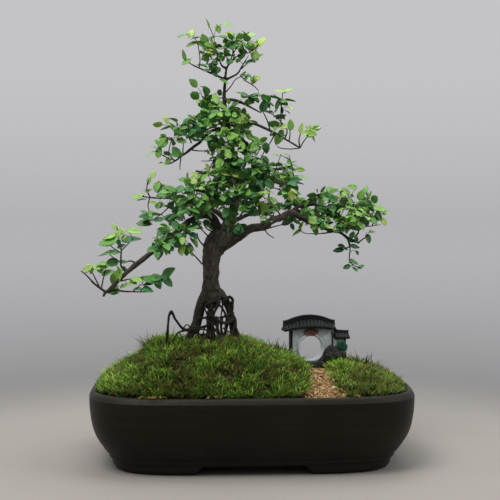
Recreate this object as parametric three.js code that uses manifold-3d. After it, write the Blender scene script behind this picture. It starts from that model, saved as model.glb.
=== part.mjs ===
// Bonsai tree in a shallow rounded-rectangle pot, with a moss mound, a gravel
// path and a miniature moon gate. Millimetres, +Z up, front faces -Y.
// Origin: centre of the pot's footprint, on the surface it stands on.
import * as THREE from 'three';
import { mergeVertices } from 'three/addons/utils/BufferGeometryUtils.js';
import Module from 'manifold-3d';

// ---- driving dimensions ----------------------------------------------------
const POT_HALF_W = 200;        // half width of the pot at its widest
const POT_HALF_D = 150;        // half depth
const POT_EXP = 4.6;           // exponent of the rounded-rectangle outline
const RIM_Z = 95;              // top of the rim
const WALL = 9;                // wall thickness at the rim
const FLOOR_UNDER = 9;         // height of the underside between the feet
const FLOOR_TOP = 16;          // inner floor
const DRAIN_R = 12;            // drainage holes
const DRAIN_X = 85;
const RECESS_X = 69;           // half length of the gap between the feet, front and back
const RECESS_Y = 42;           // the same at the ends
const GAP = 0.35;              // clearance between touching pieces
const MOSS_T = 8;              // thickness of the moss carpet
const SINK = 1.5;              // how far the gravel lies below the moss
const GATE = { x: 83, y: 55, turn: 8 * Math.PI / 180 };
const HOLE_R = 16, HOLE_Z = 129.5;

const wasm = await Module();
wasm.setup();
const { Manifold, Mesh: MMesh } = wasm;

// ---- helpers ---------------------------------------------------------------
function solidFrom(geometry) {
  let g = geometry.clone();
  for (const k of Object.keys(g.attributes)) if (k !== 'position') g.deleteAttribute(k);
  g = mergeVertices(g, 1e-5);
  return new Manifold(new MMesh({
    numProp: 3,
    vertProperties: new Float32Array(g.attributes.position.array),
    triVerts: new Uint32Array(g.index.array),
  }));
}
function geometryFrom(solid) {
  const m = solid.getMesh();
  const g = new THREE.BufferGeometry();
  const n = m.vertProperties.length / m.numProp;
  const p = new Float32Array(n * 3);
  for (let i = 0; i < n; i++) for (let k = 0; k < 3; k++) p[i * 3 + k] = m.vertProperties[i * m.numProp + k];
  g.setAttribute('position', new THREE.BufferAttribute(p, 3));
  g.setIndex(new THREE.BufferAttribute(new Uint32Array(m.triVerts), 1));
  g.computeVertexNormals();
  return g;
}
function largest(solid) {
  const parts = solid.decompose();
  let best = parts[0];
  for (const p of parts) if (p.volume() > best.volume()) best = p;
  return best;
}
function union(list) {
  let out = list[0];
  for (let i = 1; i < list.length; i++) out = out.add(list[i]);
  return out;
}
// closed loft through rings of equal length, capped flat at both ends
function loft(rings) {
  const n = rings[0].length, pos = [], idx = [];
  for (const r of rings) for (const p of r) pos.push(p[0], p[1], p[2]);
  for (let i = 0; i < rings.length - 1; i++) {
    for (let j = 0; j < n; j++) {
      const a = i * n + j, b = i * n + (j + 1) % n, c = a + n, d = b + n;
      idx.push(a, b, d, a, d, c);
    }
  }
  const centre = (r) => r.reduce((s, p) => [s[0] + p[0] / n, s[1] + p[1] / n, s[2] + p[2] / n], [0, 0, 0]);
  const lo = pos.length / 3; pos.push(...centre(rings[0]));
  const hi = lo + 1; pos.push(...centre(rings[rings.length - 1]));
  const last = (rings.length - 1) * n;
  for (let j = 0; j < n; j++) {
    const k = (j + 1) % n;
    idx.push(lo, k, j);
    idx.push(hi, last + j, last + k);
  }
  const g = new THREE.BufferGeometry();
  g.setAttribute('position', new THREE.BufferAttribute(new Float32Array(pos), 3));
  g.setIndex(idx);
  return g;
}
function superRing(a, b, z, n = 48, e = POT_EXP) {
  const out = [];
  for (let i = 0; i < n; i++) {
    const t = 2 * Math.PI * i / n;
    // even spacing round the outline: radial solution of the superellipse
    const c = Math.cos(t), s = Math.sin(t);
    // blend the angle so that corners get their share of points
    const r = 1 / Math.pow(Math.pow(Math.abs(c / a), e) + Math.pow(Math.abs(s / b), e), 1 / e);
    out.push([r * c, r * s, typeof z === 'function' ? z(r * c, r * s) : z]);
  }
  return out;
}
// closed tube along points [x, y, z, radius] with a steady frame
function tube(points, sides, grow = 0) {
  const P = points.map((p) => new THREE.Vector3(p[0], p[1], p[2]));
  const rings = [];
  let ref = new THREE.Vector3(0, 1, 0);
  for (let i = 0; i < P.length; i++) {
    const t = new THREE.Vector3();
    if (i > 0) t.add(P[i].clone().sub(P[i - 1]).normalize());
    if (i < P.length - 1) t.add(P[i + 1].clone().sub(P[i]).normalize());
    t.normalize();
    if (i === 0 && Math.abs(t.y) > 0.9) ref.set(1, 0, 0);
    const u = ref.clone().sub(t.clone().multiplyScalar(ref.dot(t))).normalize();
    const v = t.clone().cross(u);
    ref = u;
    const ring = [];
    for (let k = 0; k < sides; k++) {
      const a = 2 * Math.PI * k / sides;
      const r = points[i][3] + grow;
      const q = P[i].clone().addScaledVector(u, r * Math.cos(a)).addScaledVector(v, r * Math.sin(a));
      ring.push([q.x, q.y, q.z]);
    }
    rings.push(ring);
  }
  if (grow > 0) {
    // run past both ends by the clearance
    const a = P[0].clone().sub(P[1]).normalize().multiplyScalar(grow);
    const b = P[P.length - 1].clone().sub(P[P.length - 2]).normalize().multiplyScalar(grow);
    rings.unshift(rings[0].map((p) => [p[0] + a.x, p[1] + a.y, p[2] + a.z]));
    const l = rings[rings.length - 1];
    rings.push(l.map((p) => [p[0] + b.x, p[1] + b.y, p[2] + b.z]));
  }
  return loft(rings);
}
function ball(c, r, detail = 1, grow = 0) {
  const g = new THREE.OctahedronGeometry(1.06, detail);
  g.scale(r[0] + grow, r[1] + grow, r[2] + grow);
  g.translate(c[0], c[1], c[2]);
  return solidFrom(g);
}
function box(x0, x1, y0, y1, z0, z1) {
  const g = new THREE.BoxGeometry(x1 - x0, y1 - y0, z1 - z0);
  g.translate((x0 + x1) / 2, (y0 + y1) / 2, (z0 + z1) / 2);
  return g;
}

// ---- ground surface --------------------------------------------------------
const AMP = [[-200, 30], [-180, 35], [-154, 47], [-109, 55], [-60, 53], [-10, 52], [30, 36], [60, 25], [76, 14], [104, 14], [118, 22], [140, 28], [165, 27], [200, 18]];
function along(table, x) {
  if (x <= table[0][0]) return table[0][1];
  for (let i = 1; i < table.length; i++) {
    if (x <= table[i][0]) {
      const t = (x - table[i - 1][0]) / (table[i][0] - table[i - 1][0]);
      const s = t * t * (3 - 2 * t);
      return table[i - 1][1] + (table[i][1] - table[i - 1][1]) * s;
    }
  }
  return table[table.length - 1][1];
}
function ground(x, y) {
  const ax = Math.min(1, Math.abs(x) / 191), ay = Math.min(1, Math.abs(y) / 141);
  const rho = Math.min(1, Math.pow(Math.pow(ax, POT_EXP) + Math.pow(ay, POT_EXP), 1 / POT_EXP));
  const f = (1 - Math.pow(ax, 3.5)) * (1 - Math.pow(ay, 2.2)) * (1 - Math.pow(rho, 14));
  return 93 + along(AMP, x) * f;
}

// ---- skeleton of the wood: x, y, z, radius along each limb and root --------
const LIMBS = {
  trunk: [[-50, 2, 195.3, 11.5], [-50, 2, 208.1, 11.3], [-49.4, 0, 221.1, 10.3], [-50, -2, 236.6, 9.7], [-50, -3, 246.8, 10.2], [-48.7, -2, 258.3, 12.3], [-44.8, 0, 268.5, 13.6], [-39.7, 1, 277.4, 12.5]],
  leader: [[-44.8, 0, 267.2, 12.5], [-37.1, 4, 279.9, 11], [-30.5, 8, 288.8, 9.6], [-22.6, 14, 308.1, 6.5], [-17.3, 18, 326.3, 5.7], [-14, 19, 343.1, 5.1], [-14.8, 16, 359.8, 4.7], [-18.8, 10, 376.3, 4.1], [-22.8, 6, 390.1, 3.8], [-26.1, 4, 405.3, 3.4], [-28, 4, 419.4, 3.2], [-30.5, 6, 436.1, 2.9], [-32.3, 9, 450.5, 2.6], [-32.9, 10, 462.1, 2.3], [-31.7, 9, 474.7, 2], [-31.1, 7, 483.4, 1.8], [-29.8, 5, 492.1, 1.5], [-27.9, 4, 498.3, 1.2]],
  right: [[-41, -2, 267.2, 10.5], [-27, -5, 275, 8.2], [-13.2, -9, 282, 7], [-0.6, -13, 289.1, 5.5], [14.5, -15, 292.3, 5.1], [27.3, -14, 299.2, 4.8], [39, -10, 303, 4.5], [52.3, -4, 309.4, 4.1], [64.4, 2, 304.9, 3.7], [80.5, 8, 296.5, 3.3], [94, 12, 291.3, 3], [106, 15, 286.7, 2.6], [118.1, 17, 284.1, 2.3], [128.7, 18, 276.9, 1.9], [136.7, 19, 273, 1.7], [143.4, 20, 270.3, 1.4]],
  lowleft: [[-40.9, 3, 285.1, 6.6], [-48.7, -4, 304.3, 5.6], [-64, -14, 305.6, 4.2], [-76.5, -23, 299.3, 3.9], [-88.9, -32, 289.4, 3.7], [-103.6, -42, 276.5, 3.4], [-119.3, -52, 263.8, 3.2], [-131.3, -59, 254.3, 3.2], [-140.7, -64, 247.2, 3.5], [-150.1, -69, 239.5, 2.7], [-160.7, -74, 229.5, 2.4], [-170, -79, 220.2, 2.2], [-177.4, -83, 213.3, 1.9], [-179.7, -84, 209.7, 1.7]],
  leftmid: [[-27.4, 4, 419.4, 3.2], [-39.6, -2, 416.3, 2.6], [-51.2, -9, 411.9, 2.3], [-63.8, -17, 398.7, 2.2], [-76.4, -24, 388.2, 1.9], [-86.3, -29, 380.4, 1.6], [-95, -33, 374, 1.3]],
  rightmid: [[-29.2, 6, 432.3, 3], [-12.7, 2, 428.2, 2.4], [-0.1, -3, 425.3, 2.2], [12.3, -9, 419.7, 2.1], [24.7, -14, 413.7, 1.9], [37, -19, 406.4, 1.7], [49.2, -24, 398.6, 1.4], [61.5, -28, 390.9, 1.2]],
  backlow: [[-17.3, 18, 326.3, 4.6], [-11.6, 32, 339.5, 4], [-16.2, 50, 347.9, 3.6], [-26.4, 66, 353.7, 3.1], [-39.5, 80, 359.5, 2.6], [-55.6, 92, 364, 2.1], [-69.2, 102, 367.1, 1.5]],
  backright: [[-14.7, 19, 347, 3.8], [-1, 34, 357.9, 3.2], [15.6, 50, 363.8, 2.8], [32.5, 64, 367.1, 2.3], [49.5, 76, 370.3, 1.8], [62.6, 86, 374.8, 1.3]],
  frontright: [[-16, 17, 357.3, 3.5], [-3.7, 4, 360.7, 3.1], [8.3, -12, 356.3, 2.7], [18.8, -28, 350.7, 2.3], [30.2, -44, 347.7, 1.9], [42.6, -60, 344.8, 1.3]],
  frontleft: [[-20, 15, 315.9, 4], [-30.7, 0, 326, 3.4], [-46.3, -16, 333.3, 3], [-61.5, -32, 336.7, 2.6], [-76.3, -46, 337.6, 2.2], [-90.8, -58, 337.3, 1.7], [-102.8, -66, 335.9, 1.3]],
  leftpad: [[-26.6, 10, 297.8, 4.6], [-43.2, 18, 310.7, 4], [-60, 24, 319.8, 2.5], [-76.9, 29, 325.1, 2.2], [-95.2, 33, 327.7, 1.8], [-113.5, 36, 329.1, 1.4], [-129.2, 38, 330.4, 1]],
  backmid: [[-24.1, 6, 395.3, 3.4], [-17.1, 22, 406.6, 2.8], [-11.3, 38, 415.6, 2.4], [-10.8, 52, 423.3, 2], [-15.7, 64, 430.9, 1.4]],
  uppleft: [[-26.7, 4, 410.4, 2.9], [-38.1, 12, 426.4, 2.4], [-48.3, 18, 439.7, 2], [-56, 22, 450.4, 1.6], [-59.8, 24, 457, 1.2]],
  uppright: [[-32.3, 9, 454.3, 2.6], [-20.2, 6, 454, 2.1], [-8.9, 2, 449.8, 1.8], [2.4, -3, 443, 1.5], [12.4, -7, 437.6, 1.1]],
  rightback: [[52.3, -4, 309.4, 3], [62.9, 14, 317.2, 2.6], [75.1, 32, 320, 2.2], [90, 48, 320.1, 1.8], [106.3, 62, 317.6, 1.3]],
  lowback: [[-30.5, 8, 288.8, 4.2], [-22.3, 26, 297.7, 3.6], [-11.1, 44, 302.9, 3.1], [2.8, 60, 308.2, 2.6], [17.1, 76, 310.9, 2.1], [28.8, 90, 312.3, 1.5]],
  apexleft: [[-31, 8, 479.7, 1.9], [-40.7, 6, 484.5, 1.5], [-56, 2, 490.2, 1.3], [-72.5, -3, 497.1, 1.1], [-81.4, -6, 501.6, 0.9]],
  apextop: [[-29.2, 5, 494.6, 1.7], [-35.6, 3, 496.9, 1.4], [-39.5, 2, 504.3, 1.2], [-42, 3, 512, 1], [-44.5, 5, 522.5, 0.9], [-45.7, 6, 535.3, 0.8], [-41.9, 7, 545.7, 0.7], [-36.1, 8, 551, 0.6]],
  apexright: [[-27.9, 4, 498.3, 1.6], [-24.8, 3, 502, 1.4], [-17.9, 0, 508, 1.2], [-9, -3, 511.4, 1], [-0.2, -5, 513.1, 0.8]],
  apexmid: [[-31, 8, 479.7, 1.7], [-16.4, 4, 486.9, 1.4], [-11.4, 1, 494.2, 1.2], [-6.5, -2, 502.7, 1], [-1.5, -4, 510, 0.8]],
  ll_tip: [[-176.9, -82, 214.4, 1.9], [-187.3, -86, 221.9, 1.5], [-194.2, -88, 228, 1.2]],
  ll_right: [[-171.1, -80, 219.1, 1.8], [-159.3, -78, 215.3, 1.4], [-144.9, -77, 214.5, 1.2], [-129.3, -76, 213.8, 0.9]],
  ll_up: [[-152.5, -70, 237.8, 1.9], [-159.9, -68, 245, 1.5], [-159.9, -66, 264.3, 1.2], [-163, -65, 281.3, 1], [-164.7, -65, 292.2, 0.8]],
  r_down: [[127.4, 18, 278.2, 1.6], [131.2, 17, 265.2, 1.3], [130.3, 15, 253.5, 1], [129.5, 14, 243.2, 0.8]],
  r_up: [[138, 19, 272.9, 1.4], [142.4, 22, 284.6, 1.2], [149.2, 24, 290.5, 1], [161.4, 26, 292.4, 0.9], [173.6, 28, 294.4, 0.7]],
  r_twig: [[112.6, 15, 285.4, 1.5], [91, 9, 282.9, 1.2], [73.7, 4, 283, 1], [63, 0, 287.6, 0.8]],
  legL: [[-53.9, 0, 208.3, 7.4], [-59.6, -2, 200.7, 5.8], [-64.1, -4, 193.2, 4.9], [-67.3, -6, 183.2, 4.6], [-69.9, -7, 173.1, 4.6], [-73.1, -8, 162.9, 4.8], [-76.9, -9, 152.9, 5.5], [-80.7, -10, 140.2, 6.6]],
  legR: [[-46.1, 2, 210.7, 7.2], [-37.2, 2, 205.5, 5.6], [-30.8, 1, 197.8, 4.6], [-26.3, 0, 187.6, 4.1], [-23.1, 0, 176, 4], [-20.6, 0, 164.4, 4], [-18, -1, 153, 4.4], [-14.9, -2, 138.9, 5.3]],
  rootM1: [[-47.5, -3, 202.1, 4.2], [-49.5, -6, 190.8, 3.4], [-52.7, -8, 180.7, 2.8], [-54, -9, 170.6, 2.6], [-53.4, -10, 158, 2.6], [-54, -11, 140.2, 3.5]],
  rootM2: [[-39.9, -6, 202.2, 3.5], [-41.9, -11, 191.2, 2.8], [-45.8, -14, 182.5, 2.4], [-48.3, -15, 171.2, 2.2], [-46.4, -16, 157.3, 2.3], [-45.2, -17, 139.6, 3]],
  rootM3: [[-35.8, 6, 202.6, 3.9], [-35.1, 9, 189.5, 2.9], [-37, 10, 176.5, 2.4], [-40.3, 10, 162.2, 2.2], [-39.6, 9, 149.4, 2.4], [-37.1, 8, 136.5, 3.2]],
  rootRed: [[-27.1, -7, 201, 2.4], [-34.9, -12, 197.6, 2.1], [-42.6, -16, 192.8, 1.9], [-47.7, -18, 186.7, 1.7], [-51.5, -19, 177.9, 1.7], [-54.1, -20, 161.6, 1.7], [-57.9, -21, 140.1, 2.3]],
  rootKn: [[-32.1, -2, 199.4, 3.4], [-26.4, -4, 202.1, 2.9], [-22.6, -5, 198.3, 2.5], [-22.6, -4, 190.5, 2.4], [-27, -2, 181.4, 2.4], [-30.8, -1, 169.7, 2.2], [-32.1, -1, 154.3, 2.3], [-29.6, -2, 137.7, 2.9]],
  rootLoop1: [[-43.7, -8, 197.3, 1.9], [-52.7, -12, 195.7, 1.6], [-58.4, -14, 191.5, 1.4], [-56.5, -14, 183.8, 1.4], [-53.4, -13, 173.6, 1.4], [-59.1, -14, 161, 1.4], [-62.9, -15, 140.7, 1.7]],
  rootLoop2: [[-73.1, -9, 163.1, 2.2], [-81.9, -16, 161.9, 1.9], [-88.1, -21, 165.6, 1.8], [-95.6, -25, 176.2, 1.7], [-99.9, -27, 186.4, 1.7], [-103, -28, 180.2, 1.7], [-104.3, -28, 167.7, 1.8], [-105.6, -28, 147.6, 2.2]],
  rootThin: [[-74.3, -13, 159.7, 1.4], [-84.4, -19, 160.3, 1.3], [-91.9, -23, 158.3, 1.3], [-98.1, -26, 148.5, 1.4]],
  rootCross1: [[-66.7, -9, 173.2, 1.4], [-59.1, -12, 176, 1.3], [-51.5, -13, 178, 1.3], [-42.6, -12, 176.6, 1.3], [-33.5, -7, 177.4, 1.4], [-24.5, -3, 180.2, 1.6]],
  rootBackL: [[-56.4, 8, 201.3, 4.2], [-60.2, 14, 187.9, 3.2], [-62.8, 18, 173.2, 2.7], [-66.7, 21, 157.3, 2.6], [-70.7, 24, 136.1, 3.3]],
  rootBackR: [[-37, 9, 201.1, 3.7], [-30.4, 16, 187.6, 2.9], [-26.4, 20, 172.9, 2.4], [-23.7, 23, 155.6, 2.4], [-19.7, 26, 135.6, 3]],
  rootBackM: [[-47.3, 10, 199.8, 4.2], [-48.5, 18, 183.6, 3], [-51.1, 23, 167.5, 2.5], [-48.5, 26, 151.5, 2.4], [-47.1, 29, 134.1, 3.1]],
};

// centre x, y, z and half sizes of each lobe of a foliage mass
const LEAF_MASS = {
  leaves_apex: [[-35.5, 7, 534.3, 17, 15, 25], [-47.1, 4, 514.7, 16, 17, 15], [-22.9, 1, 504.3, 20, 18, 18], [-5.2, -3, 520.3, 17, 15, 15], [-35.6, 5, 484.4, 24, 22, 16]],
  leaves_apex_left: [[-67.4, -4, 528.5, 14, 13, 15], [-64.9, -2, 503.6, 14, 15, 17]],
  leaves_upper: [[-28.1, -2, 437.9, 28, 30, 18], [-53.4, 20, 446.3, 20, 20, 18], [-10.8, 52, 419.3, 22, 24, 16]],
  leaves_upper_right: [[41.1, -14, 447.2, 17, 17, 17], [14.9, -8, 442.6, 18, 22, 17], [30.9, -16, 406.6, 24, 20, 16], [61.6, -27, 399.7, 20, 18, 17], [39.6, -34, 425.3, 14, 13, 15]],
  leaves_left_mid: [[-103.6, -35, 389.9, 18, 18, 17], [-81.3, -26, 404.3, 18, 20, 19], [-56.2, -12, 402.8, 20, 24, 17], [-91.3, -30, 375.4, 18, 18, 10]],
  leaves_crown_back: [[-47.5, 88, 362.5, 28, 24, 20], [-15.8, 62, 356.2, 30, 26, 20], [19.2, 66, 364.4, 28, 26, 22], [49.7, 78, 373.1, 22, 22, 17]],
  leaves_crown_front: [[-38.7, -14, 334.6, 30, 34, 21], [5.6, -16, 353.6, 28, 30, 22], [38, -56, 344.9, 22, 22, 17], [-12.9, -2, 315.8, 24, 22, 16]],
  leaves_crown_left: [[-77.5, -48, 341.3, 26, 24, 20], [-102.9, -64, 338.4, 20, 20, 17]],
  leaves_pad_left: [[-63.9, 26, 319.8, 24, 24, 17], [-105.6, 34, 327.7, 30, 26, 20], [-133.2, 40, 330.4, 18, 20, 20], [-82, 14, 297.8, 22, 22, 15], [-125.9, 20, 301.7, 20, 20, 14]],
  leaves_pad_right: [[66.1, 20, 322.4, 26, 32, 18], [101.7, 46, 321.4, 26, 26, 18], [123.1, 26, 319.9, 22, 24, 22], [144.6, 20, 313.4, 20, 22, 22], [165.3, 26, 308.2, 18, 18, 20], [93.5, 8, 297.8, 20, 22, 12]],
  leaves_low_back: [[20, 80, 312.3, 26, 22, 18], [-11.1, 46, 305.5, 20, 20, 15], [43.2, 46, 326.7, 22, 24, 18]],
  leaves_right_hanging: [[133.3, 13, 245.8, 15, 14, 10], [119, 14, 262.7, 12, 12, 9]],
  leaves_low_left: [[-163.5, -66, 276.5, 17, 16, 18], [-173.8, -74, 254.9, 17, 16, 14], [-182.6, -84, 238.6, 14, 14, 13], [-162.4, -66, 237.6, 14, 14, 12]],
  leaves_low_right: [[-122.3, -70, 226.8, 19, 16, 11], [-140.2, -76, 219.9, 17, 14, 10], [-103.3, -58, 234.6, 14, 14, 12]],
};

// ---- pot -------------------------------------------------------------------
// inset from the widest outline against height: curved bowl over a stepped foot
const OUTER = [[0, 38], [1.5, 35], [5, 30.4], [12, 26.6], [20, 21.2], [21.4, 19], [28.5, 14.4], [36, 9.6], [46, 5], [60, 2], [74, 0.3], [86, 0], [92, 1], [RIM_Z, 4.6]];
const INNER = [[FLOOR_TOP, 44], [20, 34], [32, 22.6], [48, 14.4], [70, 10.2], [91, 9.6], [RIM_Z, 6.8]];
const outline = (inset, z, n = 40) => superRing(POT_HALF_W - inset, POT_HALF_D - inset, z, n);
let pot;
{
  const body = solidFrom(loft(OUTER.map(([z, i]) => outline(i, z))));
  const hollow = solidFrom(loft([...INNER.map(([z, i]) => outline(i, z)), outline(4.0, RIM_Z + 2)]));
  pot = body.subtract(hollow);
  // recessed underside, leaving a foot ring
  pot = pot.subtract(solidFrom(loft([superRing(POT_HALF_W - 62, POT_HALF_D - 60, -1, 32), superRing(POT_HALF_W - 64, POT_HALF_D - 62, FLOOR_UNDER, 32)])));
  // the ring is cut through at the middle of each side, with sloped ends
  const notch = (hx, y0, y1) => {
    const s = new THREE.Shape([new THREE.Vector2(-hx - 1, -1), new THREE.Vector2(hx + 1, -1), new THREE.Vector2(hx - 8, FLOOR_UNDER), new THREE.Vector2(-hx + 8, FLOOR_UNDER)]);
    const g = new THREE.ExtrudeGeometry(s, { depth: y1 - y0, bevelEnabled: false });
    g.rotateX(Math.PI / 2);
    g.translate(0, y1, 0);
    return g;
  };
  pot = pot.subtract(solidFrom(notch(RECESS_X, -160, -80)));
  pot = pot.subtract(solidFrom(notch(RECESS_X, 80, 160)));
  const side = notch(RECESS_Y, 120, 210);
  side.rotateZ(Math.PI / 2);
  pot = pot.subtract(solidFrom(side));
  const side2 = notch(RECESS_Y, 120, 210);
  side2.rotateZ(-Math.PI / 2);
  pot = pot.subtract(solidFrom(side2));
  for (const s of [-1, 1]) {
    const c = new THREE.CylinderGeometry(DRAIN_R, DRAIN_R, 20, 20);
    c.rotateX(Math.PI / 2);
    c.translate(s * DRAIN_X, 0, FLOOR_UNDER + 3);
    pot = pot.subtract(solidFrom(c));
  }
}

// ---- drainage mesh: a square of plastic net over each hole ------------------
function meshPad(x) {
  let m = solidFrom(box(x - 18, x + 18, -18, 18, FLOOR_TOP + GAP, FLOOR_TOP + GAP + 1.2));
  for (let i = -1; i <= 1; i++) for (let j = -1; j <= 1; j++) {
    m = m.subtract(solidFrom(box(x + i * 11 - 4.5, x + i * 11 + 4.5, j * 11 - 4.5, j * 11 + 4.5, FLOOR_TOP, FLOOR_TOP + 3)));
  }
  return m;
}

// ---- ground: soil, moss, gravel --------------------------------------------
function heightLoft(drop, inset, bottomRings) {
  const A = POT_HALF_W - inset, B = POT_HALF_D - inset, N = 40;
  const rings = [...bottomRings.map(([z, i]) => outline(i, z, N))];
  for (const k of [1, 0.93, 0.8, 0.62, 0.42, 0.2]) rings.push(superRing(A * k, B * k, (x, y) => ground(x, y) - drop, N, 2 + 2.6 * k * k));
  const g = loft(rings);
  // lift the closing centre point onto the surface
  return solidFrom(g);
}
const soilInset = (z) => {
  for (let i = 1; i < INNER.length; i++) if (z <= INNER[i][0]) {
    const t = (z - INNER[i - 1][0]) / (INNER[i][0] - INNER[i - 1][0]);
    return INNER[i - 1][1] + (INNER[i][1] - INNER[i - 1][1]) * t;
  }
  return INNER[INNER.length - 1][1];
};
const wallRings = [FLOOR_TOP + GAP, 20, 32, 48, 70].map((z) => [z, soilInset(z) + 0.55]);
let soil = heightLoft(MOSS_T + 2, 10.4, wallRings);
const soilLifted = soil.add(soil.translate([0, 0, 0.4]));
const carpet = heightLoft(0, 10.6, [[74, 11.6]]).subtract(soilLifted);
const gravelTop = heightLoft(SINK, 10.7, [[74, 11.7]]).subtract(soilLifted);
// outline of the gravel path, seen from above: wide at the rim, waisted, ending at the gate
const PATH_L = [[61, -150], [60, -134], [66, -112], [68, -85], [69, -55], [71, -25], [74, 5], [76, 38]];
const PATH_R = [[110, -150], [109, -134], [104, -112], [100, -85], [98, -55], [100, -25], [104, 5], [105, 38]];
function pathPrism(grow) {
  const pts = [...PATH_L.map(([x, y]) => [x - grow, y]), ...PATH_R.slice().reverse().map(([x, y]) => [x + grow, y])];
  pts[PATH_L.length - 1][1] += grow; pts[PATH_L.length][1] += grow;
  const s = new THREE.Shape(pts.map(([x, y]) => new THREE.Vector2(x, y)));
  const g = new THREE.ExtrudeGeometry(s, { depth: 140, bevelEnabled: false });
  g.translate(0, 0, 50);
  return solidFrom(g);
}
let gravel = gravelTop.intersect(pathPrism(0));
let moss = carpet.subtract(pathPrism(0.4));
// the two carpets part behind the gate
moss = moss.subtract(solidFrom(box(87.7, 88.1, 30, 160, 50, 200)));

// ---- miniature moon gate ---------------------------------------------------
function placed(g) {
  g.rotateZ(GATE.turn);
  g.translate(GATE.x, GATE.y, 0);
  return g;
}
const gateWall = (() => {
  const L = -27, Rr = 29.6, zb = 103.5;
  const s = new THREE.Shape();
  s.moveTo(L, zb); s.lineTo(Rr, zb); s.lineTo(Rr, 153.2);
  for (let i = 1; i <= 8; i++) { const x = Rr + (L - Rr) * i / 8; s.lineTo(x, 156.2 - 3 * Math.pow(x / 30, 2)); }
  s.closePath();
  const h = new THREE.Path();
  for (let i = 0; i <= 24; i++) { const a = -2 * Math.PI * i / 24; if (i === 0) h.moveTo(HOLE_R, HOLE_Z); else if (i < 24) h.lineTo(HOLE_R * Math.cos(a), HOLE_Z + HOLE_R * Math.sin(a)); }
  h.closePath();
  s.holes.push(h);
  const g = new THREE.ExtrudeGeometry(s, { depth: 12, bevelEnabled: false });
  g.rotateX(Math.PI / 2);
  g.translate(0, 6, 0);
  return solidFrom(placed(g));
})();
function roofLoft(x0, x1, top, bot, w, steps) {
  const rings = [];
  for (let i = 0; i <= steps; i++) {
    const x = x0 + (x1 - x0) * i / steps, zt = top(x), zb = bot(x);
    rings.push([[x, -w, zb], [x, w, zb], [x, w, zb + 2.6], [x, 3.6, zt - 5], [x, 2.8, zt], [x, -2.8, zt], [x, -3.6, zt - 5], [x, -w, zb + 2.6]]);
  }
  return solidFrom(placed(loft(rings)));
}
const gateRoof = roofLoft(-36.5, 33.5, (x) => 174 - 9 * Math.pow((x + 1.5) / 35, 2), (x) => 156.6 - 3 * Math.pow(x / 30, 2), 13, 12);
const gateSideRoof = roofLoft(32.6, 52.5, (x) => 153.4 - 1.4 * (x - 32) / 20, (x) => 141.5 - 0.8 * (x - 32) / 20, 10, 2).subtract(gateRoof.translate([0, 0, -0.4])).subtract(gateRoof.translate([0.4, 0.05, 0])).subtract(gateRoof);
const gateSideWall = solidFrom(placed(box(30, 48.5, -4.5, 4.5, 105, 140.2)));
const gatePlaque = (() => {
  const g = new THREE.CylinderGeometry(1, 1, 2.4, 20);
  g.scale(10, 1, 5);
  g.rotateX(0);
  // cylinder axis is Y: the oval stands against the front of the wall
  g.translate(0, -6 - GAP - 1.2, 150.8);
  return solidFrom(placed(g));
})();
const gateStep = (() => {
  const s = new THREE.Shape([[-9, -11], [-5, -15.5], [4, -17], [14, -16], [21, -11.5], [20, -2], [-8, -2]].map(([x, y]) => new THREE.Vector2(x, y)));
  const g = new THREE.ExtrudeGeometry(s, { depth: 9, bevelEnabled: false });
  g.translate(1, -4.6, 103.8);
  return solidFrom(placed(g));
})();
const gateRock = (() => {
  const g = new THREE.IcosahedronGeometry(1, 1);
  const p = g.attributes.position, v = new THREE.Vector3();
  for (let i = 0; i < p.count; i++) {
    v.fromBufferAttribute(p, i);
    const k = 1 + 0.12 * Math.sin(5 * v.x + 2 * v.z) * Math.cos(4 * v.y - v.x) + 0.08 * Math.sin(7 * v.z + 3 * v.y);
    v.multiplyScalar(k);
    p.setXYZ(i, v.x * 12.5 * (1 - 0.25 * v.z), v.y * 7.6 * (1 - 0.2 * v.z), v.z * 15);
  }
  g.translate(25.5, -16.8, 119.5);
  return solidFrom(placed(g)).intersect(solidFrom(placed(box(-40, 90, -60, -6.4, 104.2, 200))));
})();
const gateShrub = (() => {
  const a = placed((() => { const g = new THREE.IcosahedronGeometry(1, 1); g.scale(6.6, 4.4, 7.5); g.translate(40.8, -10.6, 129.5); return g; })());
  const b = placed((() => { const g = new THREE.CylinderGeometry(4.8, 6.2, 20, 10); g.rotateX(Math.PI / 2); g.translate(41.2, -11.6, 115); return g; })());
  return solidFrom(a).add(solidFrom(b)).subtract(solidFrom(placed(box(0, 90, -4.5 - GAP, 20, 60, 200)))).subtract(gateRock.translate([0.45, 0, 0])).subtract(gateRock.translate([0, 0, 0.4])).subtract(gateRock);
})();
const gateStepCut = gateStep.subtract(gateRock.translate([-0.45, 0, 0])).subtract(gateRock.translate([-0.3, -0.4, 0])).subtract(gateRock.translate([-0.3, 0, -0.4])).subtract(gateRock);
// what the gate pieces press out of the ground, with clearance
const gateFoot = union([
  solidFrom(placed(box(-27 - 0.5, 29.9, -6.5, 6.5, 103.0, 220))),
  solidFrom(placed(box(29, 49, -5, 5, 104.5, 220))),
]);
const groundCuts = [gateFoot];
for (const s of [gateStepCut, gateRock, gateShrub]) for (const d of [[0.4, 0, 0], [-0.4, 0, 0], [0, 0.4, 0], [0, -0.4, 0], [0, 0, -0.4], [0, 0, 0.4]]) groundCuts.push(s.translate(d));
const groundCut = union(groundCuts);

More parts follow.
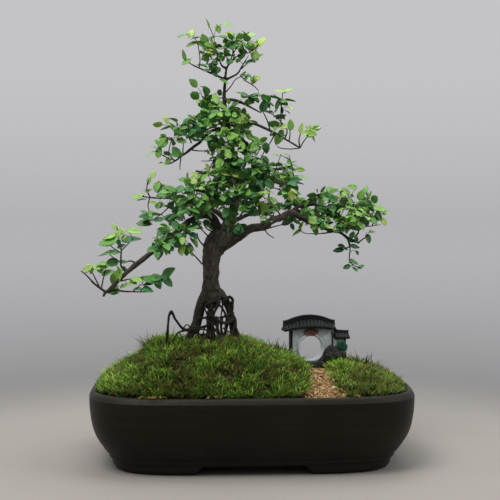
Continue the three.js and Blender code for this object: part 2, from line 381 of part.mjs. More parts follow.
// ---- wood: trunk, limbs and exposed roots, grown as one ---------------------
const SKIP = new Set(['apexleft', 'apexmid', 'apexright', 'r_up', 'uppright', 'uppleft']);
const THIN = new Set(['apextop', 'll_tip', 'll_right', 'll_up', 'r_down', 'r_twig', 'rootThin', 'rootLoop1', 'rootCross1']);
function woodParts(grow, coarse = false) {
  const list = [];
  for (const [name, pts] of Object.entries(LIMBS)) {
    if (SKIP.has(name)) continue;
    const P = pts.map((p) => p.slice());
    if (/^(leg|root)/.test(name)) {
      const e = P[P.length - 1];
      if (e[2] < 150) P.push([e[0], e[1], e[2] - 9, e[3] * 1.05]);
    }
    const big = pts[0][3] > 5.4;
    const sides = THIN.has(name) ? 4 : big ? 8 : 5;
    if (coarse) list.push(solidFrom(tube(P.map((q) => [q[0], q[1], q[2], (q[3] + 0.45) * (big ? 1.18 : 1.45)]), big ? 6 : 4, 0.05)));
    else list.push(solidFrom(tube(P, sides, grow)));
  }
  // swell where the legs gather under the trunk
  list.push(ball([-50, 1, 203], [12.5, 10.5, 11], 1, grow));
  return list;
}
let wood = largest(union(woodParts(0)));
const woodCut = union(woodParts(0.45));
const woodCutCoarse = union(woodParts(0, true)); // simpler clearance for the leaf masses

// ---- foliage masses --------------------------------------------------------
const foliage = {};
{
  const done = [];
  for (const [name, balls] of Object.entries(LEAF_MASS)) {
    let m = union(balls.map((b) => ball(b.slice(0, 3), b.slice(3, 6), 1)));
    m = m.subtract(woodCutCoarse);
    for (const d of done) m = m.subtract(d);
    foliage[name] = largest(m);
    done.push(union(balls.map((b) => ball(b.slice(0, 3), b.slice(3, 6), 1, 0.6))));
  }
}

// ---- settle the ground round everything that stands in it -------------------
soil = largest(soil.subtract(woodCut).subtract(groundCut)
  .subtract(solidFrom(box(-DRAIN_X - 19.5, -DRAIN_X + 19.5, -19.5, 19.5, 10, FLOOR_TOP + 2)))
  .subtract(solidFrom(box(DRAIN_X - 19.5, DRAIN_X + 19.5, -19.5, 19.5, 10, FLOOR_TOP + 2))));
moss = moss.subtract(woodCut).subtract(groundCut);
const mossSplit = moss.decompose().sort((a, b) => b.volume() - a.volume());
gravel = largest(gravel.subtract(groundCut));

// ---- scene graph -----------------------------------------------------------
const group = new THREE.Group();
function put(name, solid, colour, roughness = 0.8, metalness = 0) {
  const m = new THREE.Mesh(geometryFrom(solid), new THREE.MeshStandardMaterial({ color: colour, roughness, metalness }));
  m.name = name;
  group.add(m);
}
put('pot', pot, 0x2e2623, 0.75);
put('drainage_mesh_left', meshPad(-DRAIN_X), 0x202020, 0.6);
put('drainage_mesh_right', meshPad(DRAIN_X), 0x202020, 0.6);
put('soil', soil, 0x33241a, 0.95);
put('moss_main', mossSplit[0], 0x41602a, 0.95);
put('moss_right', mossSplit[1], 0x4a5f2c, 0.95);
put('gravel_path', gravel, 0xb08a58, 0.85);
put('gate_wall', gateWall, 0x8f9aa0, 0.35);
put('gate_roof', gateRoof, 0x35413f, 0.4);
put('gate_plaque', gatePlaque, 0x55281e, 0.4);
put('gate_side_wall', gateSideWall, 0x8f9aa0, 0.35);
put('gate_side_roof', largest(gateSideRoof), 0x35413f, 0.4);
put('gate_rock', gateRock, 0x3c3f38, 0.6);
put('gate_shrub', largest(gateShrub), 0x1f4a2c, 0.5);
put('gate_step', largest(gateStepCut), 0x30342f, 0.6);
put('tree_wood', wood, 0x3a2f28, 0.9);
for (const [name, m] of Object.entries(foliage)) put(name, m, 0x3f7a34, 0.5);

export default group;
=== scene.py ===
# Bonsai tree in a shallow pot, with a moss mound, gravel path and miniature moon gate: the looks, built round the CAD frame.
import math

import bmesh
import bpy
import numpy as np
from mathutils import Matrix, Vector
from mathutils.kdtree import KDTree


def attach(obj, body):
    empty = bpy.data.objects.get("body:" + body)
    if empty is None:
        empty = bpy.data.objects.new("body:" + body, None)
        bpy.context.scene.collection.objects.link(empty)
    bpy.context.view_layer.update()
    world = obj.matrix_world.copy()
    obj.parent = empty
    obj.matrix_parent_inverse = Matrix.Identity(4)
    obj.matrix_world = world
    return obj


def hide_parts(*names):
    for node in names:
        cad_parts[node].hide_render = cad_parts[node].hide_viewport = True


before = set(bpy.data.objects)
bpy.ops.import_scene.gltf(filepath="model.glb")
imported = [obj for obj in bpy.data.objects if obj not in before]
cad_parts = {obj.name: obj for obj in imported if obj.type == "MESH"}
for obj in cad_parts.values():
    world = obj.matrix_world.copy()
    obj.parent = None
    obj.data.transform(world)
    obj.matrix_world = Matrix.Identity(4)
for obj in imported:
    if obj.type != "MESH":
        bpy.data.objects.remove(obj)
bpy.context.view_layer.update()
MM = 0.001

# ---------------------------------------------------------------- camera
CAM_YAW, CAM_DIST, CAM_Z, CAM_PITCH, CAM_F = 2.7, 1.400, 0.306, 1.8, 1093.0
cam_data = bpy.data.cameras.new("camera")
cam_data.sensor_width = 36.0
cam_data.lens = CAM_F * 36.0 / 500.0
cam_data.clip_start, cam_data.clip_end = 0.05, 50.0
camera = bpy.data.objects.new("camera", cam_data)
bpy.context.scene.collection.objects.link(camera)
_a = math.radians(CAM_YAW)
camera.location = (-CAM_DIST * math.sin(_a), -CAM_DIST * math.cos(_a), CAM_Z)
camera.rotation_euler = (math.radians(90.0 - CAM_PITCH), 0.0, -_a)
bpy.context.scene.camera = camera
bpy.context.scene.view_settings.view_transform = "Standard"


# ---------------------------------------------------------------- helpers
def build(name, verts, faces, materials, smooth=True, mat_index=None, uv=None, attrs=None, corner_colour=None):
    """A mesh object in metres from arrays given in mm. faces is one array or a list of arrays with 3 or 4 columns."""
    verts = np.asarray(verts, np.float32) * MM
    groups = faces if isinstance(faces, list) else [faces]
    groups = [np.asarray(g, np.int32) for g in groups if len(g)]
    me = bpy.data.meshes.new(name)
    loops = np.concatenate([g.ravel() for g in groups])
    counts = np.concatenate([np.full(len(g), g.shape[1], np.int32) for g in groups])
    starts = np.concatenate([[0], np.cumsum(counts)[:-1]]).astype(np.int32)
    me.vertices.add(len(verts))
    me.vertices.foreach_set("co", verts.ravel())
    me.loops.add(len(loops))
    me.loops.foreach_set("vertex_index", loops)
    me.polygons.add(len(counts))
    me.polygons.foreach_set("loop_start", starts)
    me.polygons.foreach_set("loop_total", counts)
    if mat_index is not None:
        me.polygons.foreach_set("material_index", np.asarray(mat_index, np.int32))
    me.polygons.foreach_set("use_smooth", np.full(len(counts), bool(smooth)))
    me.update(calc_edges=True)
    if uv is not None:
        layer = me.uv_layers.new(name="OFBake")
        layer.uv.foreach_set("vector", np.asarray(uv, np.float32)[loops].ravel())
    for key, value in (attrs or {}).items():
        value = np.asarray(value, np.float32)
        if value.ndim == 1:
            at = me.attributes.new(key, "FLOAT", "POINT")
            at.data.foreach_set("value", value)
        else:
            at = me.attributes.new(key, "FLOAT_VECTOR", "POINT")
            at.data.foreach_set("vector", value.ravel())
    me.validate(verbose=False)
    ob = bpy.data.objects.new(name, me)
    bpy.context.scene.collection.objects.link(ob)
    for m in materials:
        me.materials.append(m)
    return ob


def grid_faces(rows, cols, wrap=False, base=0):
    """Quads of a rows x cols grid of vertices, wrapping round each row if wrap."""
    i = np.arange(rows - 1)[:, None]
    j = np.arange(cols if wrap else cols - 1)[None, :]
    k = (j + 1) % cols
    a = i * cols + j
    b = i * cols + k
    return (np.stack([a, b, b + cols, a + cols], -1).reshape(-1, 4) + base).astype(np.int32)


def _hash(ix, iy, iz, seed):
    h = (ix.astype(np.int64) * 73856093) ^ (iy.astype(np.int64) * 19349663) ^ (iz.astype(np.int64) * 83492791) ^ (seed * 2654435761)
    h = (h ^ (h >> 13)) * 1274126177
    h = h ^ (h >> 16)
    return (h & 0xFFFFFF).astype(np.float64) / 0xFFFFFF


def noise3(p, seed=0):
    """Smooth value noise in -1..1 at points (n, 3)."""
    p = np.asarray(p, np.float64)
    i = np.floor(p)
    f = p - i
    f = f * f * f * (f * (f * 6 - 15) + 10)
    i = i.astype(np.int64)
    out = np.zeros(len(p))
    for dx in (0, 1):
        wx = f[:, 0] if dx else 1 - f[:, 0]
        for dy in (0, 1):
            wy = f[:, 1] if dy else 1 - f[:, 1]
            for dz in (0, 1):
                wz = f[:, 2] if dz else 1 - f[:, 2]
                out += wx * wy * wz * _hash(i[:, 0] + dx, i[:, 1] + dy, i[:, 2] + dz, seed)
    return out * 2 - 1


def fbm(p, octaves=3, seed=0, gain=0.5):
    p = np.asarray(p, np.float64)
    total, amp, norm = np.zeros(len(p)), 1.0, 0.0
    for o in range(octaves):
        total += amp * noise3(p * 2 ** o + 17.3 * o, seed + o * 7)
        norm += amp
        amp *= gain
    return total / norm


def smoothstep(a, b, x):
    t = np.clip((x - a) / (b - a), 0, 1)
    return t * t * (3 - 2 * t)


# ---------------------------------------------------------------- materials
def new_material(name):
    m = bpy.data.materials.new(name)
    m.use_nodes = True
    nt = m.node_tree
    nt.nodes.clear()
    out = nt.nodes.new("ShaderNodeOutputMaterial")
    bsdf = nt.nodes.new("ShaderNodeBsdfPrincipled")
    nt.links.new(bsdf.outputs[0], out.inputs[0])
    return m, nt, bsdf, out


def ramp(nt, stops, fac=None, interpolation="LINEAR"):
    r = nt.nodes.new("ShaderNodeValToRGB")
    r.color_ramp.interpolation = interpolation
    e = r.color_ramp.elements
    while len(e) < len(stops):
        e.new(0.5)
    for x, (pos, col) in zip(e, stops):
        x.position = pos
        x.color = (*col, 1.0) if len(col) == 3 else col
    if fac is not None:
        nt.links.new(fac, r.inputs[0])
    return r


def tex_noise(nt, scale, detail=4.0, rough=0.55, vec=None, distortion=0.0):
    n = nt.nodes.new("ShaderNodeTexNoise")
    n.inputs["Scale"].default_value = scale
    n.inputs["Detail"].default_value = detail
    n.inputs["Roughness"].default_value = rough
    n.inputs["Distortion"].default_value = distortion
    if vec is not None:
        nt.links.new(vec, n.inputs["Vector"])
    return n


def attribute(nt, name):
    a = nt.nodes.new("ShaderNodeAttribute")
    a.attribute_name = name
    return a


def mix(nt, a, b, fac, mode="MIX"):
    m = nt.nodes.new("ShaderNodeMix")
    m.data_type = "RGBA"
    m.blend_type = mode
    for value, sock in ((fac, m.inputs[0]), (a, m.inputs[6]), (b, m.inputs[7])):
        if isinstance(value, (int, float)):
            sock.default_value = value
        elif isinstance(value, tuple):
            sock.default_value = (*value, 1.0) if len(value) == 3 else value
        else:
            nt.links.new(value, sock)
    return m.outputs[2]


def math_node(nt, op, a, b=None, clamp=False):
    m = nt.nodes.new("ShaderNodeMath")
    m.operation = op
    m.use_clamp = clamp
    for value, sock in ((a, m.inputs[0]), (b, m.inputs[1])):
        if value is None:
            continue
        if isinstance(value, (int, float)):
            sock.default_value = value
        else:
            nt.links.new(value, sock)
    return m.outputs[0]


def bump(nt, bsdf, height, strength=0.3, distance=0.001, normal=None):
    b = nt.nodes.new("ShaderNodeBump")
    b.inputs["Strength"].default_value = strength
    b.inputs["Distance"].default_value = distance
    nt.links.new(height, b.inputs["Height"])
    if normal is not None:
        nt.links.new(normal, b.inputs["Normal"])
    nt.links.new(b.outputs[0], bsdf.inputs["Normal"])
    return b.outputs[0]


def obj_coords(nt, scale=None):
    c = nt.nodes.new("ShaderNodeTexCoord")
    if scale is None:
        return c.outputs["Object"]
    mp = nt.nodes.new("ShaderNodeMapping")
    mp.inputs["Scale"].default_value = scale
    nt.links.new(c.outputs["Object"], mp.inputs["Vector"])
    return mp.outputs[0]


def rough_from(nt, bsdf, fac, lo, hi):
    r = nt.nodes.new("ShaderNodeMapRange")
    r.inputs["To Min"].default_value = lo
    r.inputs["To Max"].default_value = hi
    nt.links.new(fac, r.inputs["Value"])
    nt.links.new(r.outputs[0], bsdf.inputs["Roughness"])


def clay_material():
    m, nt, b, out = new_material("pot_clay")
    co = obj_coords(nt)
    big = tex_noise(nt, 9.0, 4.0, 0.55, co)
    fine = tex_noise(nt, 420.0, 3.0, 0.6, co)
    streak = tex_noise(nt, 1.0, 4.0, 0.6, obj_coords(nt, (9.0, 9.0, 210.0)))
    col = ramp(nt, [(0.30, (0.0058, 0.0042, 0.0020)), (0.55, (0.0088, 0.0066, 0.0032)), (0.8, (0.0136, 0.0104, 0.0056))], big.outputs[0])
    worn = ramp(nt, [(0.35, (0.8, 0.8, 0.8)), (0.7, (1.25, 1.22, 1.2))], fine.outputs[0])
    c = mix(nt, col.outputs[0], worn.outputs[0], 1.0, "MULTIPLY")
    sr = ramp(nt, [(0.35, (0.82, 0.82, 0.82)), (0.65, (1.2, 1.2, 1.2))], streak.outputs[0])
    c = mix(nt, c, sr.outputs[0], 1.0, "MULTIPLY")
    # painted highlight: the rim lip is painted lighter where the top light catches it, and the foot is dustier
    rim = attribute(nt, "rim")
    c = mix(nt, c, (0.0120, 0.0100, 0.0042), rim.outputs["Fac"])
    dust = attribute(nt, "dust")
    dn = tex_noise(nt, 60.0, 3.0, 0.6, co)
    df = math_node(nt, "MULTIPLY", dust.outputs["Fac"], dn.outputs[0])
    c = mix(nt, c, (0.022, 0.018, 0.014), df)
    nt.links.new(c, b.inputs["Base Color"])
    rough_from(nt, b, fine.outputs[0], 0.40, 0.58)
    h = math_node(nt, "ADD", fine.outputs[0], math_node(nt, "MULTIPLY", tex_noise(nt, 1500.0, 2.0, 0.5, co).outputs[0], 0.5))
    bump(nt, b, h, 0.35, 0.0004)
    b.inputs["Specular IOR Level"].default_value = 0.18
    return m


def soil_material():
    m, nt, b, out = new_material("soil")
    co = obj_coords(nt)
    v = nt.nodes.new("ShaderNodeTexVoronoi")
    v.inputs["Scale"].default_value = 380.0
    nt.links.new(co, v.inputs["Vector"])
    n = tex_noise(nt, 120.0, 4.0, 0.6, co)
    c = ramp(nt, [(0.3, (0.012, 0.008, 0.005)), (0.55, (0.035, 0.022, 0.013)), (0.8, (0.075, 0.05, 0.03))], n.outputs[0])
    nt.links.new(c.outputs[0], b.inputs["Base Color"])
    b.inputs["Roughness"].default_value = 0.95
    bump(nt, b, v.outputs["Distance"], 0.9, 0.002)
    return m


def net_material():
    m, nt, b, out = new_material("net")
    n = tex_noise(nt, 300.0, 2.0, 0.5, obj_coords(nt))
    c = ramp(nt, [(0.3, (0.006, 0.006, 0.007)), (0.7, (0.014, 0.014, 0.015))], n.outputs[0])
    nt.links.new(c.outputs[0], b.inputs["Base Color"])
    rough_from(nt, b, n.outputs[0], 0.4, 0.6)
    return m


def bark_material():
    m, nt, b, out = new_material("bark")
    co = obj_coords(nt)
    # furrow coordinates: along the limb and round it
    own = attribute(nt, "bark_uvw")
    fis = tex_noise(nt, 1.0, 5.0, 0.62, own.outputs["Vector"], 0.4)
    plates = nt.nodes.new("ShaderNodeTexVoronoi")
    plates.feature = "F1"
    plates.inputs["Scale"].default_value = 0.7
    nt.links.new(own.outputs["Vector"], plates.inputs["Vector"])
    patch = tex_noise(nt, 42.0, 4.0, 0.6, co)
    base = ramp(nt, [(0.28, (0.011, 0.0088, 0.0068)), (0.44, (0.043, 0.0345, 0.027)), (0.58, (0.096, 0.0785, 0.061)), (0.74, (0.195, 0.166, 0.132))], fis.outputs[0])
    grey = ramp(nt, [(0.45, (0, 0, 0)), (0.68, (1, 1, 1))], patch.outputs[0])
    lichen = ramp(nt, [(0.4, (0.055, 0.046, 0.04)), (0.7, (0.16, 0.145, 0.125))], fis.outputs[0])
    c = mix(nt, base.outputs[0], lichen.outputs[0], math_node(nt, "MULTIPLY", grey.outputs[0], 0.55))
    red = attribute(nt, "red")
    rc = ramp(nt, [(0.3, (0.024, 0.0125, 0.009)), (0.52, (0.075, 0.044, 0.031)), (0.75, (0.165, 0.110, 0.080))], fis.outputs[0])
    c = mix(nt, c, rc.outputs[0], red.outputs["Fac"])
    # thin young bark is darker; the same dark colour is laid on the low left limb as painted shade
    young_bark_and_shade = attribute(nt, "young_bark_and_shade")
    yc = ramp(nt, [(0.3, (0.015, 0.0098, 0.0072)), (0.7, (0.052, 0.037, 0.026))], fis.outputs[0])
    c = mix(nt, c, yc.outputs[0], young_bark_and_shade.outputs["Fac"])
    # painted shade: the bark is darkened below 235 mm, most below 190 mm, where the crown shades the trunk base and
    # roots
    sx = nt.nodes.new("ShaderNodeSeparateXYZ")
    nt.links.new(co, sx.inputs[0])
    low = ramp(nt, [(0.150, (0.50, 0.49, 0.47)), (0.190, (0.60, 0.59, 0.57)), (0.235, (1, 1, 1)), (1.0, (1, 1, 1))], sx.outputs[2])
    c = mix(nt, c, low.outputs[0], 1.0, "MULTIPLY")
    nt.links.new(c, b.inputs["Base Color"])
    rough_from(nt, b, fis.outputs[0], 0.62, 0.92)
    h = math_node(nt, "ADD", fis.outputs[0], math_node(nt, "MULTIPLY", plates.outputs["Distance"], 0.35))
    h = math_node(nt, "ADD", h, math_node(nt, "MULTIPLY", tex_noise(nt, 900.0, 3.0, 0.6, co).outputs[0], 0.25))
    bump(nt, b, h, 0.75, 0.0009)
    b.inputs["Specular IOR Level"].default_value = 0.35
    return m


def leaf_material():
    m, nt, b, out = new_material("leaf")
    tone = attribute(nt, "tone")      # 0 dark, 1 light: old leaves dark, new growth light, plus painted light on lobe tops and painted shade inside lobes
    hue = attribute(nt, "hue")
    vein = attribute(nt, "leaf_vw")   # x across -1..1, y along 0..1, z is 1 on the underside
    sep = nt.nodes.new("ShaderNodeSeparateXYZ")
    nt.links.new(vein.outputs["Vector"], sep.inputs[0])
    co = obj_coords(nt)
    blotch = tex_noise(nt, 160.0, 3.0, 0.55, co)
    dark = ramp(nt, [(0.0, (0.036, 0.138, 0.055)), (0.25, (0.084, 0.272, 0.080)), (0.5, (0.208, 0.470, 0.104)), (0.75, (0.385, 0.640, 0.160)), (1.0, (0.510, 0.690, 0.245))], tone.outputs["Fac"])
    warm = ramp(nt, [(0.0, (0.80, 0.98, 1.12)), (0.5, (1, 1, 1)), (1.0, (1.28, 1.05, 0.80))], hue.outputs["Fac"])
    c = mix(nt, dark.outputs[0], warm.outputs[0], 1.0, "MULTIPLY")
    bl = ramp(nt, [(0.3, (0.82, 0.86, 0.85)), (0.7, (1.15, 1.10, 1.05))], blotch.outputs[0])
    c = mix(nt, c, bl.outputs[0], 1.0, "MULTIPLY")
    # midrib and side veins
    ax = math_node(nt, "ABSOLUTE", sep.outputs[0])
    rib = math_node(nt, "SUBTRACT", 1.0, math_node(nt, "DIVIDE", ax, 0.11), clamp=True)
    skew = math_node(nt, "SUBTRACT", math_node(nt, "MULTIPLY", sep.outputs[1], 7.0), math_node(nt, "MULTIPLY", ax, 1.6))
    fr = math_node(nt, "FRACT", skew)
    side = math_node(nt, "ABSOLUTE", math_node(nt, "SUBTRACT", fr, 0.5))
    side = math_node(nt, "SUBTRACT", 1.0, math_node(nt, "DIVIDE", side, 0.13), clamp=True)
    ribs = math_node(nt, "MAXIMUM", rib, math_node(nt, "MULTIPLY", side, 0.35))
    lit = mix(nt, c, (1.30, 1.18, 1.25), ribs, "MULTIPLY")
    under = mix(nt, lit, (0.115, 0.205, 0.075), math_node(nt, "MULTIPLY", sep.outputs[2], 0.45))
    nt.links.new(under, b.inputs["Base Color"])
    rough_from(nt, b, blotch.outputs[0], 0.34, 0.54)
    h = math_node(nt, "SUBTRACT", math_node(nt, "MULTIPLY", blotch.outputs[0], 0.3), ribs)
    bump(nt, b, h, 0.35, 0.0003)
    b.inputs["Specular IOR Level"].default_value = 0.34
    b.inputs["Subsurface Weight"].default_value = 0.0
    # leaves let some light through
    tr = nt.nodes.new("ShaderNodeBsdfTranslucent")
    tc = mix(nt, under, (1.35, 1.30, 0.55), 1.0, "MULTIPLY")
    nt.links.new(tc, tr.inputs["Color"])
    ms = nt.nodes.new("ShaderNodeMixShader")
    ms.inputs[0].default_value = 0.27
    nt.links.new(b.outputs[0], ms.inputs[1])
    nt.links.new(tr.outputs[0], ms.inputs[2])
    nt.links.new(ms.outputs[0], out.inputs[0])
    return m


def moss_material(name, bed=False):
    m, nt, b, out = new_material(name)
    tone = attribute(nt, "tone")
    along = attribute(nt, "along")
    co = obj_coords(nt)
    n = tex_noise(nt, 55.0, 4.0, 0.6, co)
    c = ramp(nt, [(0.0, (0.056, 0.042, 0.014)), (0.14, (0.215, 0.175, 0.052)), (0.26, (0.052, 0.088, 0.010)), (0.50, (0.068, 0.182, 0.014)), (0.74, (0.135, 0.345, 0.026)), (1.0, (0.400, 0.640, 0.100))], tone.outputs["Fac"])
    shade = ramp(nt, [(0.0, (0.035, 0.035, 0.03)), (0.40, (0.34, 0.34, 0.31)), (0.72, (1.10, 1.07, 0.92)), (1.0, (2.2, 2.1, 1.6))], along.outputs["Fac"])
    c2 = mix(nt, c.outputs[0], shade.outputs[0], 1.0, "MULTIPLY")
    v = ramp(nt, [(0.3, (0.78, 0.8, 0.8)), (0.7, (1.2, 1.15, 1.1))], n.outputs[0])
    c2 = mix(nt, c2, v.outputs[0], 1.0, "MULTIPLY")
    nt.links.new(c2, b.inputs["Base Color"])
    rough_from(nt, b, n.outputs[0], 0.55, 0.8)
    b.inputs["Specular IOR Level"].default_value = 0.3
    if bed:
        f = tex_noise(nt, 700.0, 4.0, 0.7, co)
        bump(nt, b, f.outputs[0], 1.0, 0.002)
    return m


def gravel_material():
    m, nt, b, out = new_material("gravel")
    tone = attribute(nt, "tone")
    co = obj_coords(nt)
    n = tex_noise(nt, 500.0, 3.0, 0.6, co)
    c = ramp(nt, [(0.0, (0.040, 0.018, 0.006)), (0.2, (0.125, 0.062, 0.019)), (0.45, (0.290, 0.160, 0.052)), (0.7, (0.420, 0.265, 0.105)), (0.9, (0.58, 0.42, 0.215)), (1.0, (0.72, 0.60, 0.40))], tone.outputs["Fac"])
    v = ramp(nt, [(0.3, (0.75, 0.72, 0.68)), (0.7, (1.12, 1.1, 1.08))], n.outputs[0])
    c2 = mix(nt, c.outputs[0], v.outputs[0], 1.0, "MULTIPLY")
    nt.links.new(c2, b.inputs["Base Color"])
    rough_from(nt, b, n.outputs[0], 0.6, 0.85)
    bump(nt, b, tex_noise(nt, 1800.0, 3.0, 0.6, co).outputs[0], 0.4, 0.0003)
    return m


def glaze_material(name, stops, scale=45.0, rough=(0.12, 0.3), pool_and_shade=None, coat=0.35, spec=0.5):
    """Fired glaze: colour drifts, and goes to the given dark colour where the attribute says: glaze pooled in creases,
    and painted shade under the roofs and at the ground.
    """
    m, nt, b, out = new_material(name)
    co = obj_coords(nt)
    n = tex_noise(nt, scale, 5.0, 0.6, co, 0.5)
    c = ramp(nt, stops, n.outputs[0]).outputs[0]
    if pool_and_shade is not None:
        p = attribute(nt, "pool_and_shade")
        c = mix(nt, c, pool_and_shade, p.outputs["Fac"])
    nt.links.new(c, b.inputs["Base Color"])
    rough_from(nt, b, tex_noise(nt, 160.0, 3.0, 0.5, co).outputs[0], *rough)
    bump(nt, b, tex_noise(nt, 220.0, 3.0, 0.55, co).outputs[0], 0.25, 0.0006)
    b.inputs["Coat Weight"].default_value = coat
    b.inputs["Specular IOR Level"].default_value = spec
    b.inputs["Coat Roughness"].default_value = 0.12
    return m


CLAY = clay_material()
SOIL = soil_material()
NET = net_material()
BARK = bark_material()
LEAF = leaf_material()
MOSS = moss_material("moss_blades")
MOSS_BED = moss_material("moss_bed", bed=True)
GRAVEL = gravel_material()
GLAZE_WALL = glaze_material("gate_wall_glaze", [(0.25, (0.290, 0.345, 0.345)), (0.5, (0.50, 0.56, 0.555)), (0.75, (0.74, 0.78, 0.77))], 60.0, (0.12, 0.28), (0.120, 0.150, 0.152))
GLAZE_ROOF = glaze_material("gate_roof_glaze", [(0.3, (0.0045, 0.0072, 0.0072)), (0.55, (0.0068, 0.0112, 0.0112)), (0.8, (0.015, 0.0230, 0.0225))], 80.0, (0.50, 0.70), (0.0018, 0.0026, 0.0028), 0.0, 0.30)
GLAZE_PLAQUE = glaze_material("gate_plaque_glaze", [(0.3, (0.085, 0.026, 0.012)), (0.6, (0.200, 0.062, 0.028)), (0.85, (0.330, 0.135, 0.070))], 120.0, (0.18, 0.35), (0.02, 0.008, 0.005))
GLAZE_ROCK = glaze_material("gate_rock_glaze", [(0.3, (0.008, 0.010, 0.008)), (0.55, (0.020, 0.022, 0.017)), (0.8, (0.052, 0.050, 0.037))], 110.0, (0.45, 0.7), (0.004, 0.0045, 0.0036), 0.0, 0.35)
GLAZE_SHRUB = glaze_material("gate_shrub_glaze", [(0.3, (0.004, 0.052, 0.026)), (0.6, (0.014, 0.150, 0.076)), (0.85, (0.045, 0.270, 0.150))], 150.0, (0.2, 0.4), (0.028, 0.020, 0.012))
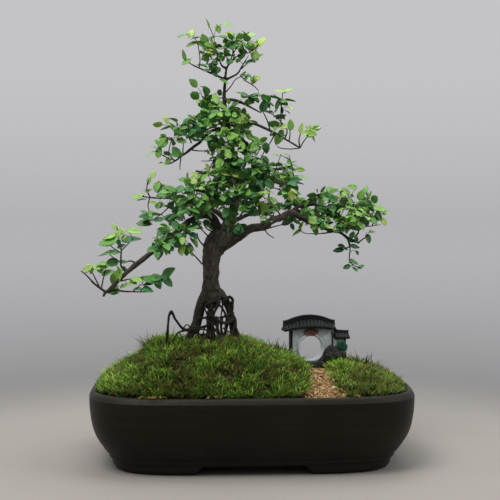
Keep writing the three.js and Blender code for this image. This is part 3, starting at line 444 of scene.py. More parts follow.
LIMBS = {
    'trunk': [(-50, 2, 195.3, 11.5), (-50, 2, 208.1, 11.3), (-49.4, 0, 221.1, 10.3), (-50, -2, 236.6, 9.7), (-50, -3, 246.8, 10.2), (-48.7, -2, 258.3, 12.3), (-44.8, 0, 268.5, 13.6), (-39.7, 1, 277.4, 12.5)],
    'leader': [(-44.8, 0, 267.2, 12.5), (-37.1, 4, 279.9, 11), (-30.5, 8, 288.8, 9.6), (-22.6, 14, 308.1, 6.5), (-17.3, 18, 326.3, 5.7), (-14, 19, 343.1, 5.1), (-14.8, 16, 359.8, 4.7), (-18.8, 10, 376.3, 4.1), (-22.8, 6, 390.1, 3.8), (-26.1, 4, 405.3, 3.4), (-28, 4, 419.4, 3.2), (-30.5, 6, 436.1, 2.9), (-32.3, 9, 450.5, 2.6), (-32.9, 10, 462.1, 2.3), (-31.7, 9, 474.7, 2), (-31.1, 7, 483.4, 1.8), (-29.8, 5, 492.1, 1.5), (-27.9, 4, 498.3, 1.2)],
    'right': [(-41, -2, 267.2, 10.5), (-27, -5, 275, 8.2), (-13.2, -9, 282, 7), (-0.6, -13, 289.1, 5.5), (14.5, -15, 292.3, 5.1), (27.3, -14, 299.2, 4.8), (39, -10, 303, 4.5), (52.3, -4, 309.4, 4.1), (64.4, 2, 304.9, 3.7), (80.5, 8, 296.5, 3.3), (94, 12, 291.3, 3), (106, 15, 286.7, 2.6), (118.1, 17, 284.1, 2.3), (128.7, 18, 276.9, 1.9), (136.7, 19, 273, 1.7), (143.4, 20, 270.3, 1.4)],
    'lowleft': [(-40.9, 3, 285.1, 6.6), (-48.7, -4, 304.3, 5.6), (-64, -14, 305.6, 4.2), (-76.5, -23, 299.3, 3.9), (-88.9, -32, 289.4, 3.7), (-103.6, -42, 276.5, 3.4), (-119.3, -52, 263.8, 3.2), (-131.3, -59, 254.3, 3.2), (-140.7, -64, 247.2, 3.5), (-150.1, -69, 239.5, 2.7), (-160.7, -74, 229.5, 2.4), (-170, -79, 220.2, 2.2), (-177.4, -83, 213.3, 1.9), (-179.7, -84, 209.7, 1.7)],
    'leftmid': [(-27.4, 4, 419.4, 3.2), (-39.6, -2, 416.3, 2.6), (-51.2, -9, 411.9, 2.3), (-63.8, -17, 398.7, 2.2), (-76.4, -24, 388.2, 1.9), (-86.3, -29, 380.4, 1.6), (-95, -33, 374, 1.3)],
    'rightmid': [(-29.2, 6, 432.3, 3), (-12.7, 2, 428.2, 2.4), (-0.1, -3, 425.3, 2.2), (12.3, -9, 419.7, 2.1), (24.7, -14, 413.7, 1.9), (37, -19, 406.4, 1.7), (49.2, -24, 398.6, 1.4), (61.5, -28, 390.9, 1.2)],
    'backlow': [(-17.3, 18, 326.3, 4.6), (-11.6, 32, 339.5, 4), (-16.2, 50, 347.9, 3.6), (-26.4, 66, 353.7, 3.1), (-39.5, 80, 359.5, 2.6), (-55.6, 92, 364, 2.1), (-69.2, 102, 367.1, 1.5)],
    'backright': [(-14.7, 19, 347, 3.8), (-1, 34, 357.9, 3.2), (15.6, 50, 363.8, 2.8), (32.5, 64, 367.1, 2.3), (49.5, 76, 370.3, 1.8), (62.6, 86, 374.8, 1.3)],
    'frontright': [(-16, 17, 357.3, 3.5), (-3.7, 4, 360.7, 3.1), (8.3, -12, 356.3, 2.7), (18.8, -28, 350.7, 2.3), (30.2, -44, 347.7, 1.9), (42.6, -60, 344.8, 1.3)],
    'frontleft': [(-20, 15, 315.9, 4), (-30.7, 0, 326, 3.4), (-46.3, -16, 333.3, 3), (-61.5, -32, 336.7, 2.6), (-76.3, -46, 337.6, 2.2), (-90.8, -58, 337.3, 1.7), (-102.8, -66, 335.9, 1.3)],
    'leftpad': [(-26.6, 10, 297.8, 4.6), (-43.2, 18, 310.7, 4), (-60, 24, 319.8, 2.5), (-76.9, 29, 325.1, 2.2), (-95.2, 33, 327.7, 1.8), (-113.5, 36, 329.1, 1.4), (-129.2, 38, 330.4, 1)],
    'backmid': [(-24.1, 6, 395.3, 3.4), (-17.1, 22, 406.6, 2.8), (-11.3, 38, 415.6, 2.4), (-10.8, 52, 423.3, 2), (-15.7, 64, 430.9, 1.4)],
    'uppleft': [(-26.7, 4, 410.4, 2.9), (-38.1, 12, 426.4, 2.4), (-48.3, 18, 439.7, 2), (-56, 22, 450.4, 1.6), (-59.8, 24, 457, 1.2)],
    'uppright': [(-32.3, 9, 454.3, 2.6), (-20.2, 6, 454, 2.1), (-8.9, 2, 449.8, 1.8), (2.4, -3, 443, 1.5), (12.4, -7, 437.6, 1.1)],
    'rightback': [(52.3, -4, 309.4, 3), (62.9, 14, 317.2, 2.6), (75.1, 32, 320, 2.2), (90, 48, 320.1, 1.8), (106.3, 62, 317.6, 1.3)],
    'lowback': [(-30.5, 8, 288.8, 4.2), (-22.3, 26, 297.7, 3.6), (-11.1, 44, 302.9, 3.1), (2.8, 60, 308.2, 2.6), (17.1, 76, 310.9, 2.1), (28.8, 90, 312.3, 1.5)],
    'apexleft': [(-31, 8, 479.7, 1.9), (-40.7, 6, 484.5, 1.5), (-56, 2, 490.2, 1.3), (-72.5, -3, 497.1, 1.1), (-81.4, -6, 501.6, 0.9)],
    'apextop': [(-29.2, 5, 494.6, 1.7), (-35.6, 3, 496.9, 1.4), (-39.5, 2, 504.3, 1.2), (-42, 3, 512, 1), (-44.5, 5, 522.5, 0.9), (-45.7, 6, 535.3, 0.8), (-41.9, 7, 545.7, 0.7), (-36.1, 8, 551, 0.6)],
    'apexright': [(-27.9, 4, 498.3, 1.6), (-24.8, 3, 502, 1.4), (-17.9, 0, 508, 1.2), (-9, -3, 511.4, 1), (-0.2, -5, 513.1, 0.8)],
    'apexmid': [(-31, 8, 479.7, 1.7), (-16.4, 4, 486.9, 1.4), (-11.4, 1, 494.2, 1.2), (-6.5, -2, 502.7, 1), (-1.5, -4, 510, 0.8)],
    'll_tip': [(-176.9, -82, 214.4, 1.9), (-187.3, -86, 221.9, 1.5), (-194.2, -88, 228, 1.2)],
    'll_right': [(-171.1, -80, 219.1, 1.8), (-159.3, -78, 215.3, 1.4), (-144.9, -77, 214.5, 1.2), (-129.3, -76, 213.8, 0.9)],
    'll_up': [(-152.5, -70, 237.8, 1.9), (-159.9, -68, 245, 1.5), (-159.9, -66, 264.3, 1.2), (-163, -65, 281.3, 1), (-164.7, -65, 292.2, 0.8)],
    'r_down': [(127.4, 18, 278.2, 1.6), (131.2, 17, 265.2, 1.3), (130.3, 15, 253.5, 1), (129.5, 14, 243.2, 0.8)],
    'r_up': [(138, 19, 272.9, 1.4), (142.4, 22, 284.6, 1.2), (149.2, 24, 290.5, 1), (161.4, 26, 292.4, 0.9), (173.6, 28, 294.4, 0.7)],
    'r_twig': [(112.6, 15, 285.4, 1.5), (91, 9, 282.9, 1.2), (73.7, 4, 283, 1), (63, 0, 287.6, 0.8)],
    'legL': [(-53.9, 0, 208.3, 7.4), (-59.6, -2, 200.7, 5.8), (-64.1, -4, 193.2, 4.9), (-67.3, -6, 183.2, 4.6), (-69.9, -7, 173.1, 4.6), (-73.1, -8, 162.9, 4.8), (-76.9, -9, 152.9, 5.5), (-80.7, -10, 140.2, 6.6)],
    'legR': [(-46.1, 2, 210.7, 7.2), (-37.2, 2, 205.5, 5.6), (-30.8, 1, 197.8, 4.6), (-26.3, 0, 187.6, 4.1), (-23.1, 0, 176, 4), (-20.6, 0, 164.4, 4), (-18, -1, 153, 4.4), (-14.9, -2, 138.9, 5.3)],
    'rootM1': [(-47.5, -3, 202.1, 4.2), (-49.5, -6, 190.8, 3.4), (-52.7, -8, 180.7, 2.8), (-54, -9, 170.6, 2.6), (-53.4, -10, 158, 2.6), (-54, -11, 140.2, 3.5)],
    'rootM2': [(-39.9, -6, 202.2, 3.5), (-41.9, -11, 191.2, 2.8), (-45.8, -14, 182.5, 2.4), (-48.3, -15, 171.2, 2.2), (-46.4, -16, 157.3, 2.3), (-45.2, -17, 139.6, 3)],
    'rootM3': [(-35.8, 6, 202.6, 3.9), (-35.1, 9, 189.5, 2.9), (-37, 10, 176.5, 2.4), (-40.3, 10, 162.2, 2.2), (-39.6, 9, 149.4, 2.4), (-37.1, 8, 136.5, 3.2)],
    'rootRed': [(-27.1, -7, 201, 2.4), (-34.9, -12, 197.6, 2.1), (-42.6, -16, 192.8, 1.9), (-47.7, -18, 186.7, 1.7), (-51.5, -19, 177.9, 1.7), (-54.1, -20, 161.6, 1.7), (-57.9, -21, 140.1, 2.3)],
    'rootKn': [(-32.1, -2, 199.4, 3.4), (-26.4, -4, 202.1, 2.9), (-22.6, -5, 198.3, 2.5), (-22.6, -4, 190.5, 2.4), (-27, -2, 181.4, 2.4), (-30.8, -1, 169.7, 2.2), (-32.1, -1, 154.3, 2.3), (-29.6, -2, 137.7, 2.9)],
    'rootLoop1': [(-43.7, -8, 197.3, 1.9), (-52.7, -12, 195.7, 1.6), (-58.4, -14, 191.5, 1.4), (-56.5, -14, 183.8, 1.4), (-53.4, -13, 173.6, 1.4), (-59.1, -14, 161, 1.4), (-62.9, -15, 140.7, 1.7)],
    'rootLoop2': [(-73.1, -9, 163.1, 2.2), (-81.9, -16, 161.9, 1.9), (-88.1, -21, 165.6, 1.8), (-95.6, -25, 176.2, 1.7), (-99.9, -27, 186.4, 1.7), (-103, -28, 180.2, 1.7), (-104.3, -28, 167.7, 1.8), (-105.6, -28, 147.6, 2.2)],
    'rootThin': [(-74.3, -13, 159.7, 1.4), (-84.4, -19, 160.3, 1.3), (-91.9, -23, 158.3, 1.3), (-98.1, -26, 148.5, 1.4)],
    'rootCross1': [(-66.7, -9, 173.2, 1.4), (-59.1, -12, 176, 1.3), (-51.5, -13, 178, 1.3), (-42.6, -12, 176.6, 1.3), (-33.5, -7, 177.4, 1.4), (-24.5, -3, 180.2, 1.6)],
    'rootBackL': [(-56.4, 8, 201.3, 4.2), (-60.2, 14, 187.9, 3.2), (-62.8, 18, 173.2, 2.7), (-66.7, 21, 157.3, 2.6), (-70.7, 24, 136.1, 3.3)],
    'rootBackR': [(-37, 9, 201.1, 3.7), (-30.4, 16, 187.6, 2.9), (-26.4, 20, 172.9, 2.4), (-23.7, 23, 155.6, 2.4), (-19.7, 26, 135.6, 3)],
    'rootBackM': [(-47.3, 10, 199.8, 4.2), (-48.5, 18, 183.6, 3), (-51.1, 23, 167.5, 2.5), (-48.5, 26, 151.5, 2.4), (-47.1, 29, 134.1, 3.1)],
}
# leaf lobes of each foliage mass: centre, half sizes, density, tone shift
LOBES = {
    'leaves_apex': [(-30.5, 4, 514.8, 12.7, 12, 8.9, 0.8, 0), (-17.8, 2, 508.3, 11.4, 12, 6.3, 0.6, -0.05), (-3.9, -2, 523, 11.4, 12, 8.9, 0.6, 0.15), (-56, 2, 521.9, 8.9, 10, 6.3, 0.7, 0.05), (-35.6, 5, 528.9, 10.2, 10, 6.3, 0.6, 0.15), (-43.2, 8, 478.4, 6.3, 9, 5.1, 0.7, -0.1), (-54.7, 2, 514.3, 8.9, 12, 10.2, 1, -0.05), (-48.4, 4, 502, 10.2, 13, 11.4, 1, -0.15), (-45.8, 6, 523.9, 8.9, 12, 6.3, 1, 0.15), (-27.9, 4, 525, 10.2, 13, 7.6, 1, 0.15), (-12.7, 0, 529.5, 11.4, 13, 10.2, 0.9, 0.18), (2.4, -3, 529.2, 11.4, 12, 8.9, 0.8, 0.22), (-8.9, 0, 516.9, 12.7, 13, 7.6, 0.8, 0.05), (8.7, -4, 513.9, 5.1, 9, 6.3, 0.7, 0.1), (-56, 6, 466.6, 5.1, 9, 6.3, 0.9, 0.15), (-3.8, 1, 486.6, 5.1, 8, 5.1, 0.5, -0.1)],
    'leaves_apex_left': [(-70, -4, 528.5, 7.6, 11, 6.3, 0.7, 0.1), (-76.3, -4, 536, 5.1, 8, 5.1, 0.7, 0.2)],
    'leaves_upper': [(-40.7, 8, 449, 10.2, 16, 7.6, 1, 0), (-30.8, -6, 437.5, 16.5, 20, 10.2, 1, 0.22), (-48.4, 4, 433.3, 11.4, 18, 10.2, 1, -0.08), (-18.1, -6, 426.2, 14, 20, 10.2, 1, 0.18), (-10.7, 20, 418.1, 12.7, 20, 8.9, 1, -0.02), (-31.9, 0, 417.8, 14, 20, 8.9, 1, 0.05), (-67.5, 8, 470.6, 6.3, 9, 7.6, 0.9, 0.15), (-62.4, 8, 461.7, 6.3, 9, 6.3, 0.8, 0), (-56.1, 6, 455.1, 8.9, 10, 7.6, 0.9, -0.1), (-45.9, 4, 457.5, 7.6, 10, 7.6, 0.8, -0.1), (-11.3, 6, 449, 11.4, 12, 7.6, 0.45, 0.12), (-23.4, -14, 402.8, 14, 20, 10.2, 1.1, 0), (-36, -12, 406.7, 10.2, 16, 7.6, 1, 0.15), (-11.5, 0, 405.1, 10.2, 18, 8.9, 1, -0.15), (-27.3, -16, 388.8, 14, 18, 8.9, 1.2, 0.16), (-41, -8, 386.7, 7.6, 10, 5.1, 0.8, 0.3), (-5.5, -8, 385.6, 10.2, 14, 6.3, 0.9, 0.05), (-18, 62, 436, 15, 12, 9, 0.8, 0.05), (-30, 44, 440, 12, 12, 9, 0.8, -0.05), (-8, 76, 430, 11, 9, 7, 0.8, 0.15)],
    'leaves_upper_right': [(7, -12, 391.7, 8.9, 10, 7.6, 0.7, 0.05), (-0.3, -6, 456.7, 6.3, 8, 7.6, 0.8, -0.2), (36.9, -20, 435.3, 8.9, 9, 8.9, 0.7, -0.2), (14.9, -8, 455.3, 7.6, 9, 8.9, 0.8, -0.25), (26.9, -18, 436.7, 7.6, 9, 7.6, 0.7, -0.2), (7.5, -4, 462, 7.6, 12, 7.6, 0.8, -0.05), (42, -20, 419, 11.4, 14, 7.6, 0.8, 0.2), (70.1, -30, 414.5, 11.4, 12, 5.1, 1, 0.25), (34.7, -16, 413, 6.3, 9, 5.1, 0.8, 0.1), (9.5, -14, 400.4, 7.6, 10, 7.6, 0.6, 0.15), (38.3, -18, 445.5, 8.9, 12, 10.2, 0.7, -0.15), (19.7, -13, 445.9, 8.9, 10, 5.1, 0.7, -0.15)],
    'leaves_left_mid': [(-88.8, -26, 415.5, 14, 16, 8.9, 1, 0.05), (-71.3, -20, 419.8, 11.4, 16, 8.9, 1, 0.05), (-58.8, -14, 424.1, 10.2, 16, 8.9, 1, 0.08), (-80.1, -26, 405.5, 15.2, 16, 6.3, 0.6, -0.05), (-56.2, -14, 412.8, 7.6, 14, 6.3, 1, 0.1), (-106, -36, 401, 7.6, 11, 5.1, 0.9, 0.18), (-113.4, -38, 391, 6.3, 9, 5.1, 0.8, 0.15), (-97.4, -32, 408.8, 8.9, 12, 6.3, 0.7, 0.08), (-48.6, -10, 400.5, 10.2, 12, 3.8, 1, -0.12), (-67.6, -12, 430.5, 7.6, 10, 5.1, 0.7, 0.2), (-96, -36, 376, 10, 10, 6, 0.6, 0.1)],
    'leaves_crown_back': [(-34.1, 80, 367.6, 15.2, 22, 11.4, 0.7, -0.08), (-10.1, 70, 364.6, 15.2, 22, 11.4, 0.7, -0.08), (19.7, 74, 364.8, 15.2, 22, 11.4, 0.7, -0.08), (44.4, 80, 359.6, 11.4, 20, 10.2, 0.7, -0.08), (-53, 84, 346.1, 12.7, 20, 10.2, 0.7, -0.05), (-70, 96, 366, 14, 12, 8, 0.8, 0.1), (60, 84, 374, 14, 12, 8, 0.8, 0.1)],
    'leaves_crown_front': [(-36.1, -14, 373.8, 12.7, 16, 7.6, 1, 0.02), (-13.6, -20, 369.8, 17.8, 22, 10.2, 1, -0.08), (14, -24, 369.6, 17.8, 22, 10.2, 1, -0.08), (-1.4, -30, 356.8, 17.8, 22, 10.2, 1, 0), (20.8, -36, 352.9, 15.2, 20, 10.2, 1, 0.02), (43, -40, 350.3, 11.4, 18, 10.2, 1, -0.02), (-31.1, -18, 353.5, 12.7, 20, 10.2, 1, 0), (-52.6, -20, 353.4, 10.2, 16, 7.6, 0.9, 0.15), (-13.6, -20, 343.4, 15.2, 20, 7.6, 0.5, 0), (-45.2, -26, 336.9, 15.2, 20, 11.4, 1, 0), (-23.9, -28, 330.6, 15.2, 20, 10.2, 0.9, -0.12), (4.3, -40, 337.9, 15.2, 20, 11.4, 1, -0.1), (19.8, -52, 330.2, 11.4, 14, 7.6, 1, 0.2), (41.4, -44, 335.3, 11.4, 18, 10.2, 1, 0.02), (-1.6, -34, 321.8, 15.2, 18, 7.6, 0.9, -0.1), (-28.8, -24, 316.9, 12.7, 16, 7.6, 0.6, -0.05), (-18.8, -26, 295.5, 10.2, 12, 5.1, 1, -0.1), (15.9, -34, 305.6, 6.3, 10, 8.9, 0.9, 0.1)],
    'leaves_crown_left': [(-63.9, -34, 337.9, 14, 20, 10.2, 1, 0.06), (-75.1, -42, 326.6, 12.7, 18, 10.2, 1, 0.02), (-57.7, -34, 324.2, 12.7, 18, 8.9, 1, -0.02), (-76.3, -44, 314.2, 15.2, 18, 7.6, 1, -0.05), (-76.3, -40, 347.7, 7.6, 11, 5.1, 0.7, 0.2), (-91.1, -48, 330.2, 10.2, 14, 5.1, 0.9, -0.1), (-82.4, -56, 282.3, 14, 14, 8.9, 1.2, -0.05), (-71.4, -44, 289.5, 10.2, 14, 6.3, 1, -0.1), (-73.9, -48, 269.8, 7.6, 10, 6.3, 1, 0), (-98.2, -62, 286.1, 11.4, 13, 10.2, 1.2, -0.1), (-106.5, -70, 272.9, 11.4, 12, 8.9, 1.4, -0.02), (-112.5, -72, 268.1, 7.6, 9, 5.1, 1.2, 0), (-86.1, -58, 272.5, 7.6, 10, 5.1, 0.9, 0.08)],
    'leaves_pad_left': [(-102.9, 30, 319.9, 8.9, 14, 5.1, 0.8, 0.12), (-116.1, 34, 318.6, 8.9, 15, 5.1, 0.8, 0.05), (-91, 14, 306.8, 10.2, 16, 7.6, 0.9, -0.12), (-109.1, 18, 301.7, 8.9, 15, 5.1, 0.8, -0.08), (-131.4, 26, 303, 10.2, 14, 6.3, 1, -0.08), (-121, 26, 309.4, 7.6, 12, 3.8, 0.6, 0), (-56.3, -6, 295.4, 10.2, 14, 6.3, 0.6, -0.1), (-94.9, 20, 317.2, 10.2, 16, 6.3, 0.8, -0.02), (-92.6, 34, 339.5, 6.3, 9, 3.8, 0.6, 0.1), (-105.3, 22, 331.4, 10.2, 10, 5.1, 0.7, -0.1)],
    'leaves_pad_right': [(134.1, 20, 310.8, 15.2, 18, 10.2, 0.8, 0.15), (116, 22, 309.5, 11.4, 16, 8.9, 0.8, -0.05), (98.3, 16, 304.2, 12.7, 16, 8.9, 0.8, -0.12), (151.9, 16, 300.3, 10.2, 14, 7.6, 0.7, 0.1), (88.7, 24, 319.9, 11.4, 16, 7.6, 0.8, 0), (123.6, 10, 292.6, 12.7, 12, 5.1, 0.8, -0.05), (131.7, 22, 330.3, 11.4, 12, 6.3, 0.5, 0.2), (85.6, 20, 331.6, 10.2, 18, 5.1, 0.9, 0.05), (100.7, 26, 331.7, 10.2, 18, 5.1, 0.9, 0), (108.3, 34, 320, 12.7, 20, 7.6, 0.9, 0.02), (93.3, 30, 309.5, 10.2, 20, 6.3, 0.6, -0.1), (90.7, 6, 296.5, 14, 18, 8.9, 1.1, -0.15), (105.7, 12, 292.6, 11.4, 16, 6.3, 1, -0.12), (124.6, 28, 335.7, 8.9, 14, 6.3, 0.7, 0.25), (138.8, 26, 340.9, 10.2, 14, 3.8, 0.3, 0.25), (153, 24, 331.7, 5.1, 10, 8.9, 0.3, 0.25), (126.3, 30, 320, 10.2, 18, 6.3, 0.8, 0.1), (138.6, 24, 318.6, 8.9, 16, 6.3, 0.8, 0.12), (154.1, 22, 317.3, 8.9, 15, 6.3, 0.9, -0.02), (132.5, 8, 300.4, 12.7, 15, 10.2, 1.1, 0.26), (117.9, 6, 297.8, 10.2, 13, 5.1, 1, 0.26), (142.4, 14, 310.7, 8.9, 14, 6.3, 0.9, 0.2), (169.2, 26, 316, 10.2, 13, 5.1, 0.8, 0.22), (177.5, 28, 306.9, 7.6, 12, 6.3, 0.8, 0.25), (162.7, 26, 306.9, 8.9, 14, 6.3, 0.8, 0.05), (156.5, 20, 280.7, 5.1, 8, 5.1, 0.2, -0.05)],
    'leaves_low_back': [(82.8, 30, 322.6, 10.2, 14, 7.6, 0.8, -0.02), (66.4, 10, 308.1, 10.2, 12, 6.3, 0.8, -0.08), (59.9, 24, 326.4, 10.2, 18, 8.9, 1, -0.05), (73.3, 14, 314.6, 10.2, 16, 10.2, 1, 0.05), (35.5, 30, 316, 10.2, 20, 8.9, 0.9, -0.1), (51.4, 0, 299.1, 7.6, 11, 5.1, 0.8, -0.05), (72, 0, 299.1, 6.3, 9, 3.8, 0.7, 0.1), (63, 30, 346.1, 8.9, 15, 7.6, 0.9, -0.08), (19.5, 70, 314.9, 15.2, 22, 8.9, 0.7, -0.15), (-6, 40, 308.2, 12.7, 18, 5.1, 0.5, -0.1)],
    'leaves_right_hanging': [(134.6, 13, 245.8, 7.6, 6, 5.1, 0.12, 0)],
    'leaves_low_left': [(-170.2, -74, 254.9, 15.2, 12, 17.8, 0.05, 0)],
    'leaves_low_right': [(-127.1, -72, 225.7, 17.8, 12, 7.6, 0.1, 0)],
}
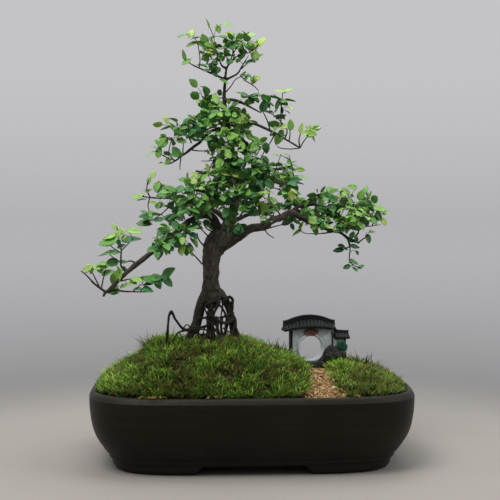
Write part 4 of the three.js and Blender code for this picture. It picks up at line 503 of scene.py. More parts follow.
TWIGS = [
    [(-187.3, -86, 221.9, 1), (-195.3, -88, 230.4, 0.9), (-201, -90, 236.5, 0.8), (-205.7, -91, 240.2, 0.6)],
    [(-183.9, -84, 219.4, 1), (-188.6, -84, 229, 0.8), (-193.2, -85, 238.6, 0.6)],
    [(-182.7, -84, 217, 1), (-180.4, -82, 228.8, 0.8), (-178.2, -80, 238.3, 0.6)],
    [(-159.5, -74, 227.1, 1), (-152.4, -72, 228.8, 0.8), (-147.6, -71, 229.3, 0.6)],
    [(-159.9, -66, 260.7, 0.8), (-170.6, -68, 268, 0.6), (-176.5, -70, 275.4, 0.5)],
    [(-159.9, -66, 263.1, 0.8), (-151.7, -62, 271.5, 0.6), (-145.7, -60, 277.5, 0.5)],
    [(-160.4, -68, 249.8, 0.8), (-168, -72, 254.8, 0.6), (-173.7, -75, 259.8, 0.5)],
    [(-136.6, -76, 213.8, 0.8), (-128.3, -72, 223.2, 0.7), (-121.1, -70, 228, 0.6), (-109.2, -66, 228.9, 0.5), (-103.2, -62, 233.6, 0.5)],
    [(-144.9, -77, 214.5, 0.8), (-137.7, -76, 221.1, 0.6), (-133, -75, 224.7, 0.5)],
    [(-140.7, -64, 247.2, 1.4), (-148.1, -62, 250.8, 1), (-154.2, -62, 249.5, 0.7)],
    [(-61.5, 0, 244.2, 1), (-70.4, -8, 254.7, 0.9), (-79.2, -15, 262.6, 0.8), (-94.2, -22, 271.6, 0.7), (-101.6, -26, 268, 0.5)],
    [(-113.5, 36, 329.1, 1.2), (-124.1, 40, 329.1, 0.9), (-134.6, 42, 330.5, 0.8), (-143.8, 43, 331.8, 0.6)],
    [(-129.2, 38, 330.4, 0.9), (-133.1, 38, 339.5, 0.8), (-131.8, 39, 350, 0.7), (-124, 39, 360.5, 0.5)],
    [(-100.4, 34, 326.4, 1), (-106.9, 34, 335.6, 0.8), (-113.4, 33, 346, 0.6), (-118.5, 33, 351.2, 0.5)],
    [(-129.2, 38, 330.4, 0.9), (-131.8, 36, 319.9, 0.7), (-130.4, 35, 312.1, 0.6), (-133, 33, 301.6, 0.5)],
    [(-95.2, 33, 326.4, 1.2), (-105.4, 26, 315.9, 0.9), (-115.7, 22, 306.8, 0.7), (-125.9, 20, 300.4, 0.5)],
    [(-85.1, -28, 381.7, 0.9), (-85.1, -28, 389.2, 0.7), (-83.8, -28, 400.4, 0.5)],
    [(-95, -33, 374, 1), (-101.1, -35, 380, 0.8), (-102.3, -36, 387.4, 0.7), (-98.6, -36, 402.3, 0.5)],
    [(-87.6, -30, 377.9, 0.8), (-88.8, -31, 369.1, 0.6), (-88.8, -31, 362.9, 0.5)],
    [(-95, -33, 374, 1), (-103.6, -35, 370.1, 0.8), (-113.4, -37, 372.5, 0.5)],
    [(-73.9, -22, 388.3, 0.9), (-63.9, -20, 387.2, 0.7), (-53.8, -18, 388, 0.5)],
    [(-98.7, -34, 375.1, 0.8), (-108.5, -37, 379.9, 0.7), (-118.3, -39, 385.9, 0.5)],
    [(24.7, -14, 414.3, 1), (20.9, -14, 426.9, 0.8), (14.5, -14, 439.5, 0.5)],
    [(30.9, -16, 409.2, 1), (24.4, -18, 397.7, 0.8), (16.7, -20, 386.2, 0.7), (11.6, -22, 376, 0.5)],
    [(43.2, -21, 403.8, 1), (45.7, -21, 413.9, 0.8), (38.2, -20, 424, 0.7), (30.7, -19, 431.6, 0.6), (23.1, -18, 435.4, 0.5)],
    [(48.1, -23, 399.9, 0.9), (49.3, -23, 407.4, 0.7), (49.3, -23, 416.2, 0.5)],
    [(61.5, -28, 390.9, 1), (60.2, -28, 400.9, 0.8), (62.7, -28, 410.9, 0.5)],
    [(61.5, -28, 390.9, 0.9), (66.4, -29, 399.6, 0.7), (73.9, -30, 408.3, 0.5)],
    [(61.5, -28, 390.9, 0.8), (49.2, -25, 389.7, 0.7), (36.7, -23, 391.1, 0.6), (33, -22, 393.7, 0.5)],
    [(38.2, -20, 424, 0.8), (38.3, -18, 439.2, 0.7), (39.6, -17, 451.9, 0.6), (41, -16, 462.1, 0.5)],
    [(-11.4, 1, 492.9, 0.8), (-2.6, 0, 500.5, 0.6), (7.6, -2, 507.9, 0.5)],
    [(-12.7, 2, 485.4, 0.8), (-5.1, 0, 477.6, 0.7), (5, -2, 471.1, 0.6), (10.1, -3, 465.9, 0.5)],
    [(-30.4, 9, 464.5, 0.9), (-24, 8, 472.1, 0.7), (-17.7, 6, 480.8, 0.6), (-8.8, 4, 484.4, 0.5)],
    [(-40.6, 10, 456.9, 0.7), (-34.2, 9, 456.8, 0.7)],
    [(-45.8, 4, 485.5, 0.9), (-49.7, 3, 491.7, 0.7), (-53.5, 2, 497.9, 0.5)],
    [(-25.4, 3, 500.7, 0.9), (-22.9, 2, 509.5, 0.8), (-17.8, 1, 518.3, 0.6), (-12.7, 0, 525.7, 0.5)],
    [(-1.5, -5, 512.4, 0.8), (4.8, -6, 517.4, 0.6), (11.1, -7, 523.6, 0.5)],
    [(-64.9, -1, 493.6, 0.8), (-63.7, -1, 503.7, 0.7), (-64.9, -2, 514.9, 0.6), (-67.4, -3, 526.1, 0.5), (-73.7, -4, 534.7, 0.4)],
    [(-26.7, 4, 500.9, 0.9), (-29.2, 4, 507.2, 0.7), (-33, 4, 516.1, 0.5)],
    [(-45.7, 6, 532.8, 0.6), (-49.6, 6, 542.9, 0.5), (-52.1, 6, 549.2, 0.4)],
    [(118.1, 17, 284.7, 1), (115.7, 19, 297.7, 0.8), (118.4, 20, 310.8, 0.7), (124.9, 20, 321.2, 0.5)],
    [(94, 12, 291.3, 1.1), (88.5, 10, 305.5, 0.9), (84.5, 9, 318.5, 0.7), (81.9, 9, 328.8, 0.5)],
    [(142.1, 20, 270.3, 1), (148.7, 20, 275.5, 0.8), (155.2, 20, 279.4, 0.6)],
    [(161.4, 26, 292.4, 0.8), (166.8, 27, 304.2, 0.7), (169.6, 28, 313.4, 0.5)],
    [(142.2, 21, 282, 0.9), (144.9, 22, 297.7, 0.8), (141, 22, 313.4, 0.7), (134.4, 22, 326.4, 0.5)],
    [(64.4, 2, 304.3, 1.1), (60.3, 0, 317.1, 0.9), (53.7, -2, 328.6, 0.7), (48.5, -3, 337.5, 0.5)],
    [(130.2, 14, 245.8, 0.7), (137.3, 13, 240.6, 0.6), (145, 12, 238, 0.5)],
    [(131.2, 17, 265.2, 0.8), (123.4, 17, 263.9, 0.6), (115.5, 17, 262.6, 0.5)],
    [(106, 15, 287.4, 1), (102.9, 22, 299, 0.8), (102.3, 28, 312.1, 0.7), (106.7, 32, 326.5, 0.5)],
    [(39, -10, 304.9, 1), (32.2, -16, 315.7, 0.9), (24.3, -20, 324.5, 0.7), (15.2, -24, 329.5, 0.5)],
    [(14.5, -15, 292.9, 0.9), (22, -18, 282.8, 0.7), (29.4, -20, 277.8, 0.5)],
    [(-12.3, 14, 305.5, 1.2), (-2.3, 6, 319.7, 1), (7.7, 0, 329.9, 0.8), (17.7, -4, 338.7, 0.5)],
    [(62.5, 24, 331.6, 0.8), (59.9, 24, 345.9, 0.7), (57.2, 24, 362.8, 0.6), (54.6, 24, 375.8, 0.5), (52, 24, 384.9, 0.4)],
    [(24.9, -30, 350.6, 0.8), (29.9, -30, 361.9, 0.6), (33.7, -30, 371.9, 0.5), (37.4, -30, 383.2, 0.4)],
    [(-55.1, -14, 356.1, 0.9), (-51.2, -13, 366.2, 0.8), (-46.2, -12, 376.4, 0.7), (-39.8, -10, 386.6, 0.5)],
    [(-46.2, -12, 376.4, 0.7), (-53.8, -13, 375, 0.6), (-62.6, -14, 375, 0.4)],
    [(9.5, -14, 378.9, 0.7), (-0.7, -14, 381.4, 0.6), (-8.2, -13, 376.4, 0.4)],
    [(-9.5, -14, 278.9, 1.3), (-18.5, -16, 271.4, 1.1), (-27.3, -15, 265, 0.9), (-36.2, -13, 259.9, 0.7)],
    [(14.4, -17, 287.8, 1), (28, -22, 291.7, 0.8), (41.8, -24, 295.5, 0.6), (50.6, -24, 298, 0.5)],
    [(-51.3, -4, 277.5, 1), (-58.9, -12, 285.3, 0.8), (-64, -18, 290.4, 0.6)],
    [(-47.5, -8, 285.2, 1), (-56.4, -16, 290.4, 0.8), (-60.2, -22, 299.3, 0.6)],
    [(-58.9, -6, 267.4, 1.1), (-65.3, -14, 275.2, 0.9), (-67.8, -22, 284.2, 0.7)],
    [(-109.5, 34, 339.5, 0.7), (-100.5, 36, 327.8, 0.8), (-92.6, 34, 318.6, 0.9)],
    [(-15.8, -12, 330.9, 0.9), (-20.9, -14, 341, 0.7), (-24.8, -15, 348.5, 0.5)],
    [(-13.3, -12, 325.8, 0.9), (-9.5, -14, 341, 0.7), (-4.5, -15, 351.1, 0.5)],
    [(-36.2, -20, 345.8, 0.8), (-46.4, -24, 348.2, 0.7), (-56.4, -28, 348.1, 0.5)],
    [(35.2, -44, 337.8, 0.7), (27.6, -46, 340.2, 0.6), (20, -48, 337.7, 0.5)],
]
OWN_LEAVES = [
    (-56.1, 2, 448.3, 18.4, 0.45, 999),
    (-42.1, 0, 446.9, 13.5, 0.35, 999),
    (-34.6, -8, 444.9, 14.8, 0.95, 999),
    (-25.8, -10, 438.4, 18.4, 0.95, 999),
    (-46, -6, 431.1, 14.8, 0.30, 999),
    (-12, -12, 429.5, 19.7, 0.85, 999),
    (2, -12, 424.5, 13.5, 0.80, 999),
    (-17.1, -14, 415.4, 13.5, 0.75, 999),
    (-106.1, -30, 426.3, 12.3, 0.80, 999),
    (-116, -32, 419.8, 13.5, 0.85, 999),
    (-125.7, -38, 383.5, 12.3, 0.85, 999),
    (-122, -38, 390.9, 8.6, 0.60, 999),
    (-109.7, -38, 372.4, 12.3, 0.75, 999),
    (-103.6, -36, 373.8, 9.8, 0.70, 999),
    (31.2, -30, 383.1, 11.1, 0.75, 999),
    (42.5, -30, 384.4, 9.8, 0.90, 999),
    (46.4, -28, 378.3, 9.8, 0.90, 999),
    (40.1, -28, 365.8, 11.1, 0.85, 999),
    (67.7, 24, 368.1, 12.3, 0.70, 999),
    (70.3, 24, 359, 12.3, 0.80, 999),
    (61.2, 24, 357.7, 8.6, 0.70, 999),
    (-48.7, -14, 397.7, 24.6, 0.15, 999),
    (-53.8, -16, 387.5, 9.8, 0.90, 999),
    (-28.7, -22, 392.2, 18.4, 0.62, 999),
    (-21.2, -22, 384.7, 17.2, 0.62, 999),
    (19.5, -56, 331.4, 18.4, 0.72, 999),
    (15.8, -36, 303.1, 14.8, 0.75, 999),
    (-16.6, -34, 294.3, 20.9, 0.20, 999),
    (65.3, 26, 348.6, 14.8, 0.12, 999),
    (-68.9, -30, 358, 13.5, 0.75, 999),
    (-57.6, -22, 357, 12.3, 0.65, 999),
    (-131.8, 38, 339.5, 9.8, 0.85, 999),
    (-108.8, -74, 279, 17.2, 0.30, 999),
    (-105.1, -76, 265.8, 16, 0.28, 999),
    (-114.8, -74, 269.3, 14.8, 0.30, 999),
    (-72.6, -56, 276.1, 17.2, 0.30, 999),
    (-76.4, -54, 266.3, 13.5, 0.35, 999),
    (-84.8, -62, 281.2, 12.3, 0.75, 999),
    (-93.3, -60, 293.4, 16, 0.20, 999),
    (-108.9, -70, 286.2, 14.8, 0.20, 999),
    (-175.1, -72, 275.4, 25.8, 0.42, 197),
    (-146.9, -60, 276.3, 24.6, 0.30, 7),
    (-143.3, -60, 286.1, 18.4, 0.82, -8),
    (-172.8, -70, 280.2, 16, 0.72, 200),
    (-168.3, -66, 292.2, 11.1, 0.90, 130),
    (-158.7, -65, 286.2, 11.1, 0.85, 40),
    (-174.9, -75, 259.8, 25.8, 0.38, 185),
    (-170.4, -72, 248.8, 17.2, 0.30, 190),
    (-156.4, -66, 249.7, 8.6, 0.20, 0),
    (-156.3, -67, 240, 12.3, 0.12, -50),
    (-164.3, -74, 231.9, 23.4, 0.50, 58),
    (-174.7, -79, 237.1, 16, 0.42, 20),
    (-198.8, -88, 242.4, 16, 0.90, 212),
    (-189.6, -85, 244.6, 13.5, 0.68, 165),
    (-183.9, -83, 240.9, 12.3, 0.35, -60),
    (-178.2, -80, 244.3, 12.3, 0.45, 10),
    (-123.5, -72, 226.9, 22.1, 0.22, -18),
    (-117.5, -70, 230.4, 14.8, 0.30, 10),
    (-102, -62, 236, 20.9, 0.28, 42),
    (-103.2, -62, 225, 17.2, 0.28, -45),
    (-140.2, -74, 228.3, 14.8, 0.70, -5),
    (-152.3, -74, 222.2, 11.1, 0.70, 200),
    (-139, -76, 217.5, 11.1, 0.30, 0),
    (-127, -75, 216.2, 14.8, 0.30, -15),
    (-166.5, -78, 215.3, 16, 0.30, 0),
    (-146.5, 43, 330.5, 17.2, 0.70, 195),
    (-141.2, 42, 326.5, 12.3, 0.50, 185),
    (-131.8, 38, 338.2, 11.1, 0.88, 200),
    (-119.9, 33, 343.3, 14.8, 0.60, 250),
    (-103, 34, 342.1, 12.3, 0.28, -5),
    (-114.8, 36, 331.7, 17.2, 0.38, 200),
    (-125.2, 36, 322.5, 11.1, 0.65, 170),
    (-117.4, 34, 318.6, 12.3, 0.28, 190),
    (-130.2, 28, 304.2, 20.9, 0.38, 215),
    (-128.7, 24, 301.7, 11.1, 0.70, 250),
    (-136.6, 26, 295.2, 20.9, 0.18, 175),
    (-118.2, 20, 300.4, 14.8, 0.22, 185),
    (-124, 39, 360.5, 12.3, 0.80, 60),
    (-130.5, 39, 351.3, 11.1, 0.70, 250),
    (-101.6, -26, 268, 17.2, 0.35, 999),
    (-92.9, -22, 271.6, 16, 0.30, 999),
    (-11.4, 2, 510.8, 17.2, 0.40, 999),
    (-0.1, -2, 504, 16, 0.25, 999),
    (8.8, -3, 510.2, 16, 0.60, 999),
    (4.8, -6, 478.2, 16, 0.35, 999),
    (-4, -4, 483.5, 14.8, 0.60, 999),
    (-9.1, -3, 463.3, 16, 0.40, 999),
    (33.2, -19, 446.6, 18.4, 0.25, 999),
    (40.7, -19, 451.7, 16, 0.50, 999),
    (36.9, -20, 431.5, 17.2, 0.20, 999),
    (-83.8, -26, 415.5, 18.4, 0.25, 999),
    (-115.8, -37, 398.4, 16, 0.40, 999),
    (-98.6, -33, 400, 17.2, 0.30, 999),
    (-101.1, -35, 385, 17.2, 0.25, 999),
    (-113.4, -38, 384.8, 14.8, 0.45, 999),
    (-116, 34, 342.1, 16, 0.50, 999),
    (-69, -44, 295.7, 17.2, 0.30, 999),
    (-10, -26, 295.5, 16, 0.20, 999),
    (-73.8, -4, 523.4, 16, 0.45, 999),
    (-56, 2, 520.7, 14.8, 0.70, 999),
    (-52.1, 6, 551.8, 13.5, 0.80, 999),
    (-29.1, 8, 549.8, 14.8, 0.60, 999),
    (-47, 6, 535.3, 14.8, 0.50, 999),
    (-34.3, 6, 536.7, 14.8, 0.40, 999),
    (-76.3, -4, 537.2, 14.8, 0.90, 999),
    (-67.4, -3, 532.4, 14.8, 0.60, 999),
    (-66.2, -3, 526.1, 13.5, 0.50, 999),
    (-82.6, -6, 509.2, 16, 0.60, 999),
    (-59.8, -2, 513.7, 13.5, 0.50, 999),
    (-59.9, 0, 498.8, 14.8, 0.40, 999),
    (-47.1, 3, 517.1, 14.8, 0.90, 999),
    (-43.3, 3, 496.8, 17.2, 0.10, 999),
    (-33, 4, 517.3, 14.8, 0.90, 999),
    (-21.6, 1, 527.1, 16, 0.90, 999),
    (-1.4, -3, 536.7, 16, 0.90, 999),
    (12.4, -7, 526.1, 19.7, 0.90, 999),
    (-8.9, 0, 527, 14.8, 0.60, 999),
    (-10.2, 0, 516.9, 13.5, 0.50, 999),
    (6.3, -2, 510.4, 14.8, 0.90, 999),
    (6.3, -2, 480, 14.8, 0.90, 999),
    (-3.7, 2, 485.5, 16, 0.10, 999),
    (-24.1, 4, 539, 12.3, 0.80, 999),
    (-39.3, 7, 545.7, 11.1, 0.80, 999),
    (-81.4, -6, 500.4, 14.8, 0.50, 999),
    (30.8, -17, 456.9, 16, 0.40, 999),
    (37.2, -16, 463.3, 14.8, 0.85, 999),
    (46, -16, 467.1, 16, 0.90, 999),
    (49.8, -17, 450.7, 16, 0.40, 999),
    (2.3, -6, 456.7, 20.9, 0.08, 999),
    (18.3, -14, 445.8, 20.9, 0.08, 999),
    (38.3, -18, 443, 18.4, 0.10, 999),
    (39.4, -20, 431.5, 17.2, 0.12, 999),
    (-54.7, 10, 458.1, 18.4, 0.10, 999),
    (14.5, -14, 439.5, 14.8, 0.60, 999),
    (73.8, -30, 413.3, 16, 0.70, 999),
    (64, -28, 415.9, 14.8, 0.80, 999),
    (49.3, -23, 420, 14.8, 0.60, 999),
    (77.6, -30, 404.5, 14.8, 0.50, 999),
    (59.1, 0, 286.3, 14.8, 0.50, 999),
    (65.6, 1, 292.7, 13.5, 0.60, 999),
    (119.3, 16, 266.5, 11.1, 0.12, 165),
    (115.4, 16, 260.7, 14.8, 0.10, 185),
    (124.3, 14, 263.3, 7.4, 0.10, 160),
    (137.3, 14, 265.3, 14.8, 0.14, -10),
    (140, 14, 257.5, 7.4, 0.10, -50),
    (136.1, 14, 245.7, 14.8, 0.28, -25),
    (126.9, 14, 239.3, 11.1, 0.12, 200),
    (145.1, 13, 239.3, 9.8, 0.25, 30),
    (137.3, 13, 236, 8.6, 0.15, -35),
    (130.8, 14, 273.1, 9.8, 0.10, -30),
    (133.4, 14, 280.9, 9.8, 0.30, 70),
    (155.2, 20, 276.2, 13.5, 0.25, -75),
    (160.5, 20, 284.7, 9.8, 0.90, 5),
    (138.6, 14, 274.4, 11.1, 0.10, -60),
    (171.9, 26, 314.7, 18.4, 0.62, -12),
    (179.8, 26, 310.8, 9.8, 0.80, -30),
    (170.6, 26, 305.5, 16, 0.30, -60),
    (177.2, 26, 297.7, 11.1, 0.75, -70),
    (168, 26, 300.3, 12.3, 0.40, 200),
    (135.1, 28, 343.5, 13.5, 0.58, 170),
    (125.9, 28, 338.3, 14.8, 0.58, 130),
    (123.3, 28, 330.4, 11.1, 0.70, 250),
    (153.3, 26, 340.9, 11.1, 0.65, 70),
    (156, 26, 333, 9.8, 0.80, -60),
    (146.6, 25, 333, 14.8, 0.60, 80),
    (153.2, 25, 327.8, 9.8, 0.50, 30),
    (134.9, 26, 322.6, 14.8, 0.50, 10),
    (123.4, 28, 321.3, 17.2, 0.15, -80),
    (130.7, 24, 317.3, 12.3, 0.60, -20),
    (150.2, 22, 312.1, 17.2, 0.42, -30),
    (155.7, 24, 318.6, 16, 0.22, -70),
    (133.3, 14, 309.4, 17.2, 0.72, -110),
    (129.1, 12, 300.4, 17.2, 0.66, -80),
    (136.6, 10, 299.1, 16, 0.70, -90),
    (116.1, 12, 297.8, 17.2, 0.60, -20),
    (111.9, 10, 292.6, 9.8, 0.60, 200),
    (138, 10, 290, 14.8, 0.20, -10),
    (122.3, 10, 290, 12.3, 0.12, 10),
    (151.6, 14, 297.8, 12.3, 0.20, -70),
    (109.9, 26, 317.3, 17.2, 0.35, 0),
    (103.3, 26, 331.7, 12.3, 0.15, -70),
    (111, 24, 306.9, 13.5, 0.15, -60),
    (-100.4, -64, 338.4, 16, 0.30, 160),
    (-89.6, -60, 337.3, 16, 0.35, 200),
    (-78.7, -52, 337.5, 16, 0.25, 170),
    (-106.5, -66, 334.7, 13.5, 0.55, 190),
    (-163.3, -68, 283.8, 13.5, 0.80, 60),
    (-159.8, -66, 287.4, 9.8, 0.90, 120),
    (-162.2, -68, 272.9, 8.6, 0.30, -60),
    (-156.2, -66, 280.1, 9.8, 0.70, 60),
    (-158.7, -66, 269.2, 11.1, 0.20, 20),
    (-168.8, -78, 218.9, 13.5, 0.12, 200),
    (-168.7, -80, 214.2, 12.3, 0.10, 10),
    (-145.2, -72, 225.7, 11.1, 0.55, -30),
    (-157.1, -74, 221, 8.6, 0.60, 210),
    (-115.1, -70, 224.3, 16, 0.25, -70),
    (-127.1, -72, 223.2, 16, 0.15, 190),
    (-109.2, -66, 228.9, 14.8, 0.20, 210),
    (-181.5, -82, 248, 11.1, 0.60, 175),
    (-193, -87, 239.9, 8.6, 0.80, 240),
    (1.9, -14, 386.5, 17.2, 0.35, 999),
    (9.4, -16, 388.9, 16, 0.50, 999),
    (-8.2, -12, 394.2, 17.2, 0.40, 999),
    (7.1, -10, 401.9, 16, 0.55, 999),
    (36.9, -20, 401.3, 16, 0.30, 999),
    (21.9, -18, 391.4, 16, 0.35, 999),
    (-56.2, -14, 414, 16, 0.30, 999),
    (-68.8, -22, 405.9, 16, 0.40, 999),
    (-66.3, -20, 416, 14.8, 0.55, 999),
    (-95, -28, 415.3, 17.2, 0.45, 999),
    (-93.7, -33, 385.1, 16, 0.30, 999),
    (71.7, 24, 321.2, 16, 0.40, 999),
    (56, 24, 323.8, 16, 0.30, 999),
    (119.4, 28, 339.6, 14.8, 0.60, 999),
    (111.5, 28, 337, 14.8, 0.40, 999),
    (-69, -44, 298.1, 16, 0.25, 999),
    (-61.5, -34, 320.5, 16, 0.40, 999),
    (-43.9, -26, 319.4, 16, 0.30, 999),
]

# ---------------------------------------------------------------- dimensions shared with the frame
POT_A, POT_B, POT_EXP, RIM_Z = 200.0, 150.0, 4.6, 95.0
FLOOR_UNDER, FLOOR_TOP = 9.0, 16.0
GATE_X, GATE_Y, GATE_TURN = 83.0, 55.0, math.radians(8.0)
HOLE_R, HOLE_Z = 16.0, 129.5
MOSS_T, SINK = 8.0, 1.5
AMP = [(-200, 30), (-180, 35), (-154, 47), (-109, 55), (-60, 53), (-10, 52), (30, 36), (60, 25), (76, 14), (104, 14), (118, 22), (140, 28), (165, 27), (200, 18)]
PATH_L = [(61, -150), (60, -134), (66, -112), (68, -85), (69, -55), (71, -25), (74, 5), (76, 38)]
PATH_R = [(110, -150), (109, -134), (104, -112), (100, -85), (98, -55), (100, -25), (104, 5), (105, 38)]


def ground(x, y):
    x, y = np.asarray(x, float), np.asarray(y, float)
    ax, ay = np.minimum(1, np.abs(x) / 191), np.minimum(1, np.abs(y) / 141)
    rho = np.minimum(1, (ax ** POT_EXP + ay ** POT_EXP) ** (1 / POT_EXP))
    f = (1 - ax ** 3.5) * (1 - ay ** 2.2) * (1 - rho ** 14)
    tx = np.array([a for a, _ in AMP], float)
    ty = np.array([b for _, b in AMP], float)
    i = np.clip(np.searchsorted(tx, x) - 1, 0, len(tx) - 2)
    t = np.clip((x - tx[i]) / (tx[i + 1] - tx[i]), 0, 1)
    amp = ty[i] + (ty[i + 1] - ty[i]) * t * t * (3 - 2 * t)
    return 93 + amp * f


def path_edges(y):
    ly = np.array([p[1] for p in PATH_L], float)
    return np.interp(y, ly, [p[0] for p in PATH_L]), np.interp(y, ly, [p[0] for p in PATH_R])


def edge_rho(x, y, inset):
    return (np.abs(x / (POT_A - inset)) ** POT_EXP + np.abs(y / (POT_B - inset)) ** POT_EXP) ** (1 / POT_EXP)


def super_ring(a, b, n, e=POT_EXP):
    """Points round a rounded rectangle, evenly spaced along it, starting on +X."""
    t = np.linspace(0, 2 * np.pi, 4000, endpoint=False)
    c, s = np.cos(t), np.sin(t)
    r = 1 / (np.abs(c / a) ** e + np.abs(s / b) ** e) ** (1 / e)
    p = np.stack([r * c, r * s], 1)
    q = np.vstack([p, p[:1]])
    d = np.concatenate([[0], np.cumsum(np.linalg.norm(np.diff(q, axis=0), axis=1))])
    w = np.linspace(0, d[-1], n, endpoint=False)
    return np.stack([np.interp(w, d, q[:, 0]), np.interp(w, d, q[:, 1])], 1)


def settle(ob, node):
    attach(ob, "root")
    if node:
        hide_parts(*([node] if isinstance(node, str) else node))
    return ob


# ---------------------------------------------------------------- pot
def make_pot():
    # inset from the widest outline, height; walked from the middle of the underside round the outside and down the inside
    outer = [(0, 36.0), (0.25, 33.6), (0.9, 31.2), (2.0, 29.2), (3.6, 27.9), (6, 27.0), (9, 26.6), (12.3, 26.4), (12.9, 25.9), (13.3, 24.6), (13.7, 23.4), (14.4, 22.8), (16.5, 22.3), (18.6, 21.9), (19.5, 21.5), (20.0, 20.6), (20.5, 19.9), (21.6, 18.9), (24, 17.2), (28.5, 14.4), (34, 10.9), (40, 7.7), (47, 4.9), (54, 3.1), (62, 1.7), (70, 0.7), (78, 0.15), (84, 0.0), (87.6, 0.0), (88.4, 0.1), (88.9, 0.45), (90.2, 1.05), (92.0, 1.95), (93.6, 2.95), (94.6, 4.2), (RIM_Z, 5.6)]
    inner = [(RIM_Z, 6.6), (94.4, 8.3), (92.9, 9.3), (90, 9.7), (80, 10.0), (70, 10.3), (58, 12.0), (48, 14.5), (39, 18.4), (32, 22.7), (25, 29), (20, 34.5), (17.2, 40), (FLOOR_TOP, 46)]
    zs, ins = [], []

    def smooth_path(pts, sub):
        P = np.array(pts, float)
        d = np.concatenate([[0], np.cumsum(np.linalg.norm(np.diff(P, axis=0), axis=1))])
        out = []
        for i in range(len(P) - 1):
            p0, p1, p2, p3 = P[max(i - 1, 0)], P[i], P[i + 1], P[min(i + 2, len(P) - 1)]
            steps = max(1, int(round((d[i + 1] - d[i]) / sub)))
            for k in range(steps):
                t = k / steps
                out.append(0.5 * ((2 * p1) + (-p0 + p2) * t + (2 * p0 - 5 * p1 + 4 * p2 - p3) * t * t + (-p0 + 3 * p1 - 3 * p2 + p3) * t ** 3))
        out.append(P[-1])
        return np.array(out)

    prof_o = smooth_path([(b, a) for a, b in outer], 2.4)      # inset, z
    prof_i = smooth_path([(b, a) for a, b in inner], 4.0)
    n = 320
    rings, rim, dust = [], [], []

    def ring(inset, z, foot=False):
        p = super_ring(POT_A - inset, POT_B - inset, n)
        zz = np.full(n, float(z))
        if foot:
            # the foot ring is cut away at the middle of each side, with sloped ends
            hx = np.clip((69.0 - np.abs(p[:, 0])) / 8.0, 0, 1) * (np.abs(p[:, 1]) > 70)
            hy = np.clip((42.0 - np.abs(p[:, 1])) / 8.0, 0, 1) * (np.abs(p[:, 0]) > 120)
            h = np.maximum(hx, hy)
            h = h * h * (3 - 2 * h) * 9.5
            zz = np.where(zz < 14, h + (14 - h) * zz / 14.0, zz)
        return np.column_stack([p, zz])

    # underside: centre panel, inner edge of the foot ring, foot ring
    for inset, z, foot in [(150 - 8, FLOOR_UNDER, False), (150 - 45, FLOOR_UNDER, False), (72, FLOOR_UNDER, False), (64.5, FLOOR_UNDER, False), (63.0, 8.2, True), (62.4, 1.2, True), (61.4, 0.25, True), (60.5, 0, True), (52, 0, True), (44, 0, True)]:
        rings.append(ring(inset, z, foot)); rim.append(0); dust.append(0.2)
    # the recess climbs to 9.5 mm, so the panel meets it there
    for inset, z in prof_o:
        rings.append(ring(inset, z, True))
        # lip band that the clay material paints lighter, a painted highlight
        rim.append(float(smoothstep(88.2, 89.6, z)))
        dust.append(float(1 - smoothstep(2, 26, z)) * 0.8)
    for inset, z in prof_i:
        rings.append(ring(inset, z)); rim.append(float(smoothstep(88, 93.5, z))); dust.append(0.5)
    rings.append(ring(150 - 45, FLOOR_TOP)); rim.append(0); dust.append(0.5)
    rings.append(ring(150 - 8, FLOOR_TOP)); rim.append(0); dust.append(0.5)
    V = np.concatenate(rings)
    # hand-finished clay is never dead true
    w = fbm(V / 60.0, 3, 5) * 0.35 + fbm(V / 14.0, 2, 9) * 0.07
    out = V.copy()
    nrm = np.column_stack([V[:, 0] / POT_A, V[:, 1] / POT_B, np.zeros(len(V))])
    nrm /= np.linalg.norm(nrm, axis=1, keepdims=True) + 1e-9
    keep = smoothstep(0.5, 8, V[:, 2])
    out += nrm * (np.minimum(w, 0.0) * keep)[:, None]
    f = grid_faces(len(rings), n, wrap=True)
    lo, hi = len(V), len(V) + 1
    out = np.vstack([out, [[0, 0, FLOOR_UNDER]], [[0, 0, FLOOR_TOP]]])
    j = np.arange(n); k = (j + 1) % n
    base = (len(rings) - 1) * n
    tri = np.concatenate([np.stack([np.full(n, lo), k, j], 1), np.stack([np.full(n, hi), base + j, base + k], 1)])
    rim_highlight = np.concatenate([np.repeat(rim, n), [0, 0]])
    dustv = np.concatenate([np.repeat(dust, n), [0.2, 0.2]])
    ob = build("pot_body", out, [f, tri], [CLAY], attrs={"rim": rim_highlight, "dust": dustv})
    # drainage holes
    for sx in (-1, 1):
        bm = bmesh.new()
        bmesh.ops.create_cone(bm, cap_ends=True, segments=64, radius1=0.012, radius2=0.012, depth=0.03)
        me = bpy.data.meshes.new("drain")
        bm.to_mesh(me); bm.free()
        cut = bpy.data.objects.new("drain", me)
        cut.location = (sx * 0.085, 0, 0.0125)
        bpy.context.scene.collection.objects.link(cut)
        md = ob.modifiers.new("drain", "BOOLEAN")
        md.operation, md.solver, md.object = "DIFFERENCE", "EXACT", cut
        bpy.context.view_layer.update()
        dg = bpy.context.evaluated_depsgraph_get()
        new = bpy.data.meshes.new_from_object(ob.evaluated_get(dg), preserve_all_data_layers=True, depsgraph=dg)
        ob.modifiers.clear()
        old = ob.data
        ob.data = new
        bpy.data.meshes.remove(old)
        bpy.data.objects.remove(cut)
    ob.data.name = "pot_body"
    while len(ob.data.materials) > 1:
        ob.data.materials.pop()
    settle(ob, "pot")


# ---------------------------------------------------------------- moss, gravel, soil
def gate_local(x, y):
    dx, dy = x - GATE_X, y - GATE_Y
    c, s = math.cos(GATE_TURN), math.sin(GATE_TURN)
    return dx * c + dy * s, -dx * s + dy * c


